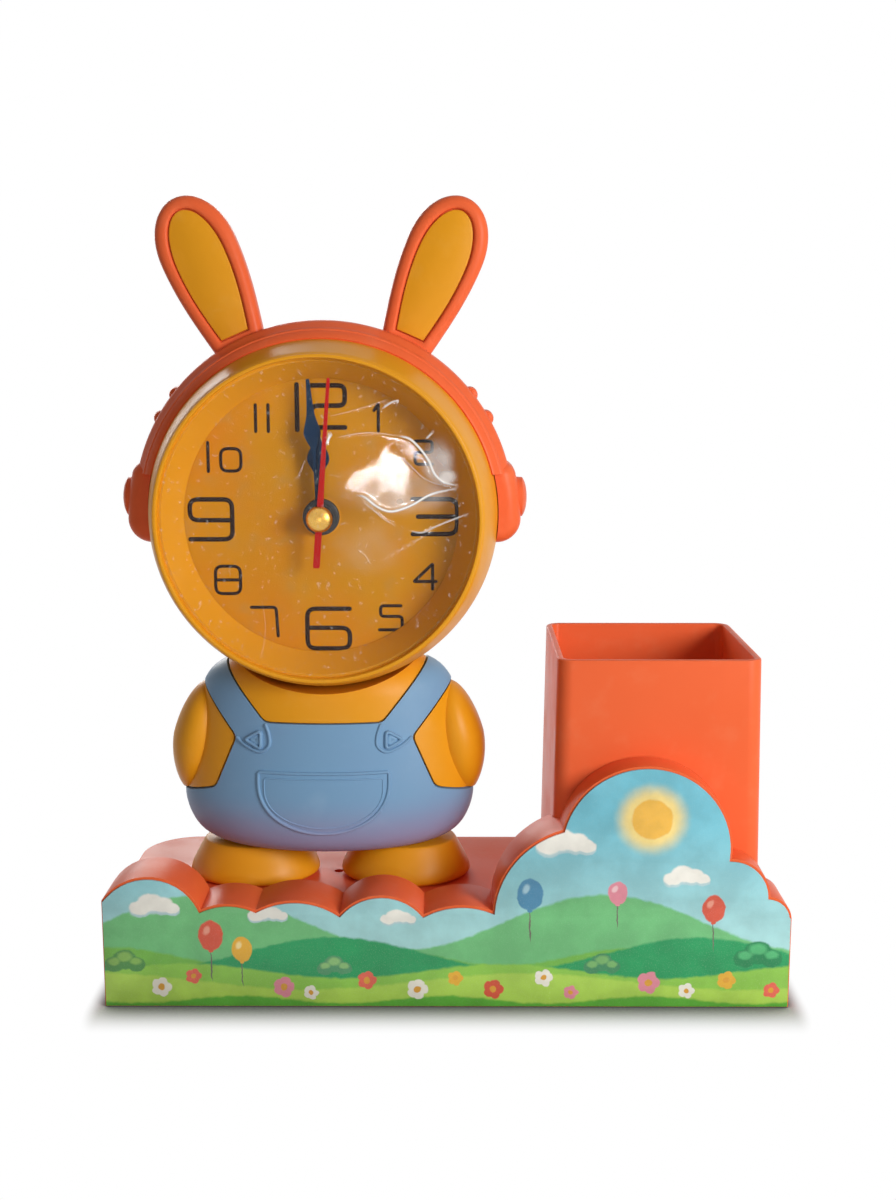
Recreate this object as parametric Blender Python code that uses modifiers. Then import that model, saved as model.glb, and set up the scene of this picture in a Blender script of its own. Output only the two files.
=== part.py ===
"""Rabbit-eared table clock that stands on a cloud-edged base beside a square pen cup.

Metres, +Z up, +X to the right and +Y away from the viewer. The origin is under the middle of the
base: halfway along its width, halfway through its depth and on the surface that it stands on.
Base, cup and figure are built from the front face of the base backwards, and hang on an empty
there. The head is built facing the viewer: local x to the right, local y up, and depth counted
backwards from the front of the rim.
"""

from dataclasses import dataclass
from math import acos, atan2, ceil, cos, hypot, pi, radians, sin, sqrt

import bmesh
import bpy
from mathutils import Matrix, Vector

MM = 0.001

# Gaps and cuts
WELD = 0.001 * MM
CLEARANCE = 0.3 * MM
SHAFT_CLEARANCE = 0.25 * MM
OVERRUN = 2.0 * MM
ROUND_STEPS = 48
MEDIUM_ROUND_STEPS = 24
SMALL_ROUND_STEPS = 14
ARBOR_STEPS = 10
CORNER_STEPS = 4
ARC_STEP_DEGREES = 13.0
LEAST_MITRE_SHARE = 0.3
CORNER_CUT_SHARE = 0.3
SMOOTH_DEGREES = 35.0

# Base
DECK_HEIGHT = 25.1 * MM
BASE_WALL = 1.8 * MM
BACK_LEFT_RADIUS = 16.0 * MM
BACK_RIGHT_RADIUS = 7.0 * MM
CLOUD_DEPTH = 17.0 * MM
CLOUD_RISE = 44.1 * MM
CLOUD_SKIN = 2.4 * MM
PRINT_THICKNESS = 0.4 * MM
PRINT_MARGIN = 0.9 * MM
BOTTOM_PLATE = 2.2 * MM
DECK_HOLE_RADIUS = 1.0 * MM
HEAD_LEFT_MARGIN = 4.0 * MM
HEAD_TO_CUP = 9.6 * MM

# Cloud edge, left to right: where each lobe crests and ends. The first number is a share of the
# base's width from its left end, the second a share of the cloud's rise above the deck.
CLOUD_START_SHARES = (0.0, 0.129)
CLOUD_LOBE_SHARES = (
    ((0.0595, 0.283), (0.1432, 0.070)),
    ((0.1821, 0.109), (0.2232, 0.068)),
    ((0.2811, 0.132), (0.3447, 0.043)),
    ((0.4105, 0.166), (0.4668, 0.041)),
    ((0.5158, 0.102), (0.5668, 0.064)),
    ((0.5979, 0.399), (0.6668, 0.592)),
    ((0.7868, 1.000), (0.9105, 0.406)),
    ((0.9447, 0.356), (0.9679, 0.159)),
    ((0.9874, 0.125), (1.0000, 0.020)),
)
BIG_LOBE = 6

# Screws under the base
SCREW_FROM_LEFT = 10.5 * MM
SCREW_FROM_FRONT = 10.7 * MM
SCREW_FROM_BACK = 11.5 * MM
SCREW_CORNER_STEP = 5.5 * MM
SCREW_FROM_CUP = 10.6 * MM
SCREW_SHANK_RADIUS = 1.3 * MM
SCREW_HEAD_RADIUS = 2.6 * MM
SCREW_HEAD_HEIGHT = 1.4 * MM
SCREW_LENGTH = 9.0 * MM
SCREW_BOSS_RADIUS = 3.4 * MM
SCREW_SLOT_WIDTH = 0.7 * MM
SCREW_SLOT_DEPTH = 0.6 * MM
SCREW_TIP_SHARE = 0.5
SCREW_DOME_SHARES = (0.7, 0.4)
SCREW_SLOT_SHARE = 0.6

# Pen cup
CUP_WIDTH = 56.6 * MM
CUP_TOP = 96.2 * MM
CUP_WALL = 1.9 * MM
CUP_DRAFT = 1.4 * MM
CUP_CORNER_RADIUS = 4.5 * MM
CUP_RIGHT_MARGIN = 7.8 * MM
CUP_FRONT_MARGIN = 11.2 * MM
CUP_BACK_MARGIN = 3.7 * MM
CUP_FLANGE = 2.2 * MM
CUP_FLANGE_THICKNESS = 1.8 * MM

# Figure: feet, body and dungarees
FIGURE_FROM_FRONT = 40.0 * MM
FOOT_SPACING = 45.2 * MM
FOOT_RADIUS = 18.9 * MM
FOOT_DEPTH_SHARE = 0.82
FOOT_HEIGHT = 11.1 * MM
FOOT_PROFILE_SHARES = (
    (0.93, 0.0), (1.0, 0.10), (0.975, 0.32), (0.895, 0.60), (0.81, 0.87), (0.77, 1.0),
)
FOOT_PEG_RADIUS = 3.0 * MM
FOOT_PEG_LENGTH = 5.0 * MM
BODY_HALF_WIDTH = 42.8 * MM
BODY_HALF_DEPTH = 23.6 * MM
BODY_HEIGHT = 58.0 * MM
BODY_PROFILE_SHARES = (
    (0.66, 0.0), (0.79, 0.018), (0.895, 0.062), (0.963, 0.135), (1.0, 0.235), (0.988, 0.35),
    (0.952, 0.49), (0.912, 0.63), (0.877, 0.75), (0.84, 0.84), (0.745, 0.915), (0.56, 0.968),
    (0.30, 0.993),
)
BODY_WALL = 1.8 * MM
BODY_STEPS = 28
DUNGAREE_THICKNESS = 1.6 * MM
LEG_OPENING_SHARE = 0.6
PANEL_RECESS = 0.3 * MM
BIB_HALF_WIDTH = 16.8 * MM
BIB_TOP = 40.2 * MM
STRAP_WIDTH = 9.1 * MM
ARMHOLE_IN = 24.9 * MM
ARMHOLE_CORNER = 31.5 * MM
ARMHOLE_CORNER_HEIGHT = 19.2 * MM
WAIST_HEIGHT = 15.2 * MM
ARM_SINK = 6.2 * MM
ARM_HEIGHT = 29.6 * MM
ARM_HALF_WIDTH = 9.4 * MM
ARM_HALF_DEPTH = 12.0 * MM
ARM_HALF_LENGTH = 17.4 * MM
ARM_TILT_DEGREES = 13.0
ARM_SEGMENTS, ARM_RINGS = 14, 8
NECK_RADIUS = 8.0 * MM
NECK_LENGTH = 12.0 * MM
NECK_BLOCK = 9.0 * MM

# Head: rim, flaring bezel, drum and the cone behind the lens
HEAD_SINK = 10.1 * MM
DRUM_RADIUS = 49.6 * MM
BEZEL_FLARE = 4.65 * MM
RIM_WIDTH = 1.1 * MM
DRUM_WALL = 1.8 * MM
BEZEL_DEPTH = 20.0 * MM
BEZEL_FLARE_SHARES = ((0.0, 0.03), (0.12, 0.08), (0.34, 0.25), (0.62, 0.50), (0.86, 0.78), (0.97, 0.96))
ROOM_BEHIND_CASE = 4.6 * MM
LENS_LEDGE_DEPTH = 3.1 * MM
LENS_LEDGE_WIDTH = 0.85 * MM
LENS_THICKNESS = 1.2 * MM
FILM_THICKNESS = 0.2 * MM
CONE_WALL = 1.7 * MM
CONE_INSET = 6.65 * MM
DIAL_DEPTH = 12.5 * MM
DIAL_THICKNESS = 0.8 * MM
DIAL_LIP = 3.7 * MM
BACK_COVER_THICKNESS = 2.0 * MM
HEAD_SCREW_ANGLES = (90.0, 205.0, 335.0)
HEAD_BOSS_RADIUS = 2.7 * MM
HEAD_BOSS_INSET = 4.2 * MM
HEAD_BOSS_LENGTH = 14.0 * MM

# Headband, its adjuster ribs and the ear cups
BAND_THICKNESS = 4.2 * MM
BAND_BACK_MARGIN = 2.1 * MM
BAND_BEVEL = 1.2 * MM
RIB_ANGLES = (50.5, 58.5)
RIB_RADIUS = 1.6 * MM
RIB_LENGTH = 8.0 * MM
RIB_SINK_SHARE = 0.2
RIB_ROUNDING_SHARE = 0.4
EARCUP_TOP = 14.1 * MM
EARCUP_BOTTOM = -8.5 * MM
EARCUP_PROUD = 1.9 * MM
EARCUP_CORNER = 6.8 * MM
EARCUP_OVERLAP = 1.4 * MM
EARCUP_ROUNDING = 2.4 * MM
EARCUP_ROOT_SHARE = 0.9
EARCUP_CORNER_SHARES = (0.27, 0.31)
EARCUP_SIDE_SHARE = 1.15
EARCUP_BULGE_SHARE = 0.25
EARCUP_TOP_SHARE = 1.5
EARCUP_CAP_RADIUS = 5.8 * MM
EARCUP_CAP_HEIGHT = 1.9 * MM
EARCUP_CAP_RISE = 4.2 * MM
EARCUP_CAP_SHARES = ((0.0, 1.0), (0.45, 0.9), (0.8, 0.62), (1.0, 0.2))

# Ears
EAR_ROOT_ANGLE = 26.28
EAR_ROOT_GAP = 0.1 * MM
EAR_LEAN_DEGREES = 23.3
EAR_LENGTH = 42.3 * MM
EAR_ROOT_HALF_WIDTH = 7.7 * MM
EAR_HALF_WIDTH = 11.1 * MM
EAR_WIDEST_SHARE = 0.62
EAR_TIP_SHARE = 0.93
EAR_THICKNESS = 8.0 * MM
EAR_SETBACK = 2.7 * MM
EAR_ROUNDING = 2.6 * MM
EAR_RIM = 3.7 * MM
EAR_POCKET_DEPTH = 1.4 * MM
EAR_INLAY_THICKNESS = 1.0 * MM
EAR_INLAY_FOOT = 1.2 * MM

# Hands, counted back from the front of the rim
CAP_DEPTH = 3.4 * MM
CAP_RADIUS = 3.65 * MM
CAP_HEIGHT = 2.3 * MM
CAP_DOME_SHARES = (
    (0.0, 0.0), (0.35, 0.06), (0.66, 0.24), (0.88, 0.52), (1.0, 0.86), (1.0, 1.0), (0.0, 1.0),
)
HAND_SPACING = 1.2 * MM
HAND_THICKNESS = 0.4 * MM
SECOND_HAND_DEPTH = 6.0 * MM
SECOND_HAND_LEAD = 0.4 * MM
SECOND_HAND_TAIL = 13.7 * MM
SECOND_HAND_WIDTH = 1.2 * MM
SECOND_TAIL_WIDTH = 1.9 * MM
SECOND_TAIL_ROOT_SHARE = 0.8
SECOND_HAND_SHARES = ((0.06, 1.6), (0.5, 1.2), (1.0, 0.8))
MINUTE_TIP_GAP = 0.1 * MM
MINUTE_HAND_WIDTH = 4.7 * MM
MINUTE_HAND_SHARES = (
    (0.07, 0.36), (0.40, 0.20), (0.50, 0.30), (0.56, 0.72), (0.61, 1.0), (0.66, 0.86),
    (0.74, 0.50), (0.84, 0.34), (1.0, 0.20),
)
HOUR_TIP_GAP = 15.0 * MM
HOUR_HAND_WIDTH = 6.0 * MM
HOUR_HAND_SHARES = (
    (0.10, 0.36), (0.44, 0.24), (0.56, 0.52), (0.66, 0.95), (0.72, 1.0), (0.79, 0.86),
    (0.88, 0.46), (1.0, 0.14),
)
ALARM_TIP_GAP = 19.3 * MM
ALARM_HAND_WIDTH = 1.6 * MM
ALARM_HAND_SHARES = ((0.12, 0.8), (0.80, 1.0), (0.90, 0.9), (1.0, 0.2))
SECOND_HAND_ANGLE = 4.4
MINUTE_HAND_ANGLE = -4.2
HOUR_HAND_ANGLE = -1.0
HUB_MARGIN = 1.1 * MM

# Nested arbors and the nut that clamps the dial
PIN_RADIUS = 0.4 * MM
TUBE_WALL = 0.5 * MM
CASE_TUBE_WALL = 0.8 * MM
NUT_WALL = 1.3 * MM
NUT_THICKNESS = 1.3 * MM
NUT_SIDES = 6
ARBOR_RADIUS = 0.45 * MM
KNOB_SHAFT_RADIUS = 1.0 * MM

# Movement: case, train and electrics
CASE_WALL = 1.5 * MM
COVER_THICKNESS = 1.4 * MM
WHEEL_THICKNESS = 0.8 * MM
LAYER_GAP = 0.4 * MM
FINE_MODULE = 0.40 * MM
COARSE_MODULE = 0.50 * MM
ADDENDUM_SHARE = 0.50
DEDENDUM_SHARE = 1.10
TOOTH_TIP_SHARE = 0.16
ROTOR_TEETH = 8
FIFTH_TEETH, FIFTH_PINION_TEETH = 40, 8
SECOND_TEETH, SECOND_PINION_TEETH = 48, 6
THIRD_TEETH, THIRD_PINION_TEETH = 48, 6
CENTRE_TEETH = 45
CANNON_TEETH = 8
MOTION_TEETH, MOTION_PINION_TEETH = 24, 8
HOUR_TEETH = 32
TIME_KNOB_TEETH = 8
ALARM_TEETH, ALARM_KNOB_TEETH = 18, 15
ALARM_KNOB_DISTANCE = 11.0 * MM
THIRD_ANGLE = 5.0
FIFTH_ANGLE = 70.0
MOTION_ANGLE = 175.0
ALARM_ANGLE = 125.0
ROTOR_ANGLE = 60.0
MAGNET_RADIUS = 3.0 * MM
MAGNET_LENGTH = 4.0 * MM
STATOR_THICKNESS = 0.8 * MM
STATOR_RIM = 1.7 * MM
STATOR_CORE_WIDTH = 2.4 * MM
COIL_LENGTH = 13.0 * MM
COIL_WIDTH = 7.6 * MM
COIL_THICKNESS = 5.6 * MM
COIL_OUT = 14.0 * MM
COIL_ROUNDING_SHARE = 0.2
BOARD_WIDTH = 14.0 * MM
BOARD_HEIGHT = 9.0 * MM
BOARD_THICKNESS = 1.0 * MM
BOARD_OUT = 17.8 * MM
BOARD_RISE = 9.3 * MM
BUZZER_RADIUS = 6.0 * MM
BUZZER_THICKNESS = 2.7 * MM
BUZZER_OUT = 18.5 * MM
BUZZER_RISE = 15.0 * MM
BUZZER_ROUNDING_SHARE = 0.2
BATTERY_RADIUS = 7.1 * MM
BATTERY_LENGTH = 49.5 * MM
BATTERY_NUB_RADIUS = 2.7 * MM
BATTERY_NUB_LENGTH = 1.2 * MM
BATTERY_SHOULDER_SHARE = 0.07
BATTERY_END_ROOM = 0.45 * MM
BATTERY_BACK_ROOM = 0.4 * MM
CONTACT_THICKNESS = 0.5 * MM
CONTACT_SHARE = 0.7
PARTITION_THICKNESS = 0.9 * MM
KNOB_RADIUS = 5.0 * MM
KNOB_THICKNESS = 3.4 * MM
KNOB_RIDGES = 14
KNOB_RIDGE_DEPTH = 0.5 * MM
SWITCH_OUT = 15.0 * MM
SWITCH_DROP = 5.0 * MM
SWITCH_WIDTH = 2.0 * MM
SWITCH_HEIGHT = 3.0 * MM
SWITCH_BASE_WIDTH = 5.0 * MM
SWITCH_BASE_THICKNESS = 1.6 * MM
SWITCH_TRAVEL = 4.0 * MM
SWITCH_PROUD = 2.0 * MM
DOOR_MARGIN = 1.5 * MM
DOOR_THICKNESS = 1.4 * MM

# Movement case, sized for its battery and its train
ALARM_LAYER, HOUR_LAYER, MOTION_LAYER, CENTRE_LAYER, THIRD_LAYER, SECOND_LAYER, FIFTH_LAYER = range(7)
LAYER_STEP = WHEEL_THICKNESS + LAYER_GAP
TRAIN_ROOM = LAYER_GAP + (FIFTH_LAYER + 1) * LAYER_STEP + MAGNET_LENGTH + CLEARANCE
BATTERY_ROOM = CLEARANCE + 2 * BATTERY_RADIUS + BATTERY_BACK_ROOM
CASE_WIDTH = BATTERY_LENGTH + 2 * (BATTERY_END_ROOM + CONTACT_THICKNESS + CLEARANCE + CASE_WALL)
PARTITION_TOP = -CASE_WIDTH / 2 + CASE_WALL + 2 * BATTERY_RADIUS + 2 * CLEARANCE + PARTITION_THICKNESS
CASE_FRONT = DIAL_DEPTH + DIAL_THICKNESS + CLEARANCE
CASE_INSIDE = CASE_FRONT + CASE_WALL
COVER_INSIDE = CASE_INSIDE + max(TRAIN_ROOM, BATTERY_ROOM)
CASE_BACK = COVER_INSIDE + COVER_THICKNESS

# Head, sized for the movement
HEAD_DEPTH = CASE_BACK + ROOM_BEHIND_CASE
RIM_RADIUS = DRUM_RADIUS - BEZEL_FLARE
LENS_BORE = RIM_RADIUS - RIM_WIDTH
DIAL_VIEW_RADIUS = RIM_RADIUS - CONE_INSET
BACK_COVER_FRONT = HEAD_DEPTH + CLEARANCE
BACK_COVER_BACK = BACK_COVER_FRONT + BACK_COVER_THICKNESS
BAND_INNER = DRUM_RADIUS + CLEARANCE
BAND_OUTER = BAND_INNER + BAND_THICKNESS
BAND_FRONT = BEZEL_DEPTH - CLEARANCE
BAND_BACK = HEAD_DEPTH - BAND_BACK_MARGIN
HEAD_HALF_WIDTH = BAND_OUTER + EARCUP_PROUD
NECK_FROM_RIM = HEAD_DEPTH - NECK_RADIUS
MINUTE_HAND_LENGTH = DIAL_VIEW_RADIUS - MINUTE_TIP_GAP
SECOND_HAND_LENGTH = MINUTE_HAND_LENGTH + SECOND_HAND_LEAD
HOUR_HAND_LENGTH = DIAL_VIEW_RADIUS - HOUR_TIP_GAP
ALARM_HAND_LENGTH = DIAL_VIEW_RADIUS - ALARM_TIP_GAP

# Base, sized for the head and the cup that stand on it
FIGURE_FROM_LEFT = HEAD_LEFT_MARGIN + HEAD_HALF_WIDTH
BASE_WIDTH = FIGURE_FROM_LEFT + HEAD_HALF_WIDTH + HEAD_TO_CUP + CUP_WIDTH + CUP_RIGHT_MARGIN
BASE_DEPTH = CUP_FRONT_MARGIN + CUP_WIDTH + CUP_BACK_MARGIN
LEFT = -BASE_WIDTH / 2
BACK = BASE_DEPTH
WALL_FRONT = PRINT_THICKNESS + SHAFT_CLEARANCE
CUP_X = BASE_WIDTH / 2 - CUP_RIGHT_MARGIN - CUP_WIDTH / 2
CUP_Y = BASE_DEPTH - CUP_BACK_MARGIN - CUP_WIDTH / 2
CUP_FLOOR = BOTTOM_PLATE + CLEARANCE

# Figure, stacked from the deck up
FIGURE_X = LEFT + FIGURE_FROM_LEFT
FIGURE_Y = FIGURE_FROM_FRONT
RIM_FROM_FRONT = FIGURE_FROM_FRONT - NECK_FROM_RIM
ARM_OUT = BODY_HALF_WIDTH - ARM_SINK
BODY_BOTTOM = DECK_HEIGHT + FOOT_HEIGHT + 2 * CLEARANCE
HEAD_Z = BODY_BOTTOM + BODY_HEIGHT - HEAD_SINK + DRUM_RADIUS

MINUTE_TUBE_BORE = PIN_RADIUS + SHAFT_CLEARANCE
HOUR_TUBE_BORE = MINUTE_TUBE_BORE + TUBE_WALL + SHAFT_CLEARANCE
ALARM_TUBE_BORE = HOUR_TUBE_BORE + TUBE_WALL + SHAFT_CLEARANCE
CASE_TUBE_BORE = ALARM_TUBE_BORE + TUBE_WALL + SHAFT_CLEARANCE
NUT_BORE = CASE_TUBE_BORE + CASE_TUBE_WALL + SHAFT_CLEARANCE

MINUTE_HAND_DEPTH = SECOND_HAND_DEPTH + HAND_SPACING
HOUR_HAND_DEPTH = MINUTE_HAND_DEPTH + HAND_SPACING
ALARM_HAND_DEPTH = HOUR_HAND_DEPTH + HAND_SPACING

COLOURS = {
    "coral": (232, 104, 68),
    "yellow": (224, 158, 46),
    "blue": (106, 147, 179),
    "dial_yellow": (214, 140, 42),
    "print": (128, 190, 140),
    "clear": (235, 238, 240),
    "navy": (15, 40, 70),
    "red": (170, 14, 16),
    "brass": (196, 160, 78),
    "dark": (30, 28, 28),
    "ivory": (225, 220, 200),
    "steel": (170, 172, 175),
    "copper": (176, 96, 52),
    "green": (30, 96, 60),
    "zinc": (150, 152, 156),
}
FINISHES = {
    "coral": (0.42, 0.0), "yellow": (0.38, 0.0), "blue": (0.48, 0.0), "dial_yellow": (0.5, 0.0),
    "print": (0.35, 0.0), "clear": (0.08, 0.0), "navy": (0.4, 0.0), "red": (0.35, 0.0),
    "brass": (0.25, 1.0), "dark": (0.5, 0.0), "ivory": (0.45, 0.0), "steel": (0.3, 1.0),
    "copper": (0.35, 1.0), "green": (0.5, 0.0), "zinc": (0.35, 1.0),
}


def linear(channel):
    """An 8-bit screen value as linear light."""
    share = channel / 255
    return share / 12.92 if share <= 0.04045 else ((share + 0.055) / 1.055) ** 2.4


def material(name):
    """The Principled material of that name, made on its first use."""
    found = bpy.data.materials.get(name)
    if found:
        return found
    made = bpy.data.materials.new(name)
    made.use_nodes = True
    shader = made.node_tree.nodes["Principled BSDF"]
    roughness, metallic = FINISHES[name]
    shader.inputs["Base Color"].default_value = (*map(linear, COLOURS[name]), 1.0)
    shader.inputs["Roughness"].default_value = roughness
    shader.inputs["Metallic"].default_value = metallic
    made.diffuse_color = (*map(linear, COLOURS[name]), 1.0)
    return made


# Outlines


def circle(radius, steps=ROUND_STEPS, centre=(0.0, 0.0)):
    turns = [2 * pi * step / steps for step in range(steps)]
    return [(centre[0] + radius * cos(turn), centre[1] + radius * sin(turn)) for turn in turns]


def arc_through(start, middle, end):
    """Points on the circle through three points, from start to end, without the end itself."""
    (ax, ay), (bx, by), (cx, cy) = start, middle, end
    twice = 2 * (ax * (by - cy) + bx * (cy - ay) + cx * (ay - by))
    a2, b2, c2 = ax * ax + ay * ay, bx * bx + by * by, cx * cx + cy * cy
    ox = (a2 * (by - cy) + b2 * (cy - ay) + c2 * (ay - by)) / twice
    oy = (a2 * (cx - bx) + b2 * (ax - cx) + c2 * (bx - ax)) / twice
    radius = hypot(ax - ox, ay - oy)
    first, last = atan2(ay - oy, ax - ox), atan2(cy - oy, cx - ox)
    clockwise = (bx - ax) * (cy - ay) - (by - ay) * (cx - ax) < 0
    sweep = (last - first) % (2 * pi)
    if clockwise:
        sweep -= 2 * pi
    steps = ceil(abs(sweep) / radians(ARC_STEP_DEGREES))
    angles = [first + sweep * step / steps for step in range(steps)]
    return [(ox + radius * cos(angle), oy + radius * sin(angle)) for angle in angles]


def rounded_box(left, bottom, right, top, radii, steps=CORNER_STEPS):
    """A rectangle whose corners, from bottom left and counter-clockwise, have the radii given."""
    corners = ((left, bottom, pi), (right, bottom, 1.5 * pi), (right, top, 0.0), (left, top, pi / 2))
    points = []
    for (x, y, start), radius in zip(corners, radii):
        if radius == 0:
            points.append((x, y))
            continue
        ox = x + radius if x == left else x - radius
        oy = y + radius if y == bottom else y - radius
        for step in range(steps + 1):
            angle = start + step / steps * pi / 2
            points.append((ox + radius * cos(angle), oy + radius * sin(angle)))
    return points


def box_outline(left, bottom, right, top):
    return [(left, bottom), (right, bottom), (right, top), (left, top)]


def inset(points, distance):
    """A counter-clockwise outline moved inwards by a distance, with mitred corners."""
    moved = []
    for before, here, after in zip(points[-1:] + points[:-1], points, points[1:] + points[:1]):
        one = Vector((here[0] - before[0], here[1] - before[1])).normalized()
        two = Vector((after[0] - here[0], after[1] - here[1])).normalized()
        normals = Vector((-one.y, one.x)), Vector((-two.y, two.x))
        bisector = (normals[0] + normals[1]).normalized()
        reach = distance / max(bisector.dot(normals[0]), LEAST_MITRE_SHARE)
        moved.append((here[0] + bisector.x * reach, here[1] + bisector.y * reach))
    return moved


def leaf_outline(root, lean, length, root_half_width, half_width, steps=6):
    """A leaf with a flat root: it swells to its greatest width, then ends in a round tip.

    Args:
        root: the middle of the root.
        lean: how far the leaf leans towards +x, in degrees from upright.
        length: from the root to the tip.
        root_half_width: half of the width at the root.
        half_width: half of the greatest width.
        steps: points on each stretch of one side.
    """
    widest = length * EAR_WIDEST_SHARE
    side = []
    for step in range(steps):
        share = step / steps
        swell = sin(share * pi / 2)
        side.append((root_half_width + (half_width - root_half_width) * swell, widest * share))
    for step in range(steps):
        turn = step / steps * pi / 2
        side.append((half_width * cos(turn), widest + (length - widest) * sin(turn) ** EAR_TIP_SHARE))
    loop = side + [(0.0, length)] + [(-x, y) for x, y in reversed(side)]
    turn = -radians(lean)
    return [
        (root[0] + x * cos(turn) - y * sin(turn), root[1] + x * sin(turn) + y * cos(turn))
        for x, y in loop
    ]


def gear_outline(teeth, module, phase=0.0):
    """A toothed wheel with flat tips and V-shaped gaps. A tooth points along the phase angle."""
    radius, pitch = module * teeth / 2, 2 * pi / teeth
    root, tip = radius - DEDENDUM_SHARE * module, radius + ADDENDUM_SHARE * module
    half_tip = pitch * TOOTH_TIP_SHARE / 2
    points = []
    for tooth in range(teeth):
        middle = phase + pitch * tooth
        for reach, turn in ((root, -pitch / 2), (tip, -half_tip), (tip, half_tip)):
            points.append((reach * cos(middle + turn), reach * sin(middle + turn)))
    return points


def mirrored(points):
    """The same outline on the other side of the middle, still counter-clockwise."""
    return [(-x, y) for x, y in reversed(points)]


def polar(distance, degrees):
    return distance * cos(radians(degrees)), distance * sin(radians(degrees))


def upright(place):
    """A place in the head's plane as a location at the front of the rim."""
    return place[0], place[1], 0.0


# Solids


def new_object(name, mesh):
    made = bpy.data.objects.new(name, mesh)
    PARTS.objects.link(made)
    return made


def bake(obj, face_out=False):
    """Puts the object's modified shape into its mesh, welded."""
    bpy.context.view_layer.update()
    graph = bpy.context.evaluated_depsgraph_get()
    mesh = bpy.data.meshes.new_from_object(obj.evaluated_get(graph))
    shape = bmesh.new()
    shape.from_mesh(mesh)
    bmesh.ops.remove_doubles(shape, verts=shape.verts, dist=WELD)
    if face_out:
        bmesh.ops.recalc_face_normals(shape, faces=shape.faces)
    shape.to_mesh(mesh)
    shape.free()
    obj.modifiers.clear()
    if obj.type == "MESH":
        old = obj.data
        obj.data = mesh
        bpy.data.meshes.remove(old)
        return obj
    name, matrix = obj.name, obj.matrix_world.copy()
    bpy.data.objects.remove(obj)
    solid = new_object(name, mesh)
    solid.matrix_world = matrix
    return solid


def plate(name, loops, low, high):
    """A flat plate between two heights. The first loop is its edge, the others are its holes."""
    curve = bpy.data.curves.new(name, "CURVE")
    curve.dimensions = "2D"
    curve.fill_mode = "BOTH"
    curve.extrude = (high - low) / 2
    for loop in loops:
        spline = curve.splines.new("POLY")
        spline.points.add(len(loop) - 1)
        for point, (x, y) in zip(spline.points, loop):
            point.co = (x, y, 0.0, 1.0)
        spline.use_cyclic_u = True
    obj = bpy.data.objects.new(name, curve)
    PARTS.objects.link(obj)
    obj.location.z = (low + high) / 2
    solid = bake(obj, face_out=True)
    solid.data.transform(Matrix.Translation(solid.location))
    solid.location = (0.0, 0.0, 0.0)
    return solid


def front_plate(name, loops, near, far):
    """A plate that faces the viewer, between two depths."""
    return plate(name, loops, -far, -near)


def turned(name, profile, steps=ROUND_STEPS, closed=True):
    """A solid turned about local Z from points of radius and height."""
    mesh = bpy.data.meshes.new(name)
    points = [(radius, 0.0, height) for radius, height in profile]
    edges = [(index, index + 1) for index in range(len(points) - 1)]
    if closed:
        edges.append((len(points) - 1, 0))
    mesh.from_pydata(points, edges, [])
    obj = new_object(name, mesh)
    screw = obj.modifiers.new("turn", "SCREW")
    screw.steps = screw.render_steps = steps
    screw.use_merge_vertices = True
    screw.merge_threshold = WELD
    return bake(obj, face_out=True)


def front_turned(name, profile, steps=ROUND_STEPS, closed=True):
    """A solid turned about the line of sight from points of radius and depth."""
    return turned(name, [(radius, -depth) for radius, depth in profile], steps, closed)


def rod(name, radius, near, far, steps=SMALL_ROUND_STEPS, centre=(0.0, 0.0)):
    return front_plate(name, [circle(radius, steps, centre)], near, far)


def tube(name, bore, radius, near, far, steps=SMALL_ROUND_STEPS):
    return front_plate(name, [circle(radius, steps), circle(bore, steps)], near, far)


def block(name, low, high):
    """A box between two corners."""
    mesh = bpy.data.meshes.new(name)
    shape = bmesh.new()
    bmesh.ops.create_cube(shape, size=1.0)
    size = Vector(high) - Vector(low)
    middle = (Vector(high) + Vector(low)) / 2
    bmesh.ops.scale(shape, vec=size, verts=shape.verts)
    bmesh.ops.translate(shape, vec=middle, verts=shape.verts)
    shape.to_mesh(mesh)
    shape.free()
    return new_object(name, mesh)


def tapered_block(name, centre, half_low, half_high, low, high, corner):
    """A square block that narrows upwards, with its four upright edges rounded."""
    mesh = bpy.data.meshes.new(name)
    shape = bmesh.new()
    bmesh.ops.create_cube(shape, size=2.0)
    for vertex in shape.verts:
        half = half_high if vertex.co.z > 0 else half_low
        height = high if vertex.co.z > 0 else low
        vertex.co = (centre[0] + vertex.co.x * half, centre[1] + vertex.co.y * half, height)
    upright = [edge for edge in shape.edges if edge.verts[0].co.z != edge.verts[1].co.z]
    bmesh.ops.bevel(
        shape, geom=upright, offset=corner, segments=CORNER_STEPS, profile=0.5, affect="EDGES",
    )
    shape.to_mesh(mesh)
    shape.free()
    return new_object(name, mesh)


def combine(target, tool, operation):
    """Joins, cuts or intersects the target with a tool, which is used up."""
    boolean = target.modifiers.new(operation.lower(), "BOOLEAN")
    boolean.solver = "EXACT"
    boolean.operation = operation
    boolean.object = tool
    bake(target)
    mesh = tool.data
    bpy.data.objects.remove(tool)
    bpy.data.meshes.remove(mesh)
    return target


def join(target, *tools):
    for tool in tools:
        combine(target, tool, "UNION")
    return target


def cut(target, *tools):
    for tool in tools:
        combine(target, tool, "DIFFERENCE")
    return target


def overlap(target, tool):
    return combine(target, tool, "INTERSECT")


def gather(name, solids):
    """Separate closed solids as one tool."""
    shape = bmesh.new()
    for solid in solids:
        shape.from_mesh(solid.data)
        bpy.data.objects.remove(solid)
    mesh = bpy.data.meshes.new(name)
    shape.to_mesh(mesh)
    shape.free()
    return new_object(name, mesh)


def copy_of(solid, name):
    return new_object(name, solid.data.copy())


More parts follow.
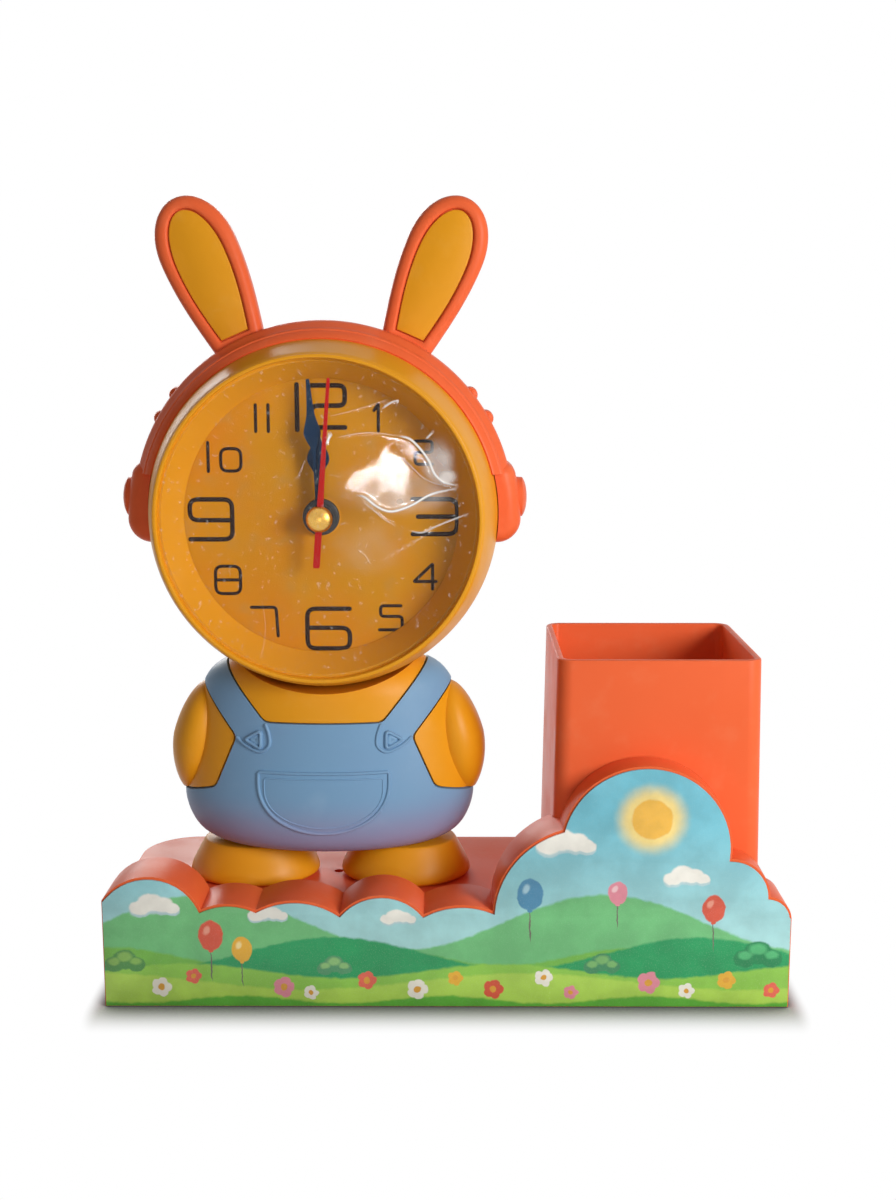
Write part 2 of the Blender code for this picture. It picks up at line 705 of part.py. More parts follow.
def rounded(solid, width, segments=2, degrees=40.0):
    """Rounds the edges that turn by more than the angle given."""
    bevel = solid.modifiers.new("round", "BEVEL")
    bevel.width = width
    bevel.segments = segments
    bevel.limit_method = "ANGLE"
    bevel.angle_limit = radians(degrees)
    return bake(solid)


def finish(solid, finish_name, parent, place=(0.0, 0.0, 0.0)):
    """Gives a solid its material, smooth shading and its place in its parent's frame."""
    solid.data.materials.clear()
    solid.data.materials.append(material(finish_name))
    solid.data.shade_smooth()
    solid.data.set_sharp_from_angle(angle=radians(SMOOTH_DEGREES))
    solid.parent = parent
    solid.location = place
    return solid


def empty(name, location, parent=None):
    made = bpy.data.objects.new(name, None)
    PARTS.objects.link(made)
    made.location = location
    made.parent = parent
    return made


# Base


def cloud_outline():
    """The front of the base: straight foot, ends and the row of cloud lobes along its top."""

    def place(shares):
        return LEFT + shares[0] * BASE_WIDTH, DECK_HEIGHT + shares[1] * CLOUD_RISE

    start = place(CLOUD_START_SHARES)
    top = []
    for crest_shares, end_shares in CLOUD_LOBE_SHARES:
        end = place(end_shares)
        top += arc_through(start, place(crest_shares), end)
        start = end
    top.append(start)
    return [(LEFT, 0.0), (-LEFT, 0.0)] + top[::-1]


def deck_outline(front):
    radii = (0.0, 0.0, BACK_RIGHT_RADIUS, BACK_LEFT_RADIUS)
    return rounded_box(LEFT, front, -LEFT, BACK, radii)


def base_screw_places():
    """Two at the left end, the rear one further in past the round corner, and two beside the cup."""
    rear = BASE_DEPTH - SCREW_FROM_BACK
    beside_cup = CUP_X - CUP_WIDTH / 2 - SCREW_FROM_CUP
    return [
        (LEFT + SCREW_FROM_LEFT, SCREW_FROM_FRONT),
        (LEFT + SCREW_FROM_LEFT + SCREW_CORNER_STEP, rear),
        (beside_cup, SCREW_FROM_FRONT),
        (beside_cup, rear),
    ]


def cup_half_width(height):
    """Half of the cup's outer width at a height: it narrows evenly to its rim."""
    return CUP_WIDTH / 2 + CUP_DRAFT * (CUP_TOP - height) / (CUP_TOP - CUP_FLOOR)


def cup_envelope(name, grow, low, high, corner):
    lower, upper = cup_half_width(low) + grow, cup_half_width(high) + grow
    return tapered_block(name, (CUP_X, CUP_Y), lower, upper, low, high, corner)


def make_cloud(name, outline, near, far):
    """A wall with the cloud's outline, standing upright between two depths from the front."""
    wall = front_plate(name, [outline], near, far)
    wall.data.transform(Matrix.Rotation(pi / 2, 4, "X"))
    return wall


def big_lobe_circle():
    """Centre and radius of the highest lobe."""
    shares = [CLOUD_LOBE_SHARES[BIG_LOBE - 1][1], *CLOUD_LOBE_SHARES[BIG_LOBE]]
    points = [Vector((LEFT + x * BASE_WIDTH, DECK_HEIGHT + z * CLOUD_RISE)) for x, z in shares]
    one, two, three = points
    a, b, c = (two - three).length, (three - one).length, (one - two).length
    angle = acos((b * b + c * c - a * a) / (2 * b * c))
    radius = a / (2 * sin(angle))
    weights = [side * side * (b * b + c * c + a * a - 2 * side * side) for side in (a, b, c)]
    centre = sum((weight * point for weight, point in zip(weights, points)), Vector((0.0, 0.0)))
    return centre / sum(weights), radius


def make_base_shell(stand):
    shell = plate("base_shell", [deck_outline(WALL_FRONT)], 0.0, DECK_HEIGHT)
    join(shell, make_cloud("cloud", cloud_outline(), WALL_FRONT, CLOUD_DEPTH))
    hollow = inset(deck_outline(WALL_FRONT), BASE_WALL)
    cut(shell, plate("hollow", [hollow], -OVERRUN, DECK_HEIGHT - BASE_WALL))
    centre, radius = big_lobe_circle()
    core = circle(radius - CLOUD_SKIN, ROUND_STEPS, centre)
    cut(shell, make_cloud("core", core, WALL_FRONT + CLOUD_SKIN, CLOUD_DEPTH + OVERRUN))
    for place in base_screw_places():
        boss = circle(SCREW_BOSS_RADIUS, SMALL_ROUND_STEPS, place)
        join(shell, plate("boss", [boss], CUP_FLOOR, DECK_HEIGHT - BASE_WALL / 2))
    for place in base_screw_places():
        bore = circle(SCREW_SHANK_RADIUS + SHAFT_CLEARANCE, SMALL_ROUND_STEPS, place)
        cut(shell, plate("bore", [bore], -OVERRUN, SCREW_LENGTH + OVERRUN))
    low, high = DECK_HEIGHT - BASE_WALL - OVERRUN, DECK_HEIGHT + OVERRUN
    for side in (-1, 1):
        centre = (FIGURE_X + side * FOOT_SPACING / 2, FIGURE_Y)
        hole = circle(FOOT_PEG_RADIUS + CLEARANCE, SMALL_ROUND_STEPS, centre)
        cut(shell, plate("peg_hole", [hole], low, high))
    dimple = circle(DECK_HOLE_RADIUS, SMALL_ROUND_STEPS, (FIGURE_X, FIGURE_Y))
    cut(shell, plate("dimple", [dimple], low, high))
    corner = CUP_CORNER_RADIUS + CLEARANCE
    high += CLOUD_RISE
    cut(shell, cup_envelope("cup_hole", CLEARANCE, low, high, corner))
    return finish(shell, "coral", stand)


def make_base_plate(stand):
    outline = inset(deck_outline(WALL_FRONT), BASE_WALL + CLEARANCE)
    cover = plate("base_plate", [outline], 0.0, BOTTOM_PLATE)
    jobs = (
        (SCREW_HEAD_RADIUS + SHAFT_CLEARANCE, SCREW_HEAD_HEIGHT + SHAFT_CLEARANCE),
        (SCREW_SHANK_RADIUS + SHAFT_CLEARANCE, BOTTOM_PLATE + OVERRUN),
    )
    for radius, top in jobs:
        rounds = [circle(radius, SMALL_ROUND_STEPS, place) for place in base_screw_places()]
        cut(cover, gather("sinks", [plate("sink", [points], -OVERRUN, top) for points in rounds]))
    return finish(cover, "coral", stand)


def screw(name):
    """A round-headed screw, its head at height 0 and its shank up along Z."""
    dome_across, dome_up = SCREW_DOME_SHARES
    profile = [
        (0.0, SCREW_LENGTH),
        (SCREW_SHANK_RADIUS * SCREW_TIP_SHARE, SCREW_LENGTH),
        (SCREW_SHANK_RADIUS, SCREW_LENGTH - SCREW_SHANK_RADIUS),
        (SCREW_SHANK_RADIUS, SCREW_HEAD_HEIGHT),
        (SCREW_HEAD_RADIUS, SCREW_HEAD_HEIGHT),
        (SCREW_HEAD_RADIUS, SCREW_HEAD_HEIGHT * dome_up),
        (SCREW_HEAD_RADIUS * dome_across, 0.0),
        (0.0, 0.0),
    ]
    made = turned(name, profile, SMALL_ROUND_STEPS, closed=False)
    half_long, half_wide = SCREW_HEAD_RADIUS * SCREW_SLOT_SHARE, SCREW_SLOT_WIDTH / 2
    for x, y in ((half_long, half_wide), (half_wide, half_long)):
        cut(made, block("slot", (-x, -y, -OVERRUN), (x, y, SCREW_SLOT_DEPTH)))
    return made


def make_base_screws(stand):
    for index, (x, y) in enumerate(base_screw_places(), 1):
        finish(screw(f"base_screw_{index}"), "steel", stand, (x, y, 0.0))


def make_front_print(stand):
    outline = inset(cloud_outline(), PRINT_MARGIN)
    return finish(make_cloud("front_print", outline, 0.0, PRINT_THICKNESS), "print", stand)


def make_pen_cup(stand):
    cup = cup_envelope("pen_cup", 0.0, CUP_FLOOR, CUP_TOP, CUP_CORNER_RADIUS)
    flange_top = DECK_HEIGHT - BASE_WALL - CLEARANCE
    half = cup_half_width(flange_top)
    low = (CUP_X - half - CUP_FLANGE, CUP_Y - half - CUP_FLANGE, flange_top - CUP_FLANGE_THICKNESS)
    high = (CUP_X + half + CUP_FLANGE, CUP_Y + half - CUP_CORNER_RADIUS, flange_top)
    join(cup, block("flange", low, high))
    inner_corner = CUP_CORNER_RADIUS - CUP_WALL
    cut(cup, cup_envelope("pen_room", -CUP_WALL, CUP_FLOOR + CUP_WALL, CUP_TOP + OVERRUN, inner_corner))
    return finish(cup, "coral", stand)


# Figure


def make_foot(name, side, stand):
    profile = [(0.0, FOOT_HEIGHT)]
    profile += [(FOOT_RADIUS * r, FOOT_HEIGHT * z) for r, z in reversed(FOOT_PROFILE_SHARES)]
    profile.append((0.0, 0.0))
    foot = turned(name, profile, MEDIUM_ROUND_STEPS, closed=False)
    foot.data.transform(Matrix.Diagonal((1.0, FOOT_DEPTH_SHARE, 1.0, 1.0)))
    peg = plate("peg", [circle(FOOT_PEG_RADIUS, SMALL_ROUND_STEPS)], -FOOT_PEG_LENGTH, FOOT_HEIGHT / 2)
    join(foot, peg)
    place = (FIGURE_X + side * FOOT_SPACING / 2, FIGURE_Y, DECK_HEIGHT + CLEARANCE)
    return finish(foot, "yellow", stand, place)


def body_solid(name, sink):
    """The figure's barrel, round in plan but flattened front to back, sunk by a distance all over."""
    half_width, half_depth = BODY_HALF_WIDTH - sink, BODY_HALF_DEPTH - sink
    height = BODY_HEIGHT - 2 * sink
    profile = [(0.0, sink + height)]
    profile += [(half_width * r, sink + height * z) for r, z in reversed(BODY_PROFILE_SHARES)]
    profile.append((0.0, sink))
    barrel = turned(name, profile, BODY_STEPS, closed=False)
    barrel.data.transform(Matrix.Diagonal((1.0, half_depth / half_width, 1.0, 1.0)))
    return barrel


def body_prism(name, outlines):
    """Upright outlines seen from the front, run right through the body from front to back."""
    solids = []
    for outline in outlines:
        solid = front_plate(name, [outline], -BODY_HALF_WIDTH, BODY_HALF_WIDTH)
        solid.data.transform(Matrix.Rotation(pi / 2, 4, "X"))
        solids.append(solid)
    return gather(name, solids)


def strap_reach():
    """How far beyond the body, along x and along z alike, the straps' outlines run."""
    return BODY_HALF_WIDTH


def dungaree_outline():
    """Front view of the dungarees, counter-clockwise: trousers, armholes, straps and bib."""
    reach = strap_reach()
    strap_rise = STRAP_WIDTH * sqrt(2)
    armhole_top = BIB_TOP + ARMHOLE_IN - BIB_HALF_WIDTH - strap_rise
    right = [
        (BODY_HALF_WIDTH + OVERRUN, -OVERRUN),
        (BODY_HALF_WIDTH + OVERRUN, WAIST_HEIGHT),
        (ARMHOLE_CORNER, ARMHOLE_CORNER_HEIGHT),
        (ARMHOLE_IN, armhole_top),
        (ARMHOLE_IN + reach, armhole_top + reach),
        (BIB_HALF_WIDTH + reach, BIB_TOP + reach),
        (BIB_HALF_WIDTH, BIB_TOP),
    ]
    return right + [(-x, z) for x, z in reversed(right)]


def panel_outlines():
    """Front view of the parts of the body that the dungarees leave bare: chest and both sides."""
    outline = dungaree_outline()
    waist, corner, armhole, strap, collar, bib = outline[1:7]
    chest = [bib, collar, (-collar[0], collar[1]), (-bib[0], bib[1])]
    side = [waist, (strap[0], waist[1]), strap, armhole, corner]
    return [inset(chest, CLEARANCE), inset(side, CLEARANCE), inset(mirrored(side), CLEARANCE)]


def make_arm(side):
    mesh = bpy.data.meshes.new("arm")
    shape = bmesh.new()
    bmesh.ops.create_uvsphere(shape, u_segments=ARM_SEGMENTS, v_segments=ARM_RINGS, radius=1.0)
    bmesh.ops.scale(shape, vec=(ARM_HALF_WIDTH, ARM_HALF_DEPTH, ARM_HALF_LENGTH), verts=shape.verts)
    turn = Matrix.Rotation(-side * radians(ARM_TILT_DEGREES), 4, "Y")
    bmesh.ops.transform(shape, matrix=turn, verts=shape.verts)
    bmesh.ops.translate(shape, vec=(side * ARM_OUT, 0.0, ARM_HEIGHT), verts=shape.verts)
    shape.to_mesh(mesh)
    shape.free()
    return new_object("arm", mesh)


def head_saddle():
    """The room that the head's drum takes out of the shoulders, in the body's own frame."""
    saddle = front_plate("saddle", [circle(BAND_INNER)], -BODY_HALF_WIDTH, BODY_HALF_WIDTH)
    lift = Matrix.Translation((0.0, 0.0, HEAD_Z - BODY_BOTTOM))
    saddle.data.transform(lift @ Matrix.Rotation(pi / 2, 4, "X"))
    return saddle


def half_space(front):
    """A box over the front or the back half of the body, half a gap short of the middle."""
    far = 2 * BODY_HALF_WIDTH
    near = CLEARANCE / 2
    low, high = (-far, -near) if front else (near, far)
    return block("half", (-far, low, -far), (far, high, far + BODY_HEIGHT))


def make_halves(whole, name, finish_name, stand):
    """Splits a body shell into its front and back mouldings."""
    other = copy_of(whole, name + "_back")
    whole.name = name + "_front"
    for solid, front in ((whole, True), (other, False)):
        overlap(solid, half_space(front))
        finish(solid, finish_name, stand, (FIGURE_X, FIGURE_Y, BODY_BOTTOM))


def make_torso(stand):
    core_sink = DUNGAREE_THICKNESS + CLEARANCE
    skin = body_solid("skin", PANEL_RECESS)
    join(skin, make_arm(-1), make_arm(1))
    overlap(skin, body_prism("panels", panel_outlines()))
    torso = body_solid("torso", core_sink)
    join(torso, skin)
    room = body_solid("room", core_sink + BODY_WALL)
    neck_floor = HEAD_Z - DRUM_RADIUS - NECK_BLOCK - BODY_BOTTOM
    far = 2 * BODY_HALF_WIDTH
    cut(room, block("neck_block", (-far, -far, neck_floor), (far, far, far)))
    cut(torso, room, head_saddle())
    neck = circle(NECK_RADIUS + CLEARANCE, SMALL_ROUND_STEPS)
    cut(torso, plate("neck_hole", [neck], neck_floor - OVERRUN, BODY_HEIGHT + OVERRUN))
    make_halves(torso, "torso", "yellow", stand)


def make_dungarees(stand):
    cloth = body_solid("dungarees", 0.0)
    cut(cloth, body_solid("inside", DUNGAREE_THICKNESS))
    leg_room = circle((FOOT_SPACING / 2 + FOOT_RADIUS) * LEG_OPENING_SHARE, MEDIUM_ROUND_STEPS)
    opening = plate("leg_opening", [leg_room], -OVERRUN, DUNGAREE_THICKNESS + OVERRUN)
    opening.data.transform(Matrix.Diagonal((1.0, BODY_HALF_DEPTH / BODY_HALF_WIDTH, 1.0, 1.0)))
    cut(cloth, opening)
    overlap(cloth, body_prism("cloth_region", [dungaree_outline()]))
    cut(cloth, head_saddle())
    make_halves(cloth, "dungarees", "blue", stand)


# Head


def bezel_profile():
    """Outside of the rim, the flaring bezel and the drum, from the front to the back."""
    flare = DRUM_RADIUS - RIM_RADIUS
    points = [(RIM_RADIUS + flare * r, BEZEL_DEPTH * d) for r, d in BEZEL_FLARE_SHARES]
    return points + [(DRUM_RADIUS, BEZEL_DEPTH), (DRUM_RADIUS, HEAD_DEPTH)]


def head_boss_places():
    return [polar(DRUM_RADIUS - HEAD_BOSS_INSET, angle) for angle in HEAD_SCREW_ANGLES]


def make_head_case(frame):
    drum_inside = DRUM_RADIUS - DRUM_WALL
    ledge = LENS_BORE - LENS_LEDGE_WIDTH
    lip_back = DIAL_DEPTH - CLEARANCE
    profile = [(RIM_RADIUS - RIM_WIDTH * CORNER_CUT_SHARE, 0.0)] + bezel_profile()
    profile += [
        (drum_inside, HEAD_DEPTH),
        (drum_inside, BEZEL_DEPTH),
        (ledge + CONE_WALL, LENS_LEDGE_DEPTH + CONE_WALL),
        (DIAL_VIEW_RADIUS + CONE_WALL, lip_back),
        (DIAL_VIEW_RADIUS, lip_back),
        (ledge, LENS_LEDGE_DEPTH),
        (LENS_BORE, LENS_LEDGE_DEPTH),
        (LENS_BORE, 0.0),
    ]
    case = front_turned("head_case", profile)
    for place in head_boss_places():
        boss = circle(HEAD_BOSS_RADIUS, SMALL_ROUND_STEPS, place)
        join(case, front_plate("boss", [boss], HEAD_DEPTH - HEAD_BOSS_LENGTH, HEAD_DEPTH))
    drum_bottom = -DRUM_RADIUS + DRUM_WALL / 2
    neck = plate("neck", [circle(NECK_RADIUS, SMALL_ROUND_STEPS)], -NECK_LENGTH, 0.0)
    hang = Matrix.Translation((0.0, drum_bottom, -NECK_FROM_RIM))
    neck.data.transform(hang @ Matrix.Rotation(-pi / 2, 4, "X"))
    join(case, neck)
    bore = SCREW_SHANK_RADIUS + SHAFT_CLEARANCE
    for place in head_boss_places():
        hole = circle(bore, SMALL_ROUND_STEPS, place)
        cut(case, front_plate("bore", [hole], HEAD_DEPTH - SCREW_LENGTH, HEAD_DEPTH + OVERRUN))
    return finish(case, "yellow", frame)


def door_corners():
    """Battery door opening: low and high corners in the head's frame."""
    half = CASE_WIDTH / 2
    return (-half, -half - DOOR_MARGIN), (half, PARTITION_TOP - PARTITION_THICKNESS)


def make_back_cover(frame):
    back_round = BACK_COVER_THICKNESS / 2
    profile = [
        (0.0, BACK_COVER_FRONT),
        (DRUM_RADIUS, BACK_COVER_FRONT),
        (DRUM_RADIUS, BACK_COVER_BACK - back_round),
        (DRUM_RADIUS - back_round, BACK_COVER_BACK),
        (0.0, BACK_COVER_BACK),
    ]
    cover = front_turned("head_back_cover", profile, ROUND_STEPS, closed=False)
    near, far = BACK_COVER_FRONT - OVERRUN, BACK_COVER_BACK + OVERRUN
    low, high = door_corners()
    cut(cover, front_plate("door_opening", [box_outline(*low, *high)], near, far))
    for place in (time_knob_place(), alarm_knob_place()):
        hole = circle(KNOB_SHAFT_RADIUS + CLEARANCE, SMALL_ROUND_STEPS, place)
        cut(cover, front_plate("shaft_hole", [hole], near, far))
    cut(cover, front_plate("switch_slot", [switch_slot()], near, far))
    sink_far = BACK_COVER_BACK - SCREW_HEAD_HEIGHT + SHAFT_CLEARANCE
    for place in head_boss_places():
        hole = circle(SCREW_SHANK_RADIUS + SHAFT_CLEARANCE, SMALL_ROUND_STEPS, place)
        sink = circle(SCREW_HEAD_RADIUS + SHAFT_CLEARANCE, SMALL_ROUND_STEPS, place)
        cut(cover, front_plate("screw_hole", [hole], near, far))
        cut(cover, front_plate("screw_sink", [sink], sink_far - 2 * SHAFT_CLEARANCE, far))
    return finish(cover, "yellow", frame)


def make_head_screws(frame):
    for index, (x, y) in enumerate(head_boss_places(), 1):
        made = screw(f"head_screw_{index}")
        made.data.transform(Matrix.Translation((0.0, 0.0, -BACK_COVER_BACK)))
        finish(made, "steel", frame, (x, y, 0.0))


def make_battery_door(frame):
    """The door turns on its lower outer edge, which is this object's origin."""
    low, high = door_corners()
    edges = (low[0] + CLEARANCE, low[1] + CLEARANCE, high[0] - CLEARANCE, high[1] - CLEARANCE)
    hinge_height = edges[1]
    outline = box_outline(edges[0], 0.0, edges[2], edges[3] - hinge_height)
    door = front_plate("battery_door", [outline], -DOOR_THICKNESS, 0.0)
    return finish(door, "yellow", frame, (0.0, hinge_height, -(BACK_COVER_BACK - CLEARANCE)))


def make_lens(frame):
    radius = LENS_BORE - CLEARANCE
    back = LENS_LEDGE_DEPTH - CLEARANCE
    front = back - LENS_THICKNESS
    finish(front_plate("lens", [circle(radius)], front, back), "clear", frame)
    film_back = front - CLEARANCE
    film = front_plate("lens_film", [circle(radius - CLEARANCE)], film_back - FILM_THICKNESS, film_back)
    finish(film, "clear", frame)


def make_dial(frame):
    hole = circle(CASE_TUBE_BORE + CASE_TUBE_WALL + CLEARANCE, SMALL_ROUND_STEPS)
    edge = circle(DIAL_VIEW_RADIUS + DIAL_LIP)
    dial = front_plate("dial", [edge, hole], DIAL_DEPTH, DIAL_DEPTH + DIAL_THICKNESS)
    return finish(dial, "dial_yellow", frame)


def make_headband(frame):
    corner = BAND_BEVEL * CORNER_CUT_SHARE
    profile = [
        (BAND_INNER, BAND_FRONT),
        (BAND_OUTER - BAND_BEVEL, BAND_FRONT),
        (BAND_OUTER - corner, BAND_FRONT + corner),
        (BAND_OUTER, BAND_FRONT + BAND_BEVEL),
        (BAND_OUTER, BAND_BACK - BAND_BEVEL),
        (BAND_OUTER - corner, BAND_BACK - corner),
        (BAND_OUTER - BAND_BEVEL, BAND_BACK),
        (BAND_INNER, BAND_BACK),
    ]
    band = front_turned("headband", profile)
    middle = (BAND_FRONT + BAND_BACK) / 2
    near, far = middle - RIB_LENGTH / 2, middle + RIB_LENGTH / 2
    for side in (-1, 1):
        for angle in RIB_ANGLES:
            place = polar(BAND_OUTER - RIB_RADIUS * RIB_SINK_SHARE, 90 - side * angle)
            rib = rod("rib", RIB_RADIUS, near, far, SMALL_ROUND_STEPS, place)
            join(band, rounded(rib, RIB_RADIUS * RIB_ROUNDING_SHARE, 1))
    far = 2 * BAND_OUTER
    low, high = (-far, -far, -far), (far, EARCUP_TOP + CLEARANCE, far)
    cut(band, block("lower_half", low, high))
    return finish(band, "coral", frame)


def earcup_outline(outer):
    """Front view of the right ear cup: flat top and foot, a swelling side and a well rounded corner."""
    inner = BAND_INNER * EARCUP_ROOT_SHARE
    foot = (outer - EARCUP_CORNER, EARCUP_BOTTOM)
    corner_in, corner_up = (EARCUP_CORNER * share for share in EARCUP_CORNER_SHARES)
    corner = (outer - corner_in, EARCUP_BOTTOM + corner_up)
    side = (outer, EARCUP_BOTTOM + EARCUP_CORNER * EARCUP_SIDE_SHARE)
    bulge = (outer - EARCUP_PROUD * EARCUP_BULGE_SHARE, (side[1] + EARCUP_TOP) / 2)
    top = (outer - EARCUP_PROUD * EARCUP_TOP_SHARE, EARCUP_TOP)
    bend = arc_through(foot, corner, side) + arc_through(side, bulge, top)
    return [(inner, EARCUP_BOTTOM), *bend, top, (inner, EARCUP_TOP)]


def make_earcups(frame):
    front, back = BAND_FRONT - EARCUP_OVERLAP, BAND_BACK + EARCUP_OVERLAP
    middle = (front + back) / 2
    outline = earcup_outline(HEAD_HALF_WIDTH)
    for side, name in ((-1, "left"), (1, "right")):
        points = outline if side > 0 else mirrored(outline)
        cup = rounded(front_plate(f"earcup_{name}", [points], front, back), EARCUP_ROUNDING, 2, 60.0)
        cut(cup, front_plate("drum_room", [circle(BAND_INNER)], front - OVERRUN, back + OVERRUN))
        finish(cup, "coral", frame)
        profile = [(EARCUP_CAP_RADIUS * r, EARCUP_CAP_HEIGHT * h) for r, h in EARCUP_CAP_SHARES]
        profile += [(EARCUP_CAP_RADIUS, CLEARANCE), (0.0, CLEARANCE)]
        cap = turned(f"earcup_cap_{name}", profile, MEDIUM_ROUND_STEPS, closed=False)
        place = Matrix.Translation((side * HEAD_HALF_WIDTH, EARCUP_CAP_RISE, -middle))
        cap.data.transform(place @ Matrix.Rotation(side * pi / 2, 4, "Y"))
        finish(cap, "coral", frame)


def make_ears(frame):
    front = BEZEL_DEPTH + EAR_SETBACK
    back = front + EAR_THICKNESS

    def leaf(rim):
        root = polar(BAND_OUTER + EAR_ROOT_GAP, 90 - EAR_ROOT_ANGLE)
        length, widths = EAR_LENGTH - rim, (EAR_ROOT_HALF_WIDTH - rim, EAR_HALF_WIDTH - rim)
        return leaf_outline(root, EAR_LEAN_DEGREES, length, *widths)

    leaves = leaf(0.0), leaf(EAR_RIM - CLEARANCE), leaf(EAR_RIM)
    band_room = BAND_OUTER + CLEARANCE
    foot = band_room + EAR_INLAY_FOOT
    for name, flip in (("left", True), ("right", False)):
        edge, hollow, infill = (mirrored(points) if flip else points for points in leaves)
        ear = rounded(front_plate(f"ear_{name}", [edge], front, back), EAR_ROUNDING, 2, 50.0)
        room = front_plate("pocket", [hollow], front - OVERRUN, front + EAR_POCKET_DEPTH)
        cut(room, rod("pocket_foot", foot, front - 2 * OVERRUN, back, ROUND_STEPS))
        cut(ear, room, rod("band_room", band_room, front - OVERRUN, back + OVERRUN, ROUND_STEPS))
        finish(ear, "coral", frame)
        floor = front + EAR_POCKET_DEPTH - CLEARANCE
        panel = front_plate(f"ear_inlay_{name}", [infill], floor - EAR_INLAY_THICKNESS, floor)
        cut(panel, rod("inlay_foot", foot + CLEARANCE, front - OVERRUN, back, ROUND_STEPS))
        finish(panel, "yellow", frame)


# Hands


def blade_outline(length, width, shares, hub_radius, angle):
    """A hand's outline from its hub: each share gives how far along, then how wide."""
    right = [(width * across / 2, length * along) for along, across in shares]
    start = atan2(right[0][1], right[0][0])
    start = min(start, acos(min(right[0][0] / hub_radius, 1.0)))
    hub = []
    sweep = pi + 2 * start
    for step in range(SMALL_ROUND_STEPS + 1):
        turn = pi - start + sweep * step / SMALL_ROUND_STEPS
        hub.append((hub_radius * cos(turn), hub_radius * sin(turn)))
    blade = [point for point in right if hypot(*point) > hub_radius]
    points = hub + blade + [(-x, y) for x, y in reversed(blade)]
    turn = -radians(angle)
    return [(x * cos(turn) - y * sin(turn), x * sin(turn) + y * cos(turn)) for x, y in points]


def make_hand(name, outline, bore, depth, finish_name, frame):
    hand = front_plate(name, [outline, circle(bore, SMALL_ROUND_STEPS)], depth, depth + HAND_THICKNESS)
    return finish(hand, finish_name, frame)


@dataclass(frozen=True)
class Blade:
    """A hand of the dial: its size, the tube that carries it and where it points."""

    name: str
    length: float
    width: float
    shares: tuple
    tube_bore: float
    depth: float
    angle: float
    look: str


BLADES = (
    Blade(
        "alarm_hand", ALARM_HAND_LENGTH, ALARM_HAND_WIDTH, ALARM_HAND_SHARES,
        ALARM_TUBE_BORE, ALARM_HAND_DEPTH, HOUR_HAND_ANGLE, "brass",
    ),
    Blade(
        "hour_hand", HOUR_HAND_LENGTH, HOUR_HAND_WIDTH, HOUR_HAND_SHARES,
        HOUR_TUBE_BORE, HOUR_HAND_DEPTH, HOUR_HAND_ANGLE, "navy",
    ),
    Blade(
        "minute_hand", MINUTE_HAND_LENGTH, MINUTE_HAND_WIDTH, MINUTE_HAND_SHARES,
        MINUTE_TUBE_BORE, MINUTE_HAND_DEPTH, MINUTE_HAND_ANGLE, "navy",
    ),
)


def make_hands(frame):
    for blade in BLADES:
        bore = blade.tube_bore + TUBE_WALL + SHAFT_CLEARANCE
        hub = bore + HUB_MARGIN
        outline = blade_outline(blade.length, blade.width, blade.shares, hub, blade.angle)
        make_hand(blade.name, outline, bore, blade.depth, blade.look, frame)
    bore = PIN_RADIUS + SHAFT_CLEARANCE
    hub = bore + HUB_MARGIN
    sizes = SECOND_HAND_LENGTH, SECOND_HAND_WIDTH
    needle = blade_outline(*sizes, SECOND_HAND_SHARES, hub, SECOND_HAND_ANGLE)
    near, far = SECOND_HAND_DEPTH, SECOND_HAND_DEPTH + HAND_THICKNESS
    hand = front_plate("second_hand", [needle, circle(bore, SMALL_ROUND_STEPS)], near, far)
    half_tail = SECOND_TAIL_WIDTH / 2
    tail = box_outline(-half_tail, -SECOND_HAND_TAIL, half_tail, -hub * SECOND_TAIL_ROOT_SHARE)
    tail_plate = front_plate("tail", [tail], near, far)
    tail_plate.data.transform(Matrix.Rotation(-radians(SECOND_HAND_ANGLE), 4, "Z"))
    join(hand, tail_plate)
    finish(hand, "red", frame)
    dome = [(CAP_RADIUS * r, CAP_DEPTH + CAP_HEIGHT * d) for r, d in CAP_DOME_SHARES]
    finish(front_turned("hand_cap", dome, MEDIUM_ROUND_STEPS, closed=False), "brass", frame)


def make_dial_nut(frame):
    far = DIAL_DEPTH - CLEARANCE
    outside = NUT_BORE + NUT_WALL
    loops = [circle(outside, NUT_SIDES), circle(NUT_BORE, SMALL_ROUND_STEPS)]
    nut = front_plate("dial_nut", loops, far - NUT_THICKNESS, far)
    return finish(nut, "dark", frame)


# Movement


def layer(index):
    """Front and back depths of a wheel layer, the first being next to the case's front wall."""
    near = CASE_INSIDE + LAYER_GAP + index * LAYER_STEP
    return near, near + WHEEL_THICKNESS


def mesh_distance(one, two, module):
    return module * (one + two) / 2


def third_distance():
    return mesh_distance(SECOND_PINION_TEETH, THIRD_TEETH, FINE_MODULE)


def centre_module():
    """The module that lets the centre wheel and the third pinion share their neighbours' spacing."""
    return 2 * third_distance() / (CENTRE_TEETH + THIRD_PINION_TEETH)


def motion_distance():
    return mesh_distance(CANNON_TEETH, MOTION_TEETH, COARSE_MODULE)


def hour_module():
    return 2 * motion_distance() / (HOUR_TEETH + MOTION_PINION_TEETH)


def alarm_module():
    return 2 * ALARM_KNOB_DISTANCE / (ALARM_TEETH + ALARM_KNOB_TEETH)


def third_place():
    return polar(third_distance(), THIRD_ANGLE)


def fifth_place():
    return polar(mesh_distance(FIFTH_PINION_TEETH, SECOND_TEETH, FINE_MODULE), FIFTH_ANGLE)


def rotor_place():
    start = fifth_place()
    step = polar(mesh_distance(ROTOR_TEETH, FIFTH_TEETH, FINE_MODULE), ROTOR_ANGLE)
    return start[0] + step[0], start[1] + step[1]


def motion_place():
    return polar(motion_distance(), MOTION_ANGLE)


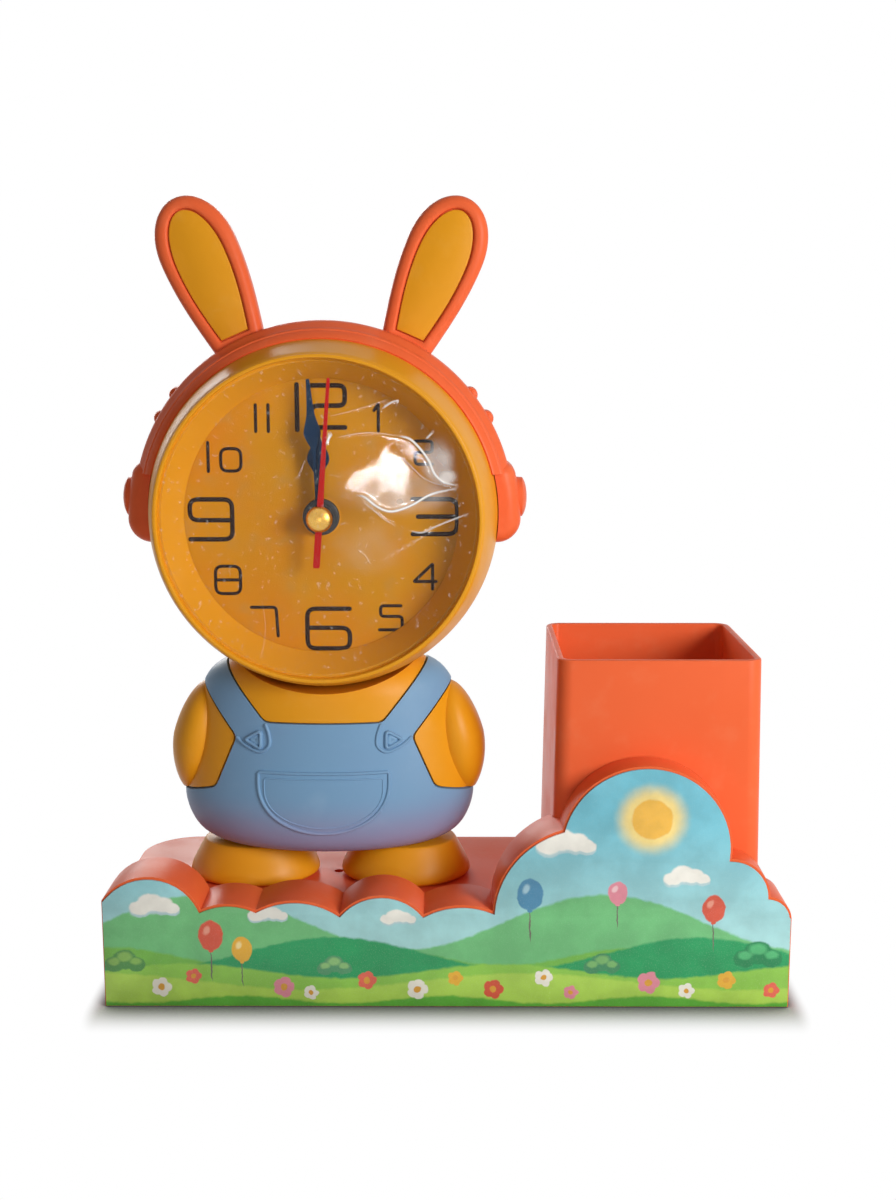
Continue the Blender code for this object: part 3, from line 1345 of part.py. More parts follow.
def time_knob_place():
    start = motion_place()
    step = polar(mesh_distance(TIME_KNOB_TEETH, MOTION_TEETH, COARSE_MODULE), MOTION_ANGLE)
    return start[0] + step[0], start[1] + step[1]


def alarm_knob_place():
    return polar(ALARM_KNOB_DISTANCE, ALARM_ANGLE)


def facing_gap(angle, teeth):
    """Phase that turns a gap towards the angle."""
    return radians(angle) + pi / teeth


def facing_tooth(angle):
    return radians(angle)


def gear(name, teeth, module, phase, near, far, bore=0.0):
    loops = [gear_outline(teeth, module, phase)]
    if bore:
        loops.append(circle(bore, SMALL_ROUND_STEPS))
    return front_plate(name, loops, near, far)


def make_train(frame):
    """The stepping train: rotor, fifth, second, third and centre wheels."""
    arbor_front = CASE_INSIDE + CLEARANCE
    arbor_back = COVER_INSIDE - CLEARANCE
    half = WHEEL_THICKNESS / 2

    near, far = layer(SECOND_LAYER)
    phase = facing_gap(FIFTH_ANGLE, SECOND_TEETH)
    second = gear("second_wheel", SECOND_TEETH, FINE_MODULE, phase, near, far)
    pinion_near, pinion_far = layer(THIRD_LAYER)
    phase = facing_tooth(THIRD_ANGLE)
    join(second, gear("pinion", SECOND_PINION_TEETH, FINE_MODULE, phase, pinion_near, near + half))
    pin_front = CAP_DEPTH + CAP_HEIGHT + CLEARANCE / 2
    join(second, rod("pin", PIN_RADIUS, pin_front, arbor_back, ARBOR_STEPS))
    finish(second, "brass", frame)

    phase = facing_gap(THIRD_ANGLE + 180, THIRD_TEETH)
    third = gear("third_wheel", THIRD_TEETH, FINE_MODULE, phase, pinion_near, pinion_far)
    near, far = layer(CENTRE_LAYER)
    phase = facing_tooth(THIRD_ANGLE + 180)
    join(third, gear("pinion", THIRD_PINION_TEETH, centre_module(), phase, near, pinion_near + half))
    join(third, rod("arbor", ARBOR_RADIUS, arbor_front, arbor_back, ARBOR_STEPS))
    finish(third, "brass", frame, upright(third_place()))

    bore = MINUTE_TUBE_BORE + TUBE_WALL + SHAFT_CLEARANCE
    phase = facing_gap(THIRD_ANGLE, CENTRE_TEETH)
    finish(gear("centre_wheel", CENTRE_TEETH, centre_module(), phase, near, far, bore), "brass", frame)

    near, far = layer(FIFTH_LAYER)
    phase = facing_gap(ROTOR_ANGLE, FIFTH_TEETH)
    fifth = gear("fifth_wheel", FIFTH_TEETH, FINE_MODULE, phase, near, far)
    pinion_near = layer(SECOND_LAYER)[0]
    phase = facing_tooth(FIFTH_ANGLE + 180)
    join(fifth, gear("pinion", FIFTH_PINION_TEETH, FINE_MODULE, phase, pinion_near, near + half))
    join(fifth, rod("arbor", ARBOR_RADIUS, arbor_front, arbor_back, ARBOR_STEPS))
    finish(fifth, "ivory", frame, upright(fifth_place()))

    magnet_near = far + LAYER_GAP
    rotor = rod("rotor", MAGNET_RADIUS, magnet_near, magnet_near + MAGNET_LENGTH, MEDIUM_ROUND_STEPS)
    phase = facing_tooth(ROTOR_ANGLE + 180)
    join(rotor, gear("pinion", ROTOR_TEETH, FINE_MODULE, phase, near, magnet_near + half))
    join(rotor, rod("arbor", ARBOR_RADIUS, arbor_front, arbor_back, ARBOR_STEPS))
    finish(rotor, "dark", frame, upright(rotor_place()))


def make_motion_work(frame):
    """Cannon pinion, motion wheel and hour wheel, which turn the hour hand once in twelve hours."""
    half = WHEEL_THICKNESS / 2
    near, far = layer(MOTION_LAYER)
    cannon_back = layer(CENTRE_LAYER)[1] + SHAFT_CLEARANCE / 2
    cannon_front = MINUTE_HAND_DEPTH - SHAFT_CLEARANCE
    outside = MINUTE_TUBE_BORE + TUBE_WALL
    cannon = tube("cannon_pinion", MINUTE_TUBE_BORE, outside, cannon_front, cannon_back)
    phase = facing_tooth(MOTION_ANGLE)
    wheel_bore = (MINUTE_TUBE_BORE + outside) / 2
    join(cannon, gear("pinion", CANNON_TEETH, COARSE_MODULE, phase, near, far, wheel_bore))
    finish(cannon, "steel", frame)

    bore = ARBOR_RADIUS + SHAFT_CLEARANCE
    phase = facing_gap(MOTION_ANGLE + 180, MOTION_TEETH)
    motion = gear("motion_wheel", MOTION_TEETH, COARSE_MODULE, phase, near, far, bore)
    hour_near, hour_far = layer(HOUR_LAYER)
    phase = facing_tooth(MOTION_ANGLE + 180)
    pinion = gear("pinion", MOTION_PINION_TEETH, hour_module(), phase, hour_near, near + half, bore)
    join(motion, pinion)
    finish(motion, "ivory", frame, upright(motion_place()))

    outside, tube_front = HOUR_TUBE_BORE + TUBE_WALL, HOUR_HAND_DEPTH - SHAFT_CLEARANCE
    hour = tube("hour_wheel", HOUR_TUBE_BORE, outside, tube_front, hour_near + half)
    phase = facing_gap(MOTION_ANGLE, HOUR_TEETH)
    join(hour, gear("wheel", HOUR_TEETH, hour_module(), phase, hour_near, hour_far, HOUR_TUBE_BORE))
    finish(hour, "ivory", frame)

    near, far = layer(ALARM_LAYER)
    outside, tube_front = ALARM_TUBE_BORE + TUBE_WALL, ALARM_HAND_DEPTH - SHAFT_CLEARANCE
    alarm = tube("alarm_wheel", ALARM_TUBE_BORE, outside, tube_front, near + half)
    phase = facing_gap(ALARM_ANGLE, ALARM_TEETH)
    join(alarm, gear("wheel", ALARM_TEETH, alarm_module(), phase, near, far, ALARM_TUBE_BORE))
    finish(alarm, "ivory", frame)


def knob_outline():
    """A round knob with even grip ridges."""
    count = 2 * KNOB_RIDGES
    radii = (KNOB_RADIUS, KNOB_RADIUS - KNOB_RIDGE_DEPTH)
    return [polar(radii[step % 2], 360 * step / count) for step in range(count)]


def make_knobs(frame):
    time_gear = MOTION_LAYER, TIME_KNOB_TEETH, COARSE_MODULE
    alarm_gear = ALARM_LAYER, ALARM_KNOB_TEETH, alarm_module()
    jobs = (
        ("time_set_knob", time_gear, MOTION_ANGLE, time_knob_place()),
        ("alarm_set_knob", alarm_gear, ALARM_ANGLE, alarm_knob_place()),
    )
    knob_near = BACK_COVER_BACK + CLEARANCE
    shaft_near, shaft_far = CASE_INSIDE + CLEARANCE, knob_near + KNOB_THICKNESS / 2
    for name, (wheel_layer, teeth, module), angle, place in jobs:
        near, far = layer(wheel_layer)
        knob = front_plate(name, [knob_outline()], knob_near, knob_near + KNOB_THICKNESS)
        join(knob, rod("shaft", KNOB_SHAFT_RADIUS, shaft_near, shaft_far))
        join(knob, gear("pinion", teeth, module, facing_tooth(angle + 180), near, far))
        finish(knob, "dark", frame, upright(place))


def switch_slot():
    """Slot for the alarm switch's lever, the same in the movement's cover and in the back cover."""
    half_width, half_height = SWITCH_WIDTH / 2 + CLEARANCE, SWITCH_HEIGHT / 2 + CLEARANCE
    right = SWITCH_OUT + SWITCH_TRAVEL + half_width
    box = (SWITCH_OUT - half_width, -SWITCH_DROP - half_height, right, -SWITCH_DROP + half_height)
    return box_outline(*box)


def make_alarm_switch(frame):
    far = COVER_INSIDE - CLEARANCE
    base = box_outline(-SWITCH_BASE_WIDTH / 2, -SWITCH_HEIGHT, SWITCH_BASE_WIDTH / 2, SWITCH_HEIGHT)
    switch = front_plate("alarm_switch", [base], far - SWITCH_BASE_THICKNESS, far)
    half_width, half_height = SWITCH_WIDTH / 2, SWITCH_HEIGHT / 2
    lever = box_outline(-half_width, -half_height, half_width, half_height)
    lever_near, lever_far = far - SWITCH_BASE_THICKNESS / 2, BACK_COVER_BACK + SWITCH_PROUD
    join(switch, front_plate("lever", [lever], lever_near, lever_far))
    return finish(switch, "dark", frame, (SWITCH_OUT, -SWITCH_DROP, 0.0))


def make_movement_case(frame):
    half = CASE_WIDTH / 2
    inside = half - CASE_WALL
    edge = rounded_box(-half, -half, half, half, (CASE_WALL,) * 4, 2)
    case = front_plate("movement_case", [edge], CASE_FRONT, CASE_BACK)
    room = box_outline(-inside, -inside, inside, inside)
    cut(case, front_plate("room", [room], CASE_INSIDE, CASE_BACK + OVERRUN))
    bite = CASE_WALL / 2
    shelf_low = (-inside - bite, PARTITION_TOP - PARTITION_THICKNESS)
    shelf = box_outline(*shelf_low, inside + bite, PARTITION_TOP)
    join(case, front_plate("partition", [shelf], CASE_INSIDE - bite, COVER_INSIDE - CLEARANCE))
    tube_front = DIAL_DEPTH - CLEARANCE - NUT_THICKNESS - CLEARANCE
    outside = CASE_TUBE_BORE + CASE_TUBE_WALL
    join(case, rod("tube", outside, tube_front, CASE_INSIDE - bite))
    post_back = layer(MOTION_LAYER)[1]
    post = rod("post", ARBOR_RADIUS, CASE_INSIDE - bite, post_back, ARBOR_STEPS, motion_place())
    join(case, post)
    cut(case, rod("bore", CASE_TUBE_BORE, tube_front - OVERRUN, CASE_INSIDE + OVERRUN))
    return finish(case, "dark", frame)


def make_movement_cover(frame):
    half = CASE_WIDTH / 2 - CASE_WALL - CLEARANCE
    edge = box_outline(-half, PARTITION_TOP - PARTITION_THICKNESS, half, half)
    holes = [
        circle(KNOB_SHAFT_RADIUS + SHAFT_CLEARANCE, SMALL_ROUND_STEPS, place)
        for place in (time_knob_place(), alarm_knob_place())
    ]
    cover = front_plate("movement_cover", [edge, *holes, switch_slot()], COVER_INSIDE, CASE_BACK)
    return finish(cover, "dark", frame)


def make_electrics(frame):
    """Stator, coil, circuit board and buzzer."""
    x, y = rotor_place()
    near = layer(FIFTH_LAYER)[1] + LAYER_GAP + (MAGNET_LENGTH - STATOR_THICKNESS) / 2
    far = near + STATOR_THICKNESS
    hole = MAGNET_RADIUS + CLEARANCE
    ring = hole + STATOR_RIM
    stator = front_plate("stator", [circle(ring, MEDIUM_ROUND_STEPS, (x, y))], near, far)
    core_left = -COIL_OUT - COIL_LENGTH / 2 - STATOR_RIM
    core = box_outline(core_left, y - STATOR_CORE_WIDTH / 2, x, y + STATOR_CORE_WIDTH / 2)
    join(stator, front_plate("core", [core], near, far))
    rotor_hole = circle(hole, MEDIUM_ROUND_STEPS, (x, y))
    cut(stator, front_plate("rotor_hole", [rotor_hole], near - OVERRUN, far + OVERRUN))
    finish(stator, "zinc", frame)

    middle = (near + far) / 2
    half_long, half_high, half_deep = COIL_LENGTH / 2, COIL_WIDTH / 2, COIL_THICKNESS / 2
    low = (-COIL_OUT - half_long, y - half_high, -middle - half_deep)
    high = (-COIL_OUT + half_long, y + half_high, -middle + half_deep)
    coil = rounded(block("coil", low, high), COIL_THICKNESS * COIL_ROUNDING_SHARE, 2)
    gap = STATOR_CORE_WIDTH / 2 + SHAFT_CLEARANCE
    deep = STATOR_THICKNESS / 2 + SHAFT_CLEARANCE
    low = (low[0] - OVERRUN, y - gap, -middle - deep)
    high = (high[0] + OVERRUN, y + gap, -middle + deep)
    cut(coil, block("core_room", low, high))
    finish(coil, "copper", frame)

    board_back = COVER_INSIDE - CLEARANCE
    half_wide, half_tall = BOARD_WIDTH / 2, BOARD_HEIGHT / 2
    left, right = -BOARD_OUT - half_wide, -BOARD_OUT + half_wide
    edge = box_outline(left, BOARD_RISE - half_tall, right, BOARD_RISE + half_tall)
    board = front_plate("circuit_board", [edge], board_back - BOARD_THICKNESS, board_back)
    finish(board, "green", frame)

    middle, near = (BUZZER_OUT, BUZZER_RISE), board_back - BUZZER_THICKNESS
    sounder = rod("buzzer", BUZZER_RADIUS, near, board_back, MEDIUM_ROUND_STEPS, middle)
    finish(rounded(sounder, BUZZER_THICKNESS * BUZZER_ROUNDING_SHARE, 1), "steel", frame)


def make_battery(frame):
    """One AA cell on its side and the two contacts at its ends."""
    middle_y = PARTITION_TOP - PARTITION_THICKNESS - CLEARANCE - BATTERY_RADIUS
    middle_depth = CASE_INSIDE + CLEARANCE + BATTERY_RADIUS
    half = BATTERY_LENGTH / 2
    shoulder = half - BATTERY_NUB_LENGTH
    chamfer = BATTERY_RADIUS * BATTERY_SHOULDER_SHARE
    profile = [
        (0.0, half),
        (BATTERY_NUB_RADIUS, half),
        (BATTERY_NUB_RADIUS, shoulder),
        (BATTERY_RADIUS - chamfer, shoulder),
        (BATTERY_RADIUS, shoulder - chamfer),
        (BATTERY_RADIUS, -half),
        (0.0, -half),
    ]
    cell = turned("battery", profile, MEDIUM_ROUND_STEPS, closed=False)
    place = Matrix.Translation((0.0, middle_y, -middle_depth))
    cell.data.transform(place @ Matrix.Rotation(pi / 2, 4, "Y"))
    finish(cell, "dark", frame)
    inner = CASE_WIDTH / 2 - CASE_WALL
    reach = BATTERY_RADIUS * CONTACT_SHARE
    for name, side in (("battery_contact_minus", -1), ("battery_contact_plus", 1)):
        outer = side * (inner - CLEARANCE)
        face = outer - side * CONTACT_THICKNESS
        low = (min(outer, face), middle_y - reach, -middle_depth - reach)
        high = (max(outer, face), middle_y + reach, -middle_depth + reach)
        finish(block(name, low, high), "zinc", frame)


def start_scene():
    for obj in list(bpy.data.objects):
        bpy.data.objects.remove(obj)
    parts = bpy.data.collections.new("table_clock")
    bpy.context.scene.collection.children.link(parts)
    return parts


PARTS = start_scene()


def main():
    stand = empty("stand", (0.0, -BASE_DEPTH / 2, 0.0))
    make_base_shell(stand)
    make_base_plate(stand)
    make_base_screws(stand)
    make_front_print(stand)
    make_pen_cup(stand)
    make_foot("foot_left", -1, stand)
    make_foot("foot_right", 1, stand)
    make_torso(stand)
    make_dungarees(stand)
    head = empty("head_frame", (FIGURE_X, RIM_FROM_FRONT, HEAD_Z), stand)
    head.rotation_euler.x = pi / 2
    makers = (
        make_head_case, make_back_cover, make_head_screws, make_battery_door, make_lens, make_dial,
        make_headband, make_earcups, make_ears, make_hands, make_dial_nut, make_train,
        make_motion_work, make_knobs, make_alarm_switch, make_movement_case, make_movement_cover,
        make_electrics, make_battery,
    )
    for make in makers:
        make(head)


main()
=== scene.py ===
"""Visible model of a table clock: a rabbit-eared figure in dungarees beside a pen cup."""

import logging
import math
from collections.abc import Callable, Iterable, Sequence
from dataclasses import dataclass, field
from enum import Enum

import bmesh
import bpy
from mathutils import Matrix, Vector, noise
from mathutils.geometry import delaunay_2d_cdt, tessellate_polygon

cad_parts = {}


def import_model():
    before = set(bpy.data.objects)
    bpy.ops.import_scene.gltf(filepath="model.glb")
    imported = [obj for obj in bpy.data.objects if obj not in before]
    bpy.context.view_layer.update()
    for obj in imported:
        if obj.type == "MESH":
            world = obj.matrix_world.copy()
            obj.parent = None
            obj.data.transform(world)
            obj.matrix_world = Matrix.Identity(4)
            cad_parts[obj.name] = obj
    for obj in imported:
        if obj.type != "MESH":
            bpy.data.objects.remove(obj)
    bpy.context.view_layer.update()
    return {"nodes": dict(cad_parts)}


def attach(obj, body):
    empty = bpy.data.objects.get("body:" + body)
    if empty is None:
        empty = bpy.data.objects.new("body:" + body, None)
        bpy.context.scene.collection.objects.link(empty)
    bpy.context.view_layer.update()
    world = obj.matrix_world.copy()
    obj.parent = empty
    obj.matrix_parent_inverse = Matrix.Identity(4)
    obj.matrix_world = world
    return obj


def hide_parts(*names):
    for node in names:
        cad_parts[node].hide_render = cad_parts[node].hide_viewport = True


LOG = logging.getLogger("table_clock")

MM = 0.001
GAP = 0.3
FULL_ROUND = 144
HALF_ROUND = 72
SMALL_ROUND = 32
CREASE_GLEAM = "crease"
CRISP_DEGREES = 32.0
SMOOTH_DEGREES = 38.0
QUARTER = math.pi / 2
WHITE = (1.0, 1.0, 1.0, 1.0)
DUST_COLOUR = "#E8E2D8"

Flat = tuple[float, float]
Spot = tuple[float, float, float]
Colour = tuple[float, float, float, float]
Outline = list[Flat]
Crease = tuple[Outline, float, float]
PaintedGlare = tuple[Flat, Flat, float]
Onto = Callable[[float, float, float], Vector]
Shape = bmesh.types.BMesh
Piece = bpy.types.Object
Material = bpy.types.Material
Tree = bpy.types.NodeTree
Node = bpy.types.Node
Socket = bpy.types.NodeSocket
Feed = object


# Names of bodies and sides


class Body(Enum):
    """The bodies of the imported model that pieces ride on."""

    CLOCK = "clock"
    SECONDS = "seconds"
    MINUTES = "minutes"
    HOURS = "hours"


class Side(Enum):
    """Left or right as seen from the front, as a sign along x."""

    LEFT = -1
    RIGHT = 1

    @property
    def word(self) -> str:
        """The side's word in piece names."""
        return self.name.lower()


# Frames of the figure and of the head


@dataclass(frozen=True)
class Layout:
    """Places shared by the sub-assemblies, in millimetres."""

    figure_x: float = -35.0
    figure_y: float = 4.25
    body_bottom: float = 36.8
    head_front: float = -23.75
    head_z: float = 134.3
    drum_radius: float = 49.6
    saddle_radius: float = 49.9
    saddle_span: Flat = (-40.0, 80.0)
    drum_span: Flat = (0.0, 60.0)
    deck: float = 25.1

    @property
    def figure(self) -> Matrix:
        """Upright frame at the foot of the figure's body."""
        return Matrix.Translation((self.figure_x, self.figure_y, self.body_bottom))

    @property
    def head(self) -> Matrix:
        """Frame of the head: x to the right, y up and z into the depth from the rim's front."""
        return Matrix.Translation((self.figure_x, self.head_front, self.head_z)) @ self.front

    @property
    def front(self) -> Matrix:
        """Frame of an upright front view: x to the right, y up and z towards the back."""
        return Matrix(((1, 0, 0, 0), (0, 0, 1, 0), (0, 1, 0, 0), (0, 0, 0, 1)))


LAYOUT = Layout()


# Outlines


def polar(distance: float, degrees: float) -> Flat:
    """A point at a distance and an angle from the origin."""
    turn = math.radians(degrees)
    return distance * math.cos(turn), distance * math.sin(turn)


def circle(radius: float, steps: int, centre: Flat = (0.0, 0.0)) -> Outline:
    """A round outline, counter-clockwise."""
    turns = (360.0 * step / steps for step in range(steps))
    return [(centre[0] + x, centre[1] + y) for x, y in (polar(radius, turn) for turn in turns)]


def mirrored(points: Iterable[Flat]) -> Outline:
    """The outline seen in a mirror across x, still counter-clockwise."""
    return [(-x, y) for x, y in points][::-1]


def turned(points: Iterable[Flat], degrees: float, centre: Flat = (0.0, 0.0)) -> Outline:
    """An outline turned clockwise about the origin and then moved.

    Args:
        points: the outline.
        degrees: how far it turns.
        centre: where the origin goes.

    Returns:
        The turned outline.
    """
    turn = -math.radians(degrees)
    c, s = math.cos(turn), math.sin(turn)
    return [(centre[0] + x * c - y * s, centre[1] + x * s + y * c) for x, y in points]


def quarter(steps: int) -> list[float]:
    """Angles from 0 to a right angle in even steps."""
    return [QUARTER * step / steps for step in range(steps + 1)]


def read_off(line: Sequence[Flat], level: float) -> float:
    """The radius of a profile at a level.

    Args:
        line: the profile's radii and rising levels.
        level: where it is read.

    Returns:
        The radius there, or the last one past the profile's end.
    """
    for (low_radius, low), (high_radius, high) in zip(line, line[1:]):
        if low <= level <= high:
            return low_radius + (high_radius - low_radius) * (level - low) / (high - low)
    return line[-1][0]


def circle_through(one: Flat, two: Flat, three: Flat) -> tuple[Flat, float]:
    """The circle through three points.

    Args:
        one: the first point.
        two: the second point.
        three: the third point.

    Returns:
        Its centre and radius.
    """
    (ax, ay), (bx, by), (cx, cy) = one, two, three
    scale = 2 * (ax * (by - cy) + bx * (cy - ay) + cx * (ay - by))
    a, b, c = ax * ax + ay * ay, bx * bx + by * by, cx * cx + cy * cy
    x = (a * (by - cy) + b * (cy - ay) + c * (ay - by)) / scale
    y = (a * (cx - bx) + b * (ax - cx) + c * (bx - ax)) / scale
    return (x, y), math.hypot(ax - x, ay - y)


def arc_through(start: Flat, middle: Flat, end: Flat, steps: int = 10) -> Outline:
    """Points on the circle through three points, from the start to just before the end.

    Args:
        start: the first point.
        middle: any point between the ends.
        end: the last point, which is left off.
        steps: how many pieces the arc is cut into.

    Returns:
        The points from the start on.
    """
    (x, y), radius = circle_through(start, middle, end)
    first = math.atan2(start[1] - y, start[0] - x)
    last = math.atan2(end[1] - y, end[0] - x)
    one, two = Vector(middle) - Vector(start), Vector(end) - Vector(middle)
    sweep = (last - first) % (2 * math.pi)
    if one.cross(two) < 0:
        sweep -= 2 * math.pi
    turns = (first + sweep * step / steps for step in range(steps))
    return [(x + radius * math.cos(turn), y + radius * math.sin(turn)) for turn in turns]


def inset(points: Sequence[Flat], distance: float) -> Outline:
    """A counter-clockwise outline with every side moved inwards.

    Args:
        points: the outline.
        distance: how far its sides move.

    Returns:
        The smaller outline, with as many points.
    """
    least_lean = 0.3
    out: Outline = []
    for index, point in enumerate(points):
        here = Vector(point)
        before = (here - Vector(points[index - 1])).normalized()
        after = (Vector(points[(index + 1) % len(points)]) - here).normalized()
        inward = Vector((-before.y - after.y, before.x + after.x))
        lean = max(inward.length_squared / 2.0, least_lean)
        out.append(tuple(here + inward * (distance / lean)))
    return out


def rounded_box(left: float, bottom: float, right: float, top: float,
                radii: Sequence[float], steps: int = 8) -> Outline:
    """A box outline with its own radius at each corner.

    Args:
        left: least x.
        bottom: least y.
        right: greatest x.
        top: greatest y.
        radii: radii at bottom left, bottom right, top right and top left.
        steps: pieces in each corner.

    Returns:
        The outline, counter-clockwise.
    """
    corners = (
        (left, bottom, 1, 1, 180.0), (right, bottom, -1, 1, 270.0),
        (right, top, -1, -1, 0.0), (left, top, 1, -1, 90.0),
    )
    points: Outline = []
    for (x, y, inward_x, inward_y, start), radius in zip(corners, radii):
        if radius <= 0.0:
            points.append((x, y))
            continue
        centre = (x + inward_x * radius, y + inward_y * radius)
        for step in range(steps + 1):
            dx, dy = polar(radius, start + 90.0 * step / steps)
            points.append((centre[0] + dx, centre[1] + dy))
    return points


def eased(points: Sequence[Sequence[float]], steps: int = 4) -> list[tuple[float, ...]]:
    """A smooth curve through points.

    Args:
        points: the points, each of two or more numbers.
        steps: pieces that each stretch is cut into.

    Returns:
        The points of the curve.
    """
    out: list[tuple[float, ...]] = []
    last = len(points) - 1
    for index in range(last):
        four = (points[max(index - 1, 0)], points[index], points[index + 1],
                points[min(index + 2, last)])
        for step in range(steps):
            t = step / steps
            out.append(tuple(
                0.5 * (2 * b + (c - a) * t + (2 * a - 5 * b + 4 * c - d) * t * t
                       + (3 * b - a - 3 * c + d) * t ** 3)
                for a, b, c, d in zip(*four)
            ))
    out.append(tuple(points[last]))
    return out


def rounded_path(points: Sequence[Flat], radius: float, closed: bool = False,
                 steps: int = 5) -> Outline:
    """A path whose corners are rounded off.

    Args:
        points: the path's corners and ends.
        radius: how far from a corner its bend starts.
        closed: whether the last point joins the first.
        steps: pieces in each bend.

    Returns:
        The points of the rounded path.
    """
    count = len(points)
    out: Outline = []
    for index, point in enumerate(points):
        if not closed and index in (0, count - 1):
            out.append(point)
            continue
        here = Vector(point)
        before, after = Vector(points[index - 1]) - here, Vector(points[(index + 1) % count]) - here
        reach = min(radius, before.length / 2, after.length / 2)
        start, end = here + before.normalized() * reach, here + after.normalized() * reach
        for step in range(steps + 1):
            t = step / steps
            out.append(tuple(start * (1 - t) ** 2 + here * 2 * t * (1 - t) + end * t * t))
    return out


# Solids, made in millimetres


def loft(rings: Sequence[Sequence[Sequence[float]]], closed: bool = False) -> Shape:
    """A skin through rings of points. A ring of one point ends the skin in a tip.

    Args:
        rings: the rings in order, all of the same count or of one point.
        closed: whether the last ring joins the first. Otherwise the ends are capped.

    Returns:
        The closed shape.
    """
    shape = bmesh.new()
    rows = [[shape.verts.new(point) for point in ring] for ring in rings]
    pairs = list(zip(rows, rows[1:]))
    if closed:
        pairs.append((rows[-1], rows[0]))
    for one, two in pairs:
        count = max(len(one), len(two))
        for index in range(count):
            after = (index + 1) % count
            if len(one) == 1:
                shape.faces.new((one[0], two[after], two[index]))
            elif len(two) == 1:
                shape.faces.new((one[index], one[after], two[0]))
            else:
                shape.faces.new((one[index], one[after], two[after], two[index]))
    if not closed:
        for row in (rows[0], rows[-1]):
            if len(row) > 2:
                shape.faces.new(row)
    bmesh.ops.recalc_face_normals(shape, faces=shape.faces)
    return shape


def lathe(profile: Sequence[Flat], steps: int = FULL_ROUND, closed: bool = True) -> Shape:
    """A solid turned about z.

    Args:
        profile: its radii and heights. A radius of zero is a point on the axis.
        steps: pieces round the axis.
        closed: whether the profile joins up, as that of a ring does.

    Returns:
        The closed shape.
    """
    rings = [[(x, y, height) for x, y in circle(radius, steps)] if radius > 0.0
             else [(0.0, 0.0, height)] for radius, height in profile]
    return loft(rings, closed)


def prism(loops: Sequence[Outline], low: float, high: float) -> Shape:
    """A plate between two heights.

    Args:
        loops: its outline, then the outlines of its holes, turned the other way.
        low: the height of one face.
        high: the height of the other.

    Returns:
        The closed shape.
    """
    points = [point for loop in loops for point in loop]
    flat = [[Vector((x, y, 0.0)) for x, y in loop] for loop in loops]
    shape = bmesh.new()
    rows = [[shape.verts.new((x, y, height)) for x, y in points] for height in (low, high)]
    for triangle in tessellate_polygon(flat):
        for row in rows:
            shape.faces.new([row[index] for index in triangle])
    start = 0
    for loop in loops:
        count = len(loop)
        for index in range(count):
            one, two = start + index, start + (index + 1) % count
            shape.faces.new((rows[0][one], rows[0][two], rows[1][two], rows[1][one]))
        start += count
    bmesh.ops.recalc_face_normals(shape, faces=shape.faces)
    return shape


def moved(shape: Shape, matrix: Matrix) -> Shape:
    """A shape after a move, changed in place."""
    bmesh.ops.transform(shape, matrix=matrix, verts=shape.verts)
    return shape


def ridge(path: Sequence[Flat], half_width: float, height: float, sink: float, onto: Onto,
          closed: bool = False) -> Shape:
    """A low round ridge that follows a path on a surface, with rounded ends.

    Args:
        path: the middle of the ridge.
        half_width: half of its width.
        height: its height over the surface.
        sink: how far its foot lies under the surface.
        onto: gives the place of (x, y, height over the surface).
        closed: whether the path joins up.

    Returns:
        The closed shape.
    """
    steps, end_turns = 8, (0.45, 0.9, 1.3)
    points = [Vector(point) for point in path]
    turns = [math.pi * step / steps for step in range(steps + 1)]
    section = [(1.0, -sink), *((math.cos(turn), height * math.sin(turn)) for turn in turns),
               (-1.0, -sink)]
    stops = []
    for index, point in enumerate(points):
        before = points[index - 1] if closed or index else point
        after = points[(index + 1) % len(points)] if closed or point is not points[-1] else point
        stops.append((point, (after - before).normalized(), 1.0))
    if not closed:
        first, last = (points[0] - points[1]).normalized(), (points[-1] - points[-2]).normalized()
        for turn in end_turns:
            reach, scale = half_width * math.sin(turn), math.cos(turn)
            stops.insert(0, (points[0] + first * reach, -first, scale))
            stops.append((points[-1] + last * reach, last, scale))
    rings = [[(centre.x + along.y * u * half_width * scale,
               centre.y - along.x * u * half_width * scale, h if h < 0 else h * scale)
              for u, h in section] for centre, along, scale in stops]
    return loft([[onto(*point) for point in ring] for ring in rings], closed)


def gathered(shapes: Iterable[Shape]) -> Shape:
    """Several shapes as one.

    Args:
        shapes: the shapes, which are freed.

    Returns:
        The whole.
    """
    whole = bmesh.new()
    for shape in shapes:
        scrap = bpy.data.meshes.new("scrap")
        shape.to_mesh(scrap)
        shape.free()
        whole.from_mesh(scrap)
        bpy.data.meshes.remove(scrap)
    return whole


def round_level_edges(shape: Shape, height: float, width: float, segments: int,
                      above: float = -math.inf) -> None:
    """Rounds the rim of a plate at one of its two faces.

    Args:
        shape: the plate, changed in place.
        height: the height of the face whose rim is rounded.
        width: how far from the rim the rounding starts.
        segments: pieces in the rounding.
        above: the least y of the rim that is rounded.
    """
    level_error, least_angle = 1e-5, 1.0
    rim = [edge for edge in shape.edges
           if all(abs(point.co.z - height) < level_error and point.co.y > above
                  for point in edge.verts)
           and len(edge.link_faces) == 2 and edge.calc_face_angle(0.0) > least_angle]
    bmesh.ops.bevel(shape, geom=rim, offset=width, offset_type="OFFSET", segments=segments,
                    profile=0.5, affect="EDGES", clamp_overlap=True)


def shade(mesh: bpy.types.Mesh, degrees: float) -> None:
    """Shades a mesh smoothly and keeps edges sharper than an angle crisp."""
    mesh.shade_smooth()
    mesh.set_sharp_from_angle(angle=math.radians(degrees))


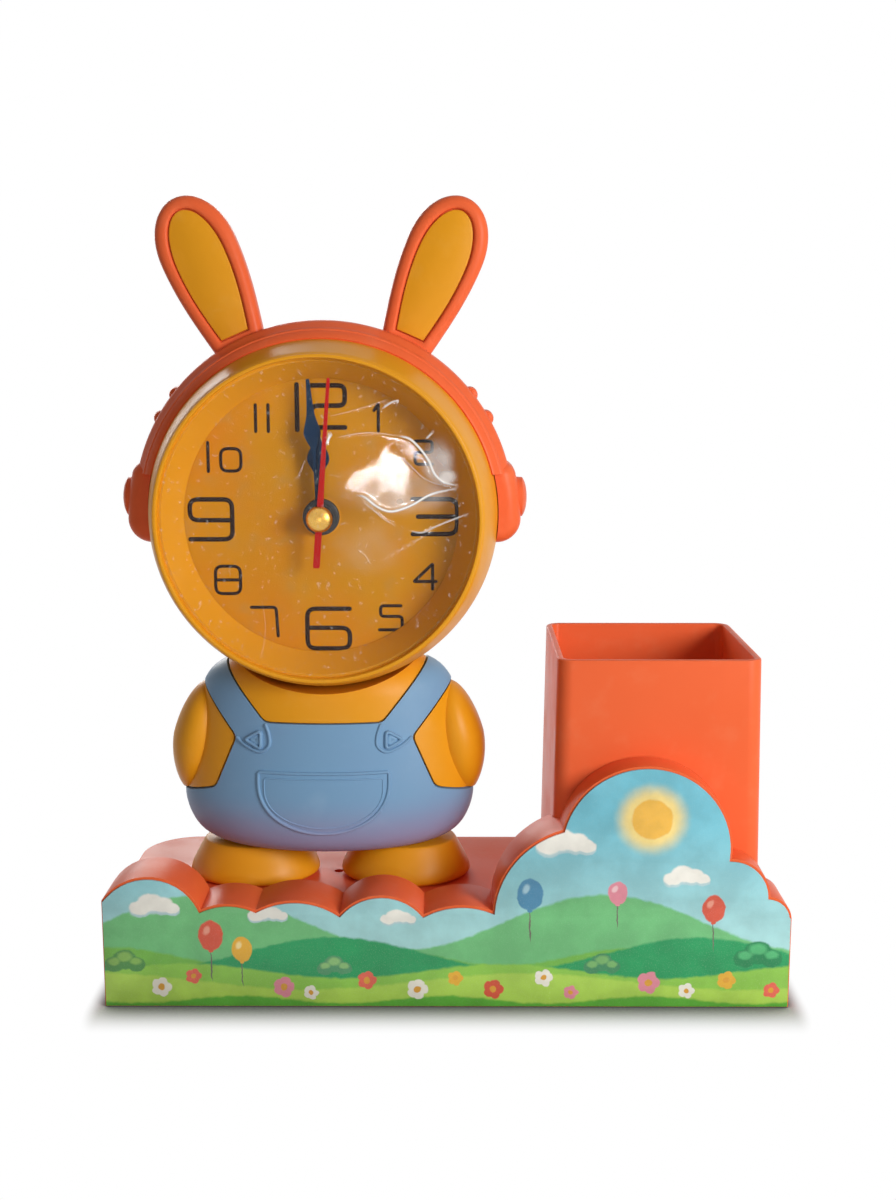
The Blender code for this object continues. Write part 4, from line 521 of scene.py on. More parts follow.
def stand(name: str, shape: Shape, place: Matrix = Matrix.Identity(4),
          smooth_degrees: float = SMOOTH_DEGREES) -> Piece:
    """Turns a shape in millimetres into an object in metres.

    Args:
        name: the piece's name.
        shape: the shape, which is freed.
        place: the frame the shape was made in.
        smooth_degrees: edges sharper than this stay crisp.

    Returns:
        The object, linked to the scene.
    """
    moved(shape, Matrix.Scale(MM, 4) @ place)
    bmesh.ops.recalc_face_normals(shape, faces=shape.faces)
    mesh = bpy.data.meshes.new(name)
    shape.to_mesh(mesh)
    shape.free()
    shade(mesh, smooth_degrees)
    piece = bpy.data.objects.new(name, mesh)
    bpy.context.scene.collection.objects.link(piece)
    return piece


class Carve(Enum):
    """How one solid changes another."""

    CUT = "DIFFERENCE"
    JOIN = "UNION"
    KEEP = "INTERSECT"


def carve(piece: Piece, way: Carve, shape: Shape, place: Matrix = Matrix.Identity(4),
          smooth_degrees: float = SMOOTH_DEGREES) -> Piece:
    """Cuts, joins or keeps with a second solid.

    Args:
        piece: the solid that is changed.
        way: what is done to it.
        shape: the second solid, which is freed.
        place: the frame the second solid was made in.
        smooth_degrees: edges sharper than this stay crisp.

    Returns:
        The changed piece.
    """
    tool = stand(way.name.lower(), shape, place)
    step = piece.modifiers.new(way.name.lower(), "BOOLEAN")
    step.operation = way.value
    step.solver = "EXACT"
    step.object = tool
    graph = bpy.context.evaluated_depsgraph_get()
    mesh = bpy.data.meshes.new_from_object(piece.evaluated_get(graph))
    piece.modifiers.clear()
    old, scrap = piece.data, tool.data
    piece.data = mesh
    mesh.name = piece.name
    bpy.data.objects.remove(tool)
    bpy.data.meshes.remove(old)
    bpy.data.meshes.remove(scrap)
    shade(mesh, smooth_degrees)
    return piece


def ease_modifier(piece: Piece, width: float, segments: int = 3, degrees: float = 35.0) -> None:
    """Adds a rounding to a piece's sharp edges, with even shading across it.

    Args:
        piece: the piece.
        width: how wide its edges are rounded, in millimetres.
        segments: pieces in the rounding.
        degrees: edges sharper than this are rounded.
    """
    bevel = piece.modifiers.new("rounded_edges", "BEVEL")
    bevel.width = width * MM
    bevel.segments = segments
    bevel.limit_method = "ANGLE"
    bevel.angle_limit = math.radians(degrees)
    bevel.harden_normals = True


# Node wiring


def linear(code: str) -> Colour:
    """A colour as the linear one that nodes take.

    Args:
        code: its six-digit code.

    Returns:
        Red, green, blue and a full alpha.
    """
    parts = (int(code[index:index + 2], 16) / 255.0 for index in (1, 3, 5))
    red, green, blue = (
        part / 12.92 if part <= 0.04045 else ((part + 0.055) / 1.055) ** 2.4 for part in parts
    )
    return red, green, blue, 1.0


@dataclass
class Wiring:
    """Adds nodes to one node tree and joins them."""

    tree: Tree

    def feed(self, socket: Socket, value: Feed) -> None:
        """Joins a socket to another one, or sets it to a plain value.

        Args:
            socket: the input.
            value: an output socket or a plain value.
        """
        if isinstance(value, Socket):
            self.tree.links.new(value, socket)
        else:
            socket.default_value = value

    def node(self, kind: str, feeds: dict[str, Feed] | None = None, **settings: object) -> Node:
        """Adds a node.

        Args:
            kind: the node's type name.
            feeds: values or sockets by input name.
            settings: the node's own properties.

        Returns:
            The node.
        """
        made = self.tree.nodes.new(kind)
        for name, value in settings.items():
            setattr(made, name, value)
        for name, value in (feeds or {}).items():
            self.feed(made.inputs[name], value)
        return made

    def joined(self, made: Node, *values: Feed) -> Node:
        """Feeds a node's inputs in their order, from the first.

        Args:
            made: the node.
            values: values or sockets.

        Returns:
            The node.
        """
        for socket, value in zip(made.inputs, values):
            self.feed(socket, value)
        return made

    def maths(self, operation: str, *values: Feed) -> Socket:
        """The result of a Math node."""
        return self.joined(self.node("ShaderNodeMath", operation=operation), *values).outputs[0]

    def times(self, one: Feed, other: Feed) -> Socket:
        """One value times another."""
        return self.maths("MULTIPLY", one, other)

    def vectors(self, operation: str, *values: Feed) -> bpy.types.NodeOutputs:
        """The outputs Vector and Value of a Vector Math node."""
        return self.joined(self.node("ShaderNodeVectorMath", operation=operation), *values).outputs

    def span(self, value: Feed, low: Feed, high: Feed, to_low: Feed = 0.0,
             to_high: Feed = 1.0, smooth: bool = True) -> Socket:
        """A value carried from one range to another.

        Args:
            value: what is carried over.
            low: start of the old range.
            high: end of the old range.
            to_low: start of the new range.
            to_high: end of the new range.
            smooth: whether it eases in and out.

        Returns:
            The result socket.
        """
        made = self.node("ShaderNodeMapRange", {
            "Value": value, "From Min": low, "From Max": high, "To Min": to_low, "To Max": to_high,
        }, interpolation_type="SMOOTHSTEP" if smooth else "LINEAR")
        return made.outputs["Result"]

    def blend(self, share: Feed, one: Feed, other: Feed, way: str = "MIX") -> Socket:
        """Two colours mixed by a share.

        Args:
            share: how much of the other colour shows.
            one: the first colour.
            other: the other colour.
            way: how they mix.

        Returns:
            The colour socket.
        """
        made = self.node("ShaderNodeMix", data_type="RGBA", blend_type=way)
        for index, value in ((0, share), (6, one), (7, other)):
            self.feed(made.inputs[index], value)
        return made.outputs[2]

    def shaders(self, share: Feed, one: Socket, other: Socket) -> Socket:
        """Two shaders mixed by a share."""
        return self.joined(self.node("ShaderNodeMixShader"), share, one, other).outputs[0]

    def place(self) -> Socket:
        """The object's own coordinates, in metres."""
        return self.node("ShaderNodeTexCoord").outputs["Object"]

    def noise(self, where: Feed, scale: Feed, detail: float = 3.0,
              roughness: float = 0.55) -> Socket:
        """A soft noise value.

        Args:
            where: the coordinates.
            scale: how fine it is, per metre.
            detail: how many finer layers it has.
            roughness: how much the finer layers count.

        Returns:
            The socket of a value from 0 to 1.
        """
        feeds = {"Vector": where, "Scale": scale, "Detail": detail, "Roughness": roughness}
        return self.node("ShaderNodeTexNoise", feeds).outputs[0]

    def bump(self, height: Feed, depth: float) -> Socket:
        """The normal of a surface raised by a height, with its full depth in millimetres."""
        feeds = {"Strength": 1.0, "Distance": depth * MM, "Height": height}
        return self.node("ShaderNodeBump", feeds).outputs[0]

    def effect(self, group: Tree, feeds: dict[str, Feed]) -> bpy.types.NodeOutputs:
        """The outputs of a shared effect that is placed with its own values."""
        return self.node("ShaderNodeGroup", feeds, node_tree=group).outputs


@dataclass
class Effects:
    """The shader groups that several finishes share, each built once."""

    drift: Tree = field(init=False)
    wear: Tree = field(init=False)
    grain: Tree = field(init=False)
    handling: Tree = field(init=False)
    dust: Tree = field(init=False)
    spot: Tree = field(init=False)
    hill: Tree = field(init=False)

    def __post_init__(self) -> None:
        """Builds every group."""
        self.drift, self.wear, self.grain = self.make_drift(), self.make_wear(), self.make_grain()
        self.handling, self.dust = self.make_handling(), self.make_dust()
        self.spot, self.hill = self.make_spot(), self.make_hill()

    @staticmethod
    def start(name: str, inputs: Sequence[str], outputs: Sequence[str]
              ) -> tuple[Wiring, bpy.types.NodeOutputs, bpy.types.NodeInputs]:
        """Starts a group with named sockets.

        Args:
            name: the group's name.
            inputs: its input names. One that ends in Colour takes a colour, others a number.
            outputs: its output names, which follow the same rule.

        Returns:
            The wiring, the sockets that bring values in and those that take them out.
        """
        tree = bpy.data.node_groups.new(name, "ShaderNodeTree")
        for way, words in (("INPUT", inputs), ("OUTPUT", outputs)):
            for word in words:
                kind = "NodeSocketColor" if word.endswith("Colour") else "NodeSocketFloat"
                tree.interface.new_socket(name=word, in_out=way, socket_type=kind)
        wiring = Wiring(tree)
        entry, leave = wiring.node("NodeGroupInput"), wiring.node("NodeGroupOutput")
        return wiring, entry.outputs, leave.inputs

    def make_drift(self) -> Tree:
        """Slow changes of a colour towards a deeper and a paler one.

        Returns:
            The group.
        """
        wiring, given, result = self.start(
            "colour_drift", ("Colour", "Deep Colour", "Pale Colour", "Scale", "Amount"), ("Colour",))
        where, finer = wiring.place(), 5.3
        slow = wiring.noise(where, given["Scale"], 3.0)
        quick = wiring.noise(where, wiring.times(given["Scale"], finer), 4.0)
        deep = wiring.times(wiring.span(slow, 0.42, 0.78), given["Amount"])
        pale = wiring.times(wiring.span(quick, 0.50, 0.80), given["Amount"])
        colour = wiring.blend(deep, given["Colour"], given["Deep Colour"])
        wiring.feed(result["Colour"], wiring.blend(pale, colour, given["Pale Colour"]))
        return wiring.tree

    def make_wear(self) -> Tree:
        """A mask of the rubbed edges, broken up by noise.

        Returns:
            The group.
        """
        wiring, given, result = self.start("edge_wear", ("Width", "Amount"), ("Mask",))
        round_normal = wiring.node("ShaderNodeBevel", {"Radius": given["Width"]}, samples=4)
        surface = wiring.node("ShaderNodeNewGeometry")
        dot = wiring.vectors("DOT_PRODUCT", round_normal.outputs[0], surface.outputs["Normal"])
        edge = wiring.span(dot["Value"], 0.995, 0.86)
        patchy = wiring.span(wiring.noise(wiring.place(), 260.0, 4.0, 0.7), 0.38, 0.66)
        wiring.feed(result["Mask"], wiring.times(wiring.times(edge, patchy), given["Amount"]))
        return wiring.tree

    def make_grain(self) -> Tree:
        """The height of a moulded surface: a fine grain over a slow ripple.

        Returns:
            The group.
        """
        wiring, given, result = self.start(
            "moulded_grain", ("Scale", "Ripple Scale", "Ripple"), ("Height",))
        where = wiring.place()
        fine = wiring.noise(where, given["Scale"], 2.0)
        slow = wiring.noise(where, given["Ripple Scale"], 2.0)
        wiring.feed(result["Height"], wiring.maths("MULTIPLY_ADD", slow, given["Ripple"], fine))
        return wiring.tree

    def make_handling(self) -> Tree:
        """Roughness with smudges and hair-fine scratches, and a mask of the scratches.

        Returns:
            The group.
        """
        wiring, given, result = self.start(
            "handling", ("Roughness", "Spread"), ("Roughness", "Scratches"))
        where, scratch_roughness = wiring.place(), 0.18
        smudge = wiring.span(wiring.noise(where, 55.0, 5.0, 0.6), 0.32, 0.70, -1.0, 1.0)
        turned_place = wiring.node("ShaderNodeMapping", {
            "Vector": where, "Rotation": (0.6, 0.9, 0.4), "Scale": (90.0, 2600.0, 700.0),
        })
        hair = wiring.noise(turned_place.outputs[0], 1.0, 2.0)
        patches = wiring.span(wiring.noise(where, 38.0, 2.0), 0.52, 0.66)
        scratch = wiring.times(wiring.span(hair, 0.70, 0.76), patches)
        rough = wiring.maths("MULTIPLY_ADD", smudge, given["Spread"], given["Roughness"])
        scratched = wiring.maths("MULTIPLY_ADD", scratch, scratch_roughness, rough)
        wiring.feed(result["Roughness"], wiring.maths("MINIMUM", scratched, 1.0))
        wiring.feed(result["Scratches"], scratch)
        return wiring.tree

    def make_dust(self) -> Tree:
        """A mask of the thin dust that settles on faces that look up.

        Returns:
            The group.
        """
        wiring, given, result = self.start("settled_dust", ("Amount",), ("Mask",))
        surface = wiring.node("ShaderNodeNewGeometry")
        parts = wiring.node("ShaderNodeSeparateXYZ", {"Vector": surface.outputs["Normal"]})
        upward = wiring.span(parts.outputs["Z"], 0.55, 1.0)
        specks = wiring.span(wiring.noise(wiring.place(), 900.0, 3.0, 0.7), 0.45, 0.75, 0.15, 1.0)
        wiring.feed(result["Mask"], wiring.times(wiring.times(upward, specks), given["Amount"]))
        return wiring.tree

    def make_spot(self) -> Tree:
        """A mask of one oval of the printed picture, turned by an angle and with a soft edge.

        Returns:
            The group.
        """
        wiring, given, result = self.start(
            "printed_oval", ("Across", "Up", "Middle Across", "Middle Up", "Half Width",
                             "Half Height", "Turn", "Blur"), ("Mask",))
        dx = wiring.maths("SUBTRACT", given["Across"], given["Middle Across"])
        dz = wiring.maths("SUBTRACT", given["Up"], given["Middle Up"])
        cosine, sine = wiring.maths("COSINE", given["Turn"]), wiring.maths("SINE", given["Turn"])
        u = wiring.maths("MULTIPLY_ADD", dx, cosine, wiring.times(dz, sine))
        v = wiring.maths("SUBTRACT", wiring.times(dz, cosine), wiring.times(dx, sine))
        u = wiring.maths("DIVIDE", u, given["Half Width"])
        v = wiring.maths("DIVIDE", v, given["Half Height"])
        square = wiring.maths("MULTIPLY_ADD", u, u, wiring.times(v, v))
        inner = wiring.maths("SUBTRACT", 1.0, given["Blur"])
        outer = wiring.maths("ADD", 1.0, given["Blur"])
        wiring.feed(result["Mask"], wiring.span(wiring.maths("SQRT", square), outer, inner))
        return wiring.tree

    def make_hill(self) -> Tree:
        """A mask of the ground under one rolling line of the printed picture.

        Returns:
            The group.
        """
        wiring, given, result = self.start(
            "printed_hill", ("Across", "Up", "Level", "Rise", "Length", "Shift", "Blur"), ("Mask",))
        along = wiring.maths("SUBTRACT", given["Across"], given["Shift"])
        turn = wiring.maths("DIVIDE", along, given["Length"])
        wave = wiring.maths("MULTIPLY_ADD", wiring.maths("COSINE", turn), given["Rise"],
                            given["Level"])
        under = wiring.maths("SUBTRACT", wave, given["Up"])
        back = wiring.times(given["Blur"], -1.0)
        wiring.feed(result["Mask"], wiring.span(under, back, given["Blur"]))
        return wiring.tree


# Finishes


def fresh_material(name: str) -> tuple[Material, Wiring]:
    """A new material with no nodes.

    Args:
        name: its name.

    Returns:
        The material and its wiring.
    """
    material = bpy.data.materials.new(name)
    material.use_nodes = True
    material.node_tree.nodes.clear()
    return material, Wiring(material.node_tree)


def cover(wiring: Wiring, shader: Socket) -> None:
    """Ends a material's wiring with the shader of its surface."""
    wiring.node("ShaderNodeOutputMaterial", {"Surface": shader})


def principled(wiring: Wiring, feeds: dict[str, Feed]) -> Socket:
    """The output of a Principled shader with its own values."""
    return wiring.node("ShaderNodeBsdfPrincipled", feeds).outputs[0]


@dataclass(frozen=True)
class Moulded:
    """Painted or coloured plastic: drifting colour, rubbed edges, smudges, a fine grain and, where
    given, a painted shade towards the bottom.
    """

    name: str
    colour: str
    deep: str
    pale: str
    roughness: float = 0.38
    spread: float = 0.06
    drift_scale: float = 24.0
    drift: float = 0.16
    grain_scale: float = 2400.0
    grain_height: float = 0.012
    ripple_scale: float = 190.0
    ripple: float = 1.6
    wear: float = 0.22
    wear_width: float = 0.5
    dust: float = 0.05
    coat: float = 0.0
    specular: float = 0.5
    scratch_share: float = 0.18
    # A painted shade towards the bottom: its colour, and the heights in millimetres where it is full
    # and where it fades out.
    low_painted_shade: str = ""
    low_painted_shade_span: Flat = (0.0, 1.0)

    def material(self, effects: Effects) -> Material:
        """The material of this finish.

        Args:
            effects: the shared effects.

        Returns:
            The material.
        """
        material, wiring = fresh_material(self.name)
        pale = linear(self.pale)
        colour = wiring.effect(effects.drift, {
            "Colour": linear(self.colour), "Deep Colour": linear(self.deep), "Pale Colour": pale,
            "Scale": self.drift_scale, "Amount": self.drift,
        })["Colour"]
        wear = wiring.effect(effects.wear, {"Width": self.wear_width * MM, "Amount": self.wear})
        dust = wiring.effect(effects.dust, {"Amount": self.dust})
        touch = wiring.effect(effects.handling, {"Roughness": self.roughness, "Spread": self.spread})
        grain = wiring.effect(effects.grain, {
            "Scale": self.grain_scale, "Ripple Scale": self.ripple_scale, "Ripple": self.ripple,
        })
        # Painted shade: the colour turns towards a lilac shade low down.
        if self.low_painted_shade:
            height = wiring.node("ShaderNodeSeparateXYZ", {"Vector": wiring.place()}).outputs["Z"]
            low = wiring.span(height, self.low_painted_shade_span[1] * MM, self.low_painted_shade_span[0] * MM)
            colour = wiring.blend(low, colour, linear(self.low_painted_shade))
        colour = wiring.blend(wear["Mask"], colour, pale)
        colour = wiring.blend(wiring.times(touch["Scratches"], self.scratch_share), colour, pale)
        colour = wiring.blend(dust["Mask"], colour, linear(DUST_COLOUR))
        cover(wiring, principled(wiring, {
            "Base Color": colour, "Roughness": touch["Roughness"],
            "Normal": wiring.bump(grain["Height"], self.grain_height), "Coat Weight": self.coat,
            "Coat Roughness": 0.2, "Specular IOR Level": self.specular,
        }))
        return material


@dataclass(frozen=True)
class Metalwork:
    """Bare or plated metal: patchy tone, fine drawn lines and rubbed edges."""

    name: str
    colour: str
    deep: str
    roughness: float = 0.28
    drift: float = 0.6
    drift_scale: float = 160.0
    line_height: float = 0.006
    rubbed: str = "#F4EFE4"
    wear: float = 0.5
    wear_width: float = 0.2

    def material(self, effects: Effects) -> Material:
        """The material of this finish.

        Args:
            effects: the shared effects.

        Returns:
            The material.
        """
        material, wiring = fresh_material(self.name)
        drift = wiring.effect(effects.drift, {
            "Colour": linear(self.colour), "Deep Colour": linear(self.deep),
            "Pale Colour": linear(self.colour), "Scale": self.drift_scale, "Amount": self.drift,
        })
        wear = wiring.effect(effects.wear, {"Width": self.wear_width * MM, "Amount": self.wear})
        touch = wiring.effect(effects.handling, {"Roughness": self.roughness, "Spread": 0.1})
        stretched = wiring.node("ShaderNodeMapping", {
            "Vector": wiring.place(), "Scale": (300.0, 4000.0, 4000.0),
        })
        lines = wiring.noise(stretched.outputs[0], 1.0, 2.0)
        cover(wiring, principled(wiring, {
            "Base Color": wiring.blend(wear["Mask"], drift["Colour"], linear(self.rubbed)),
            "Metallic": 1.0, "Roughness": touch["Roughness"],
            "Normal": wiring.bump(lines, self.line_height),
        }))
        return material


@dataclass(frozen=True)
class Clear:
    """A clear sheet that mirrors a little: a lens, or a crinkled film with painted white highlights
    along its creases and in glare patches, and milky specks.
    """

    name: str
    roughness: float
    bump_height: float
    bump_scale: float
    index: float = 1.46
    # The share of painted white gleam and milky specks, and the roughness of that white.
    milk_and_gleam: float = 0.0
    milky_gleam_roughness: float = 0.35
    speck_share: float = 0.12

    def material(self, effects: Effects) -> Material:
        """The material of this finish.

        Args:
            effects: the shared effects.

        Returns:
            The material.
        """
        material, wiring = fresh_material(self.name)
        where = wiring.place()
        normal = wiring.bump(wiring.noise(where, self.bump_scale, 2.0), self.bump_height)
        touch = wiring.effect(effects.handling, {"Roughness": self.roughness, "Spread": 0.02})
        mirror = principled(wiring, {
            "Base Color": WHITE, "Metallic": 1.0, "Roughness": touch["Roughness"], "Normal": normal,
        })
        clear = wiring.node("ShaderNodeBsdfTransparent", {"Color": WHITE})
        share = wiring.node("ShaderNodeFresnel", {"IOR": self.index, "Normal": normal})
        inner = wiring.node("ShaderNodeNewGeometry").outputs["Backfacing"]
        outer = wiring.maths("SUBTRACT", 1.0, inner)
        mixed = wiring.shaders(wiring.times(share.outputs[0], outer), clear.outputs[0], mirror)
        # Painted highlight: the crease attribute marks painted white gleam along the film's creases
        # and in painted glare patches; with scattered milky specks it mixes in a plain white shader.
        if self.milk_and_gleam > 0.0:
            crease = wiring.node("ShaderNodeAttribute", attribute_name=CREASE_GLEAM)
            specks = wiring.span(wiring.noise(where, 700.0, 3.0, 0.7), 0.60, 0.72)
            mask = wiring.maths("MAXIMUM", crease.outputs["Fac"],
                                wiring.times(specks, self.speck_share))
            milky_gleam = principled(wiring, {
                "Base Color": WHITE, "Roughness": self.milky_gleam_roughness, "Normal": normal,
            })
            mixed = wiring.shaders(wiring.times(mask, self.milk_and_gleam), mixed, milky_gleam)
        cover(wiring, mixed)
        return material


@dataclass(frozen=True)
class Oval:
    """One oval of the printed picture, in millimetres on the base's front."""

    across: float
    up: float
    half_width: float
    half_height: float
    colour: str
    turn: float = 0.0
    blur: float = 0.10


@dataclass(frozen=True)
class Hill:
    """One rolling line of ground in the printed picture."""

    level: float
    rise: float
    length: float
    shift: float
    colour: str
    blur: float = 0.5


@dataclass(frozen=True)
class Motif:
    """A plain thing in the printed picture: its place, size and two colours."""

    across: float
    up: float
    size: float
    colour: str = ""
    accent: str = "#E2A33A"

    def oval(self, right: float, up: float, half_width: float, half_height: float, colour: str,
             blur: float, turn: float = 0.0) -> Oval:
        """One of its ovals.

        Args:
            right: how far right of the motif's place, as a share of its size, as all lengths here.
            up: how far over that place.
            half_width: half of the oval's width.
            half_height: half of its height.
            colour: its colour.
            blur: how soft its edge is.
            turn: how far it is turned, in radians.

        Returns:
            The oval in the picture.
        """
        size = self.size
        return Oval(self.across + right * size, self.up + up * size, half_width * size,
                    half_height * size, colour, turn, blur)

    def cloud(self) -> list[Oval]:
        """Overlapping pale puffs over a grey-blue foot.

        Returns:
            The motif's ovals.
        """
        puffs = ((-0.95, -0.10, 0.62), (-0.30, 0.22, 0.78), (0.42, 0.10, 0.66), (1.0, -0.12, 0.46))
        layers = ((0.16, "#B9D6DC", 0.16), (0.0, "#F1F0E8", 0.14))
        return [self.oval(x, y - drop, r, r * 0.72, colour, blur)
                for drop, colour, blur in layers for x, y, r in puffs]

    def flower(self) -> list[Oval]:
        """Five round petals round a heart."""
        petals = [self.oval(x, y, 0.55, 0.55, self.colour, 0.12) for x, y in circle(0.62, 5)]
        return petals + [self.oval(0.0, 0.0, 0.38, 0.38, self.accent, 0.15)]

    def balloon(self) -> list[Oval]:
        """A balloon on a thin string, with a soft highlight.

        Returns:
            The motif's ovals.
        """
        return [self.oval(0.0, -2.0, 0.05, 1.0, "#6E6A60", 0.2, 0.04),
                self.oval(0.0, 0.0, 0.78, 1.0, self.colour, 0.06),
                self.oval(0.0, -1.02, 0.16, 0.12, self.colour, 0.1),
                self.oval(-0.24, 0.34, 0.2, 0.3, self.accent, 0.4, -0.4)]

    def bush(self) -> list[Oval]:
        """Three round tufts with lighter tops.

        Returns:
            The motif's ovals.
        """
        tufts = ((-0.7, 0.0, 0.62), (0.0, 0.35, 0.8), (0.75, 0.02, 0.6))
        dark = [self.oval(x, y, r, r * 0.85, self.colour, 0.10) for x, y, r in tufts]
        return dark + [self.oval(x, y + 0.2, r * 0.6, r * 0.4, self.accent, 0.35)
                       for x, y, r in tufts]


@dataclass(frozen=True)
class PrintedPicture:
    """The printed skin of the base: a plain landscape in soft colours under a satin varnish."""

    name: str = "printed_skin"
    low_sky: str = "#A9DBDD"
    high_sky: str = "#6CBED2"
    sky_span: Flat = (16.0, 62.0)
    roughness: float = 0.34
    spread: float = 0.06
    grain_height: float = 0.01
    wobble: Spot = (0.0011, 0.0, 0.0011)
    wobble_shift: float = 0.5
    hills: tuple[Hill, ...] = (
        Hill(19.0, 3.2, 15.0, -58.0, "#8CCB8C"), Hill(25.5, 8.0, 17.5, 44.0, "#6FBE7C"),
        Hill(15.5, 2.6, 11.5, -20.0, "#74B84A"), Hill(16.5, 4.6, 16.0, 70.0, "#1F9A5C"),
        Hill(11.2, 2.1, 14.0, -72.0, "#8FC94E"), Hill(8.2, 2.4, 19.0, 22.0, "#B0D858"),
        Hill(2.8, 1.1, 9.0, 0.0, "#5FB03C"),
    )
    sun: tuple[Oval, ...] = (Oval(56.0, 54.5, 8.6, 8.6, "#F7DE8C", 0.0, 0.30),
                             Oval(56.0, 54.5, 5.6, 5.6, "#F2BC4A", 0.0, 0.06))
    clouds: tuple[Motif, ...] = (Motif(-80.0, 29.5, 4.6), Motif(-49.0, 27.2, 3.6),
                                 Motif(33.0, 47.5, 5.4), Motif(66.0, 38.0, 4.2),
                                 Motif(-13.0, 26.2, 3.2))
    bushes: tuple[Motif, ...] = (
        Motif(-89.0, 12.5, 4.2, "#4E8E4A", "#86B85A"), Motif(-31.0, 11.5, 3.6, "#4F9468", "#8CC07A"),
        Motif(86.0, 14.5, 5.0, "#1C8450", "#4FB474"), Motif(43.0, 12.0, 3.8, "#3F8A5E", "#79B56C"),
    )
    balloons: tuple[Motif, ...] = (
        Motif(-65.0, 21.0, 4.4, "#D9583F", "#F0A08A"), Motif(-56.5, 17.0, 3.6, "#E9B23C", "#F7DF9C"),
        Motif(23.0, 33.0, 4.6, "#4F8FB5", "#A7CFE0"), Motif(73.5, 29.0, 4.0, "#D9583F", "#F0A08A"),
        Motif(47.0, 33.5, 3.4, "#E58FA0", "#F6CCD2"),
    )
    flowers: tuple[Motif, ...] = (
        Motif(-79.0, 6.0, 2.5, "#F4F0E4"), Motif(-70.0, 9.2, 1.9, "#E76A55"),
        Motif(-45.0, 6.0, 2.6, "#E58FA0"), Motif(-37.5, 4.4, 1.8, "#F4F0E4"),
        Motif(-22.0, 8.0, 2.3, "#E76A55"), Motif(-8.0, 5.4, 2.6, "#F4F0E4"),
        Motif(2.5, 8.6, 1.9, "#E9B23C"), Motif(13.0, 5.4, 2.5, "#D9583F"),
        Motif(27.0, 8.8, 2.2, "#F4F0E4"), Motif(34.5, 4.6, 1.8, "#E58FA0"),
        Motif(56.0, 7.4, 2.8, "#E58FA0"), Motif(66.5, 5.0, 2.0, "#F4F0E4"),
        Motif(77.5, 8.2, 2.3, "#E9B23C"), Motif(90.0, 5.2, 2.0, "#E76A55"),
    )

    def ovals(self) -> list[Oval]:
        """Everything that stands on the hills or in the sky, from the back to the front.

        Returns:
            The ovals in the order they are printed.
        """
        things = list(self.sun)
        for motifs, draw in ((self.clouds, Motif.cloud), (self.bushes, Motif.bush),
                             (self.balloons, Motif.balloon), (self.flowers, Motif.flower)):
            for motif in motifs:
                things += draw(motif)
        return things

    def picture(self, wiring: Wiring, effects: Effects) -> Socket:
        """The picture's colour before varnish and wear.

        Args:
            wiring: the material's wiring.
            effects: the shared effects.

        Returns:
            The colour socket.
        """
        where = wiring.place()
        wobble = wiring.node("ShaderNodeTexNoise", {"Vector": where, "Scale": 420.0, "Detail": 3.0})
        shaky = wiring.vectors("MULTIPLY_ADD", wobble.outputs["Color"], self.wobble, where)
        parts = wiring.node("ShaderNodeSeparateXYZ", {"Vector": shaky["Vector"]}).outputs
        spot = {"Across": wiring.times(parts["X"], 1.0 / MM), "Up": wiring.times(parts["Z"], 1.0 / MM)}
        colour = wiring.blend(wiring.span(spot["Up"], *self.sky_span), linear(self.low_sky),
                              linear(self.high_sky))
        for hill in self.hills:
            mask = wiring.effect(effects.hill, spot | {
                "Level": hill.level, "Rise": hill.rise, "Length": hill.length,
                "Shift": hill.shift, "Blur": hill.blur,
            })
            colour = wiring.blend(mask["Mask"], colour, linear(hill.colour))
        for oval in self.ovals():
            mask = wiring.effect(effects.spot, spot | {
                "Middle Across": oval.across + self.wobble_shift,
                "Middle Up": oval.up + self.wobble_shift, "Half Width": oval.half_width,
                "Half Height": oval.half_height, "Turn": oval.turn, "Blur": oval.blur,
            })
            colour = wiring.blend(mask["Mask"], colour, linear(oval.colour))
        return colour

    def material(self, effects: Effects) -> Material:
        """The material of the printed picture.

        Args:
            effects: the shared effects.

        Returns:
            The material.
        """
        material, wiring = fresh_material(self.name)
        where = wiring.place()
        tone = wiring.span(wiring.noise(where, 85.0, 4.0), 0.30, 0.72, 0.84, 1.06)
        grey = wiring.node("ShaderNodeCombineXYZ", {"X": tone, "Y": tone, "Z": tone})
        toned = wiring.blend(1.0, self.picture(wiring, effects), grey.outputs[0], "MULTIPLY")
        dots = wiring.span(wiring.noise(where, 3800.0, 1.0), 0.52, 0.80, 0.0, 0.10)
        touch = wiring.effect(effects.handling, {"Roughness": self.roughness, "Spread": self.spread})
        grain = wiring.effect(effects.grain, {
            "Scale": 1900.0, "Ripple Scale": 160.0, "Ripple": 1.4,
        })
        cover(wiring, principled(wiring, {
            "Base Color": wiring.blend(dots, toned, linear("#F4F1EA")),
            "Roughness": touch["Roughness"],
            "Normal": wiring.bump(grain["Height"], self.grain_height),
        }))
        return material


# The bench: the finish, slot and body of each piece


class Slot(Enum):
    """The material slots."""

    CORAL = "coral"
    YELLOW = "yellow"
    BLUE = "blue"
    DIAL = "dial_yellow"
    PRINT = "print"
    CLEAR = "clear"
    NAVY = "navy"
    RED = "red"
    BRASS = "brass"
    DARK = "dark"
    IVORY = "ivory"
    STEEL = "steel"
    COPPER = "copper"
    BOARD = "green"
    CELL = "zinc"


Finish = Moulded | Metalwork | Clear | PrintedPicture

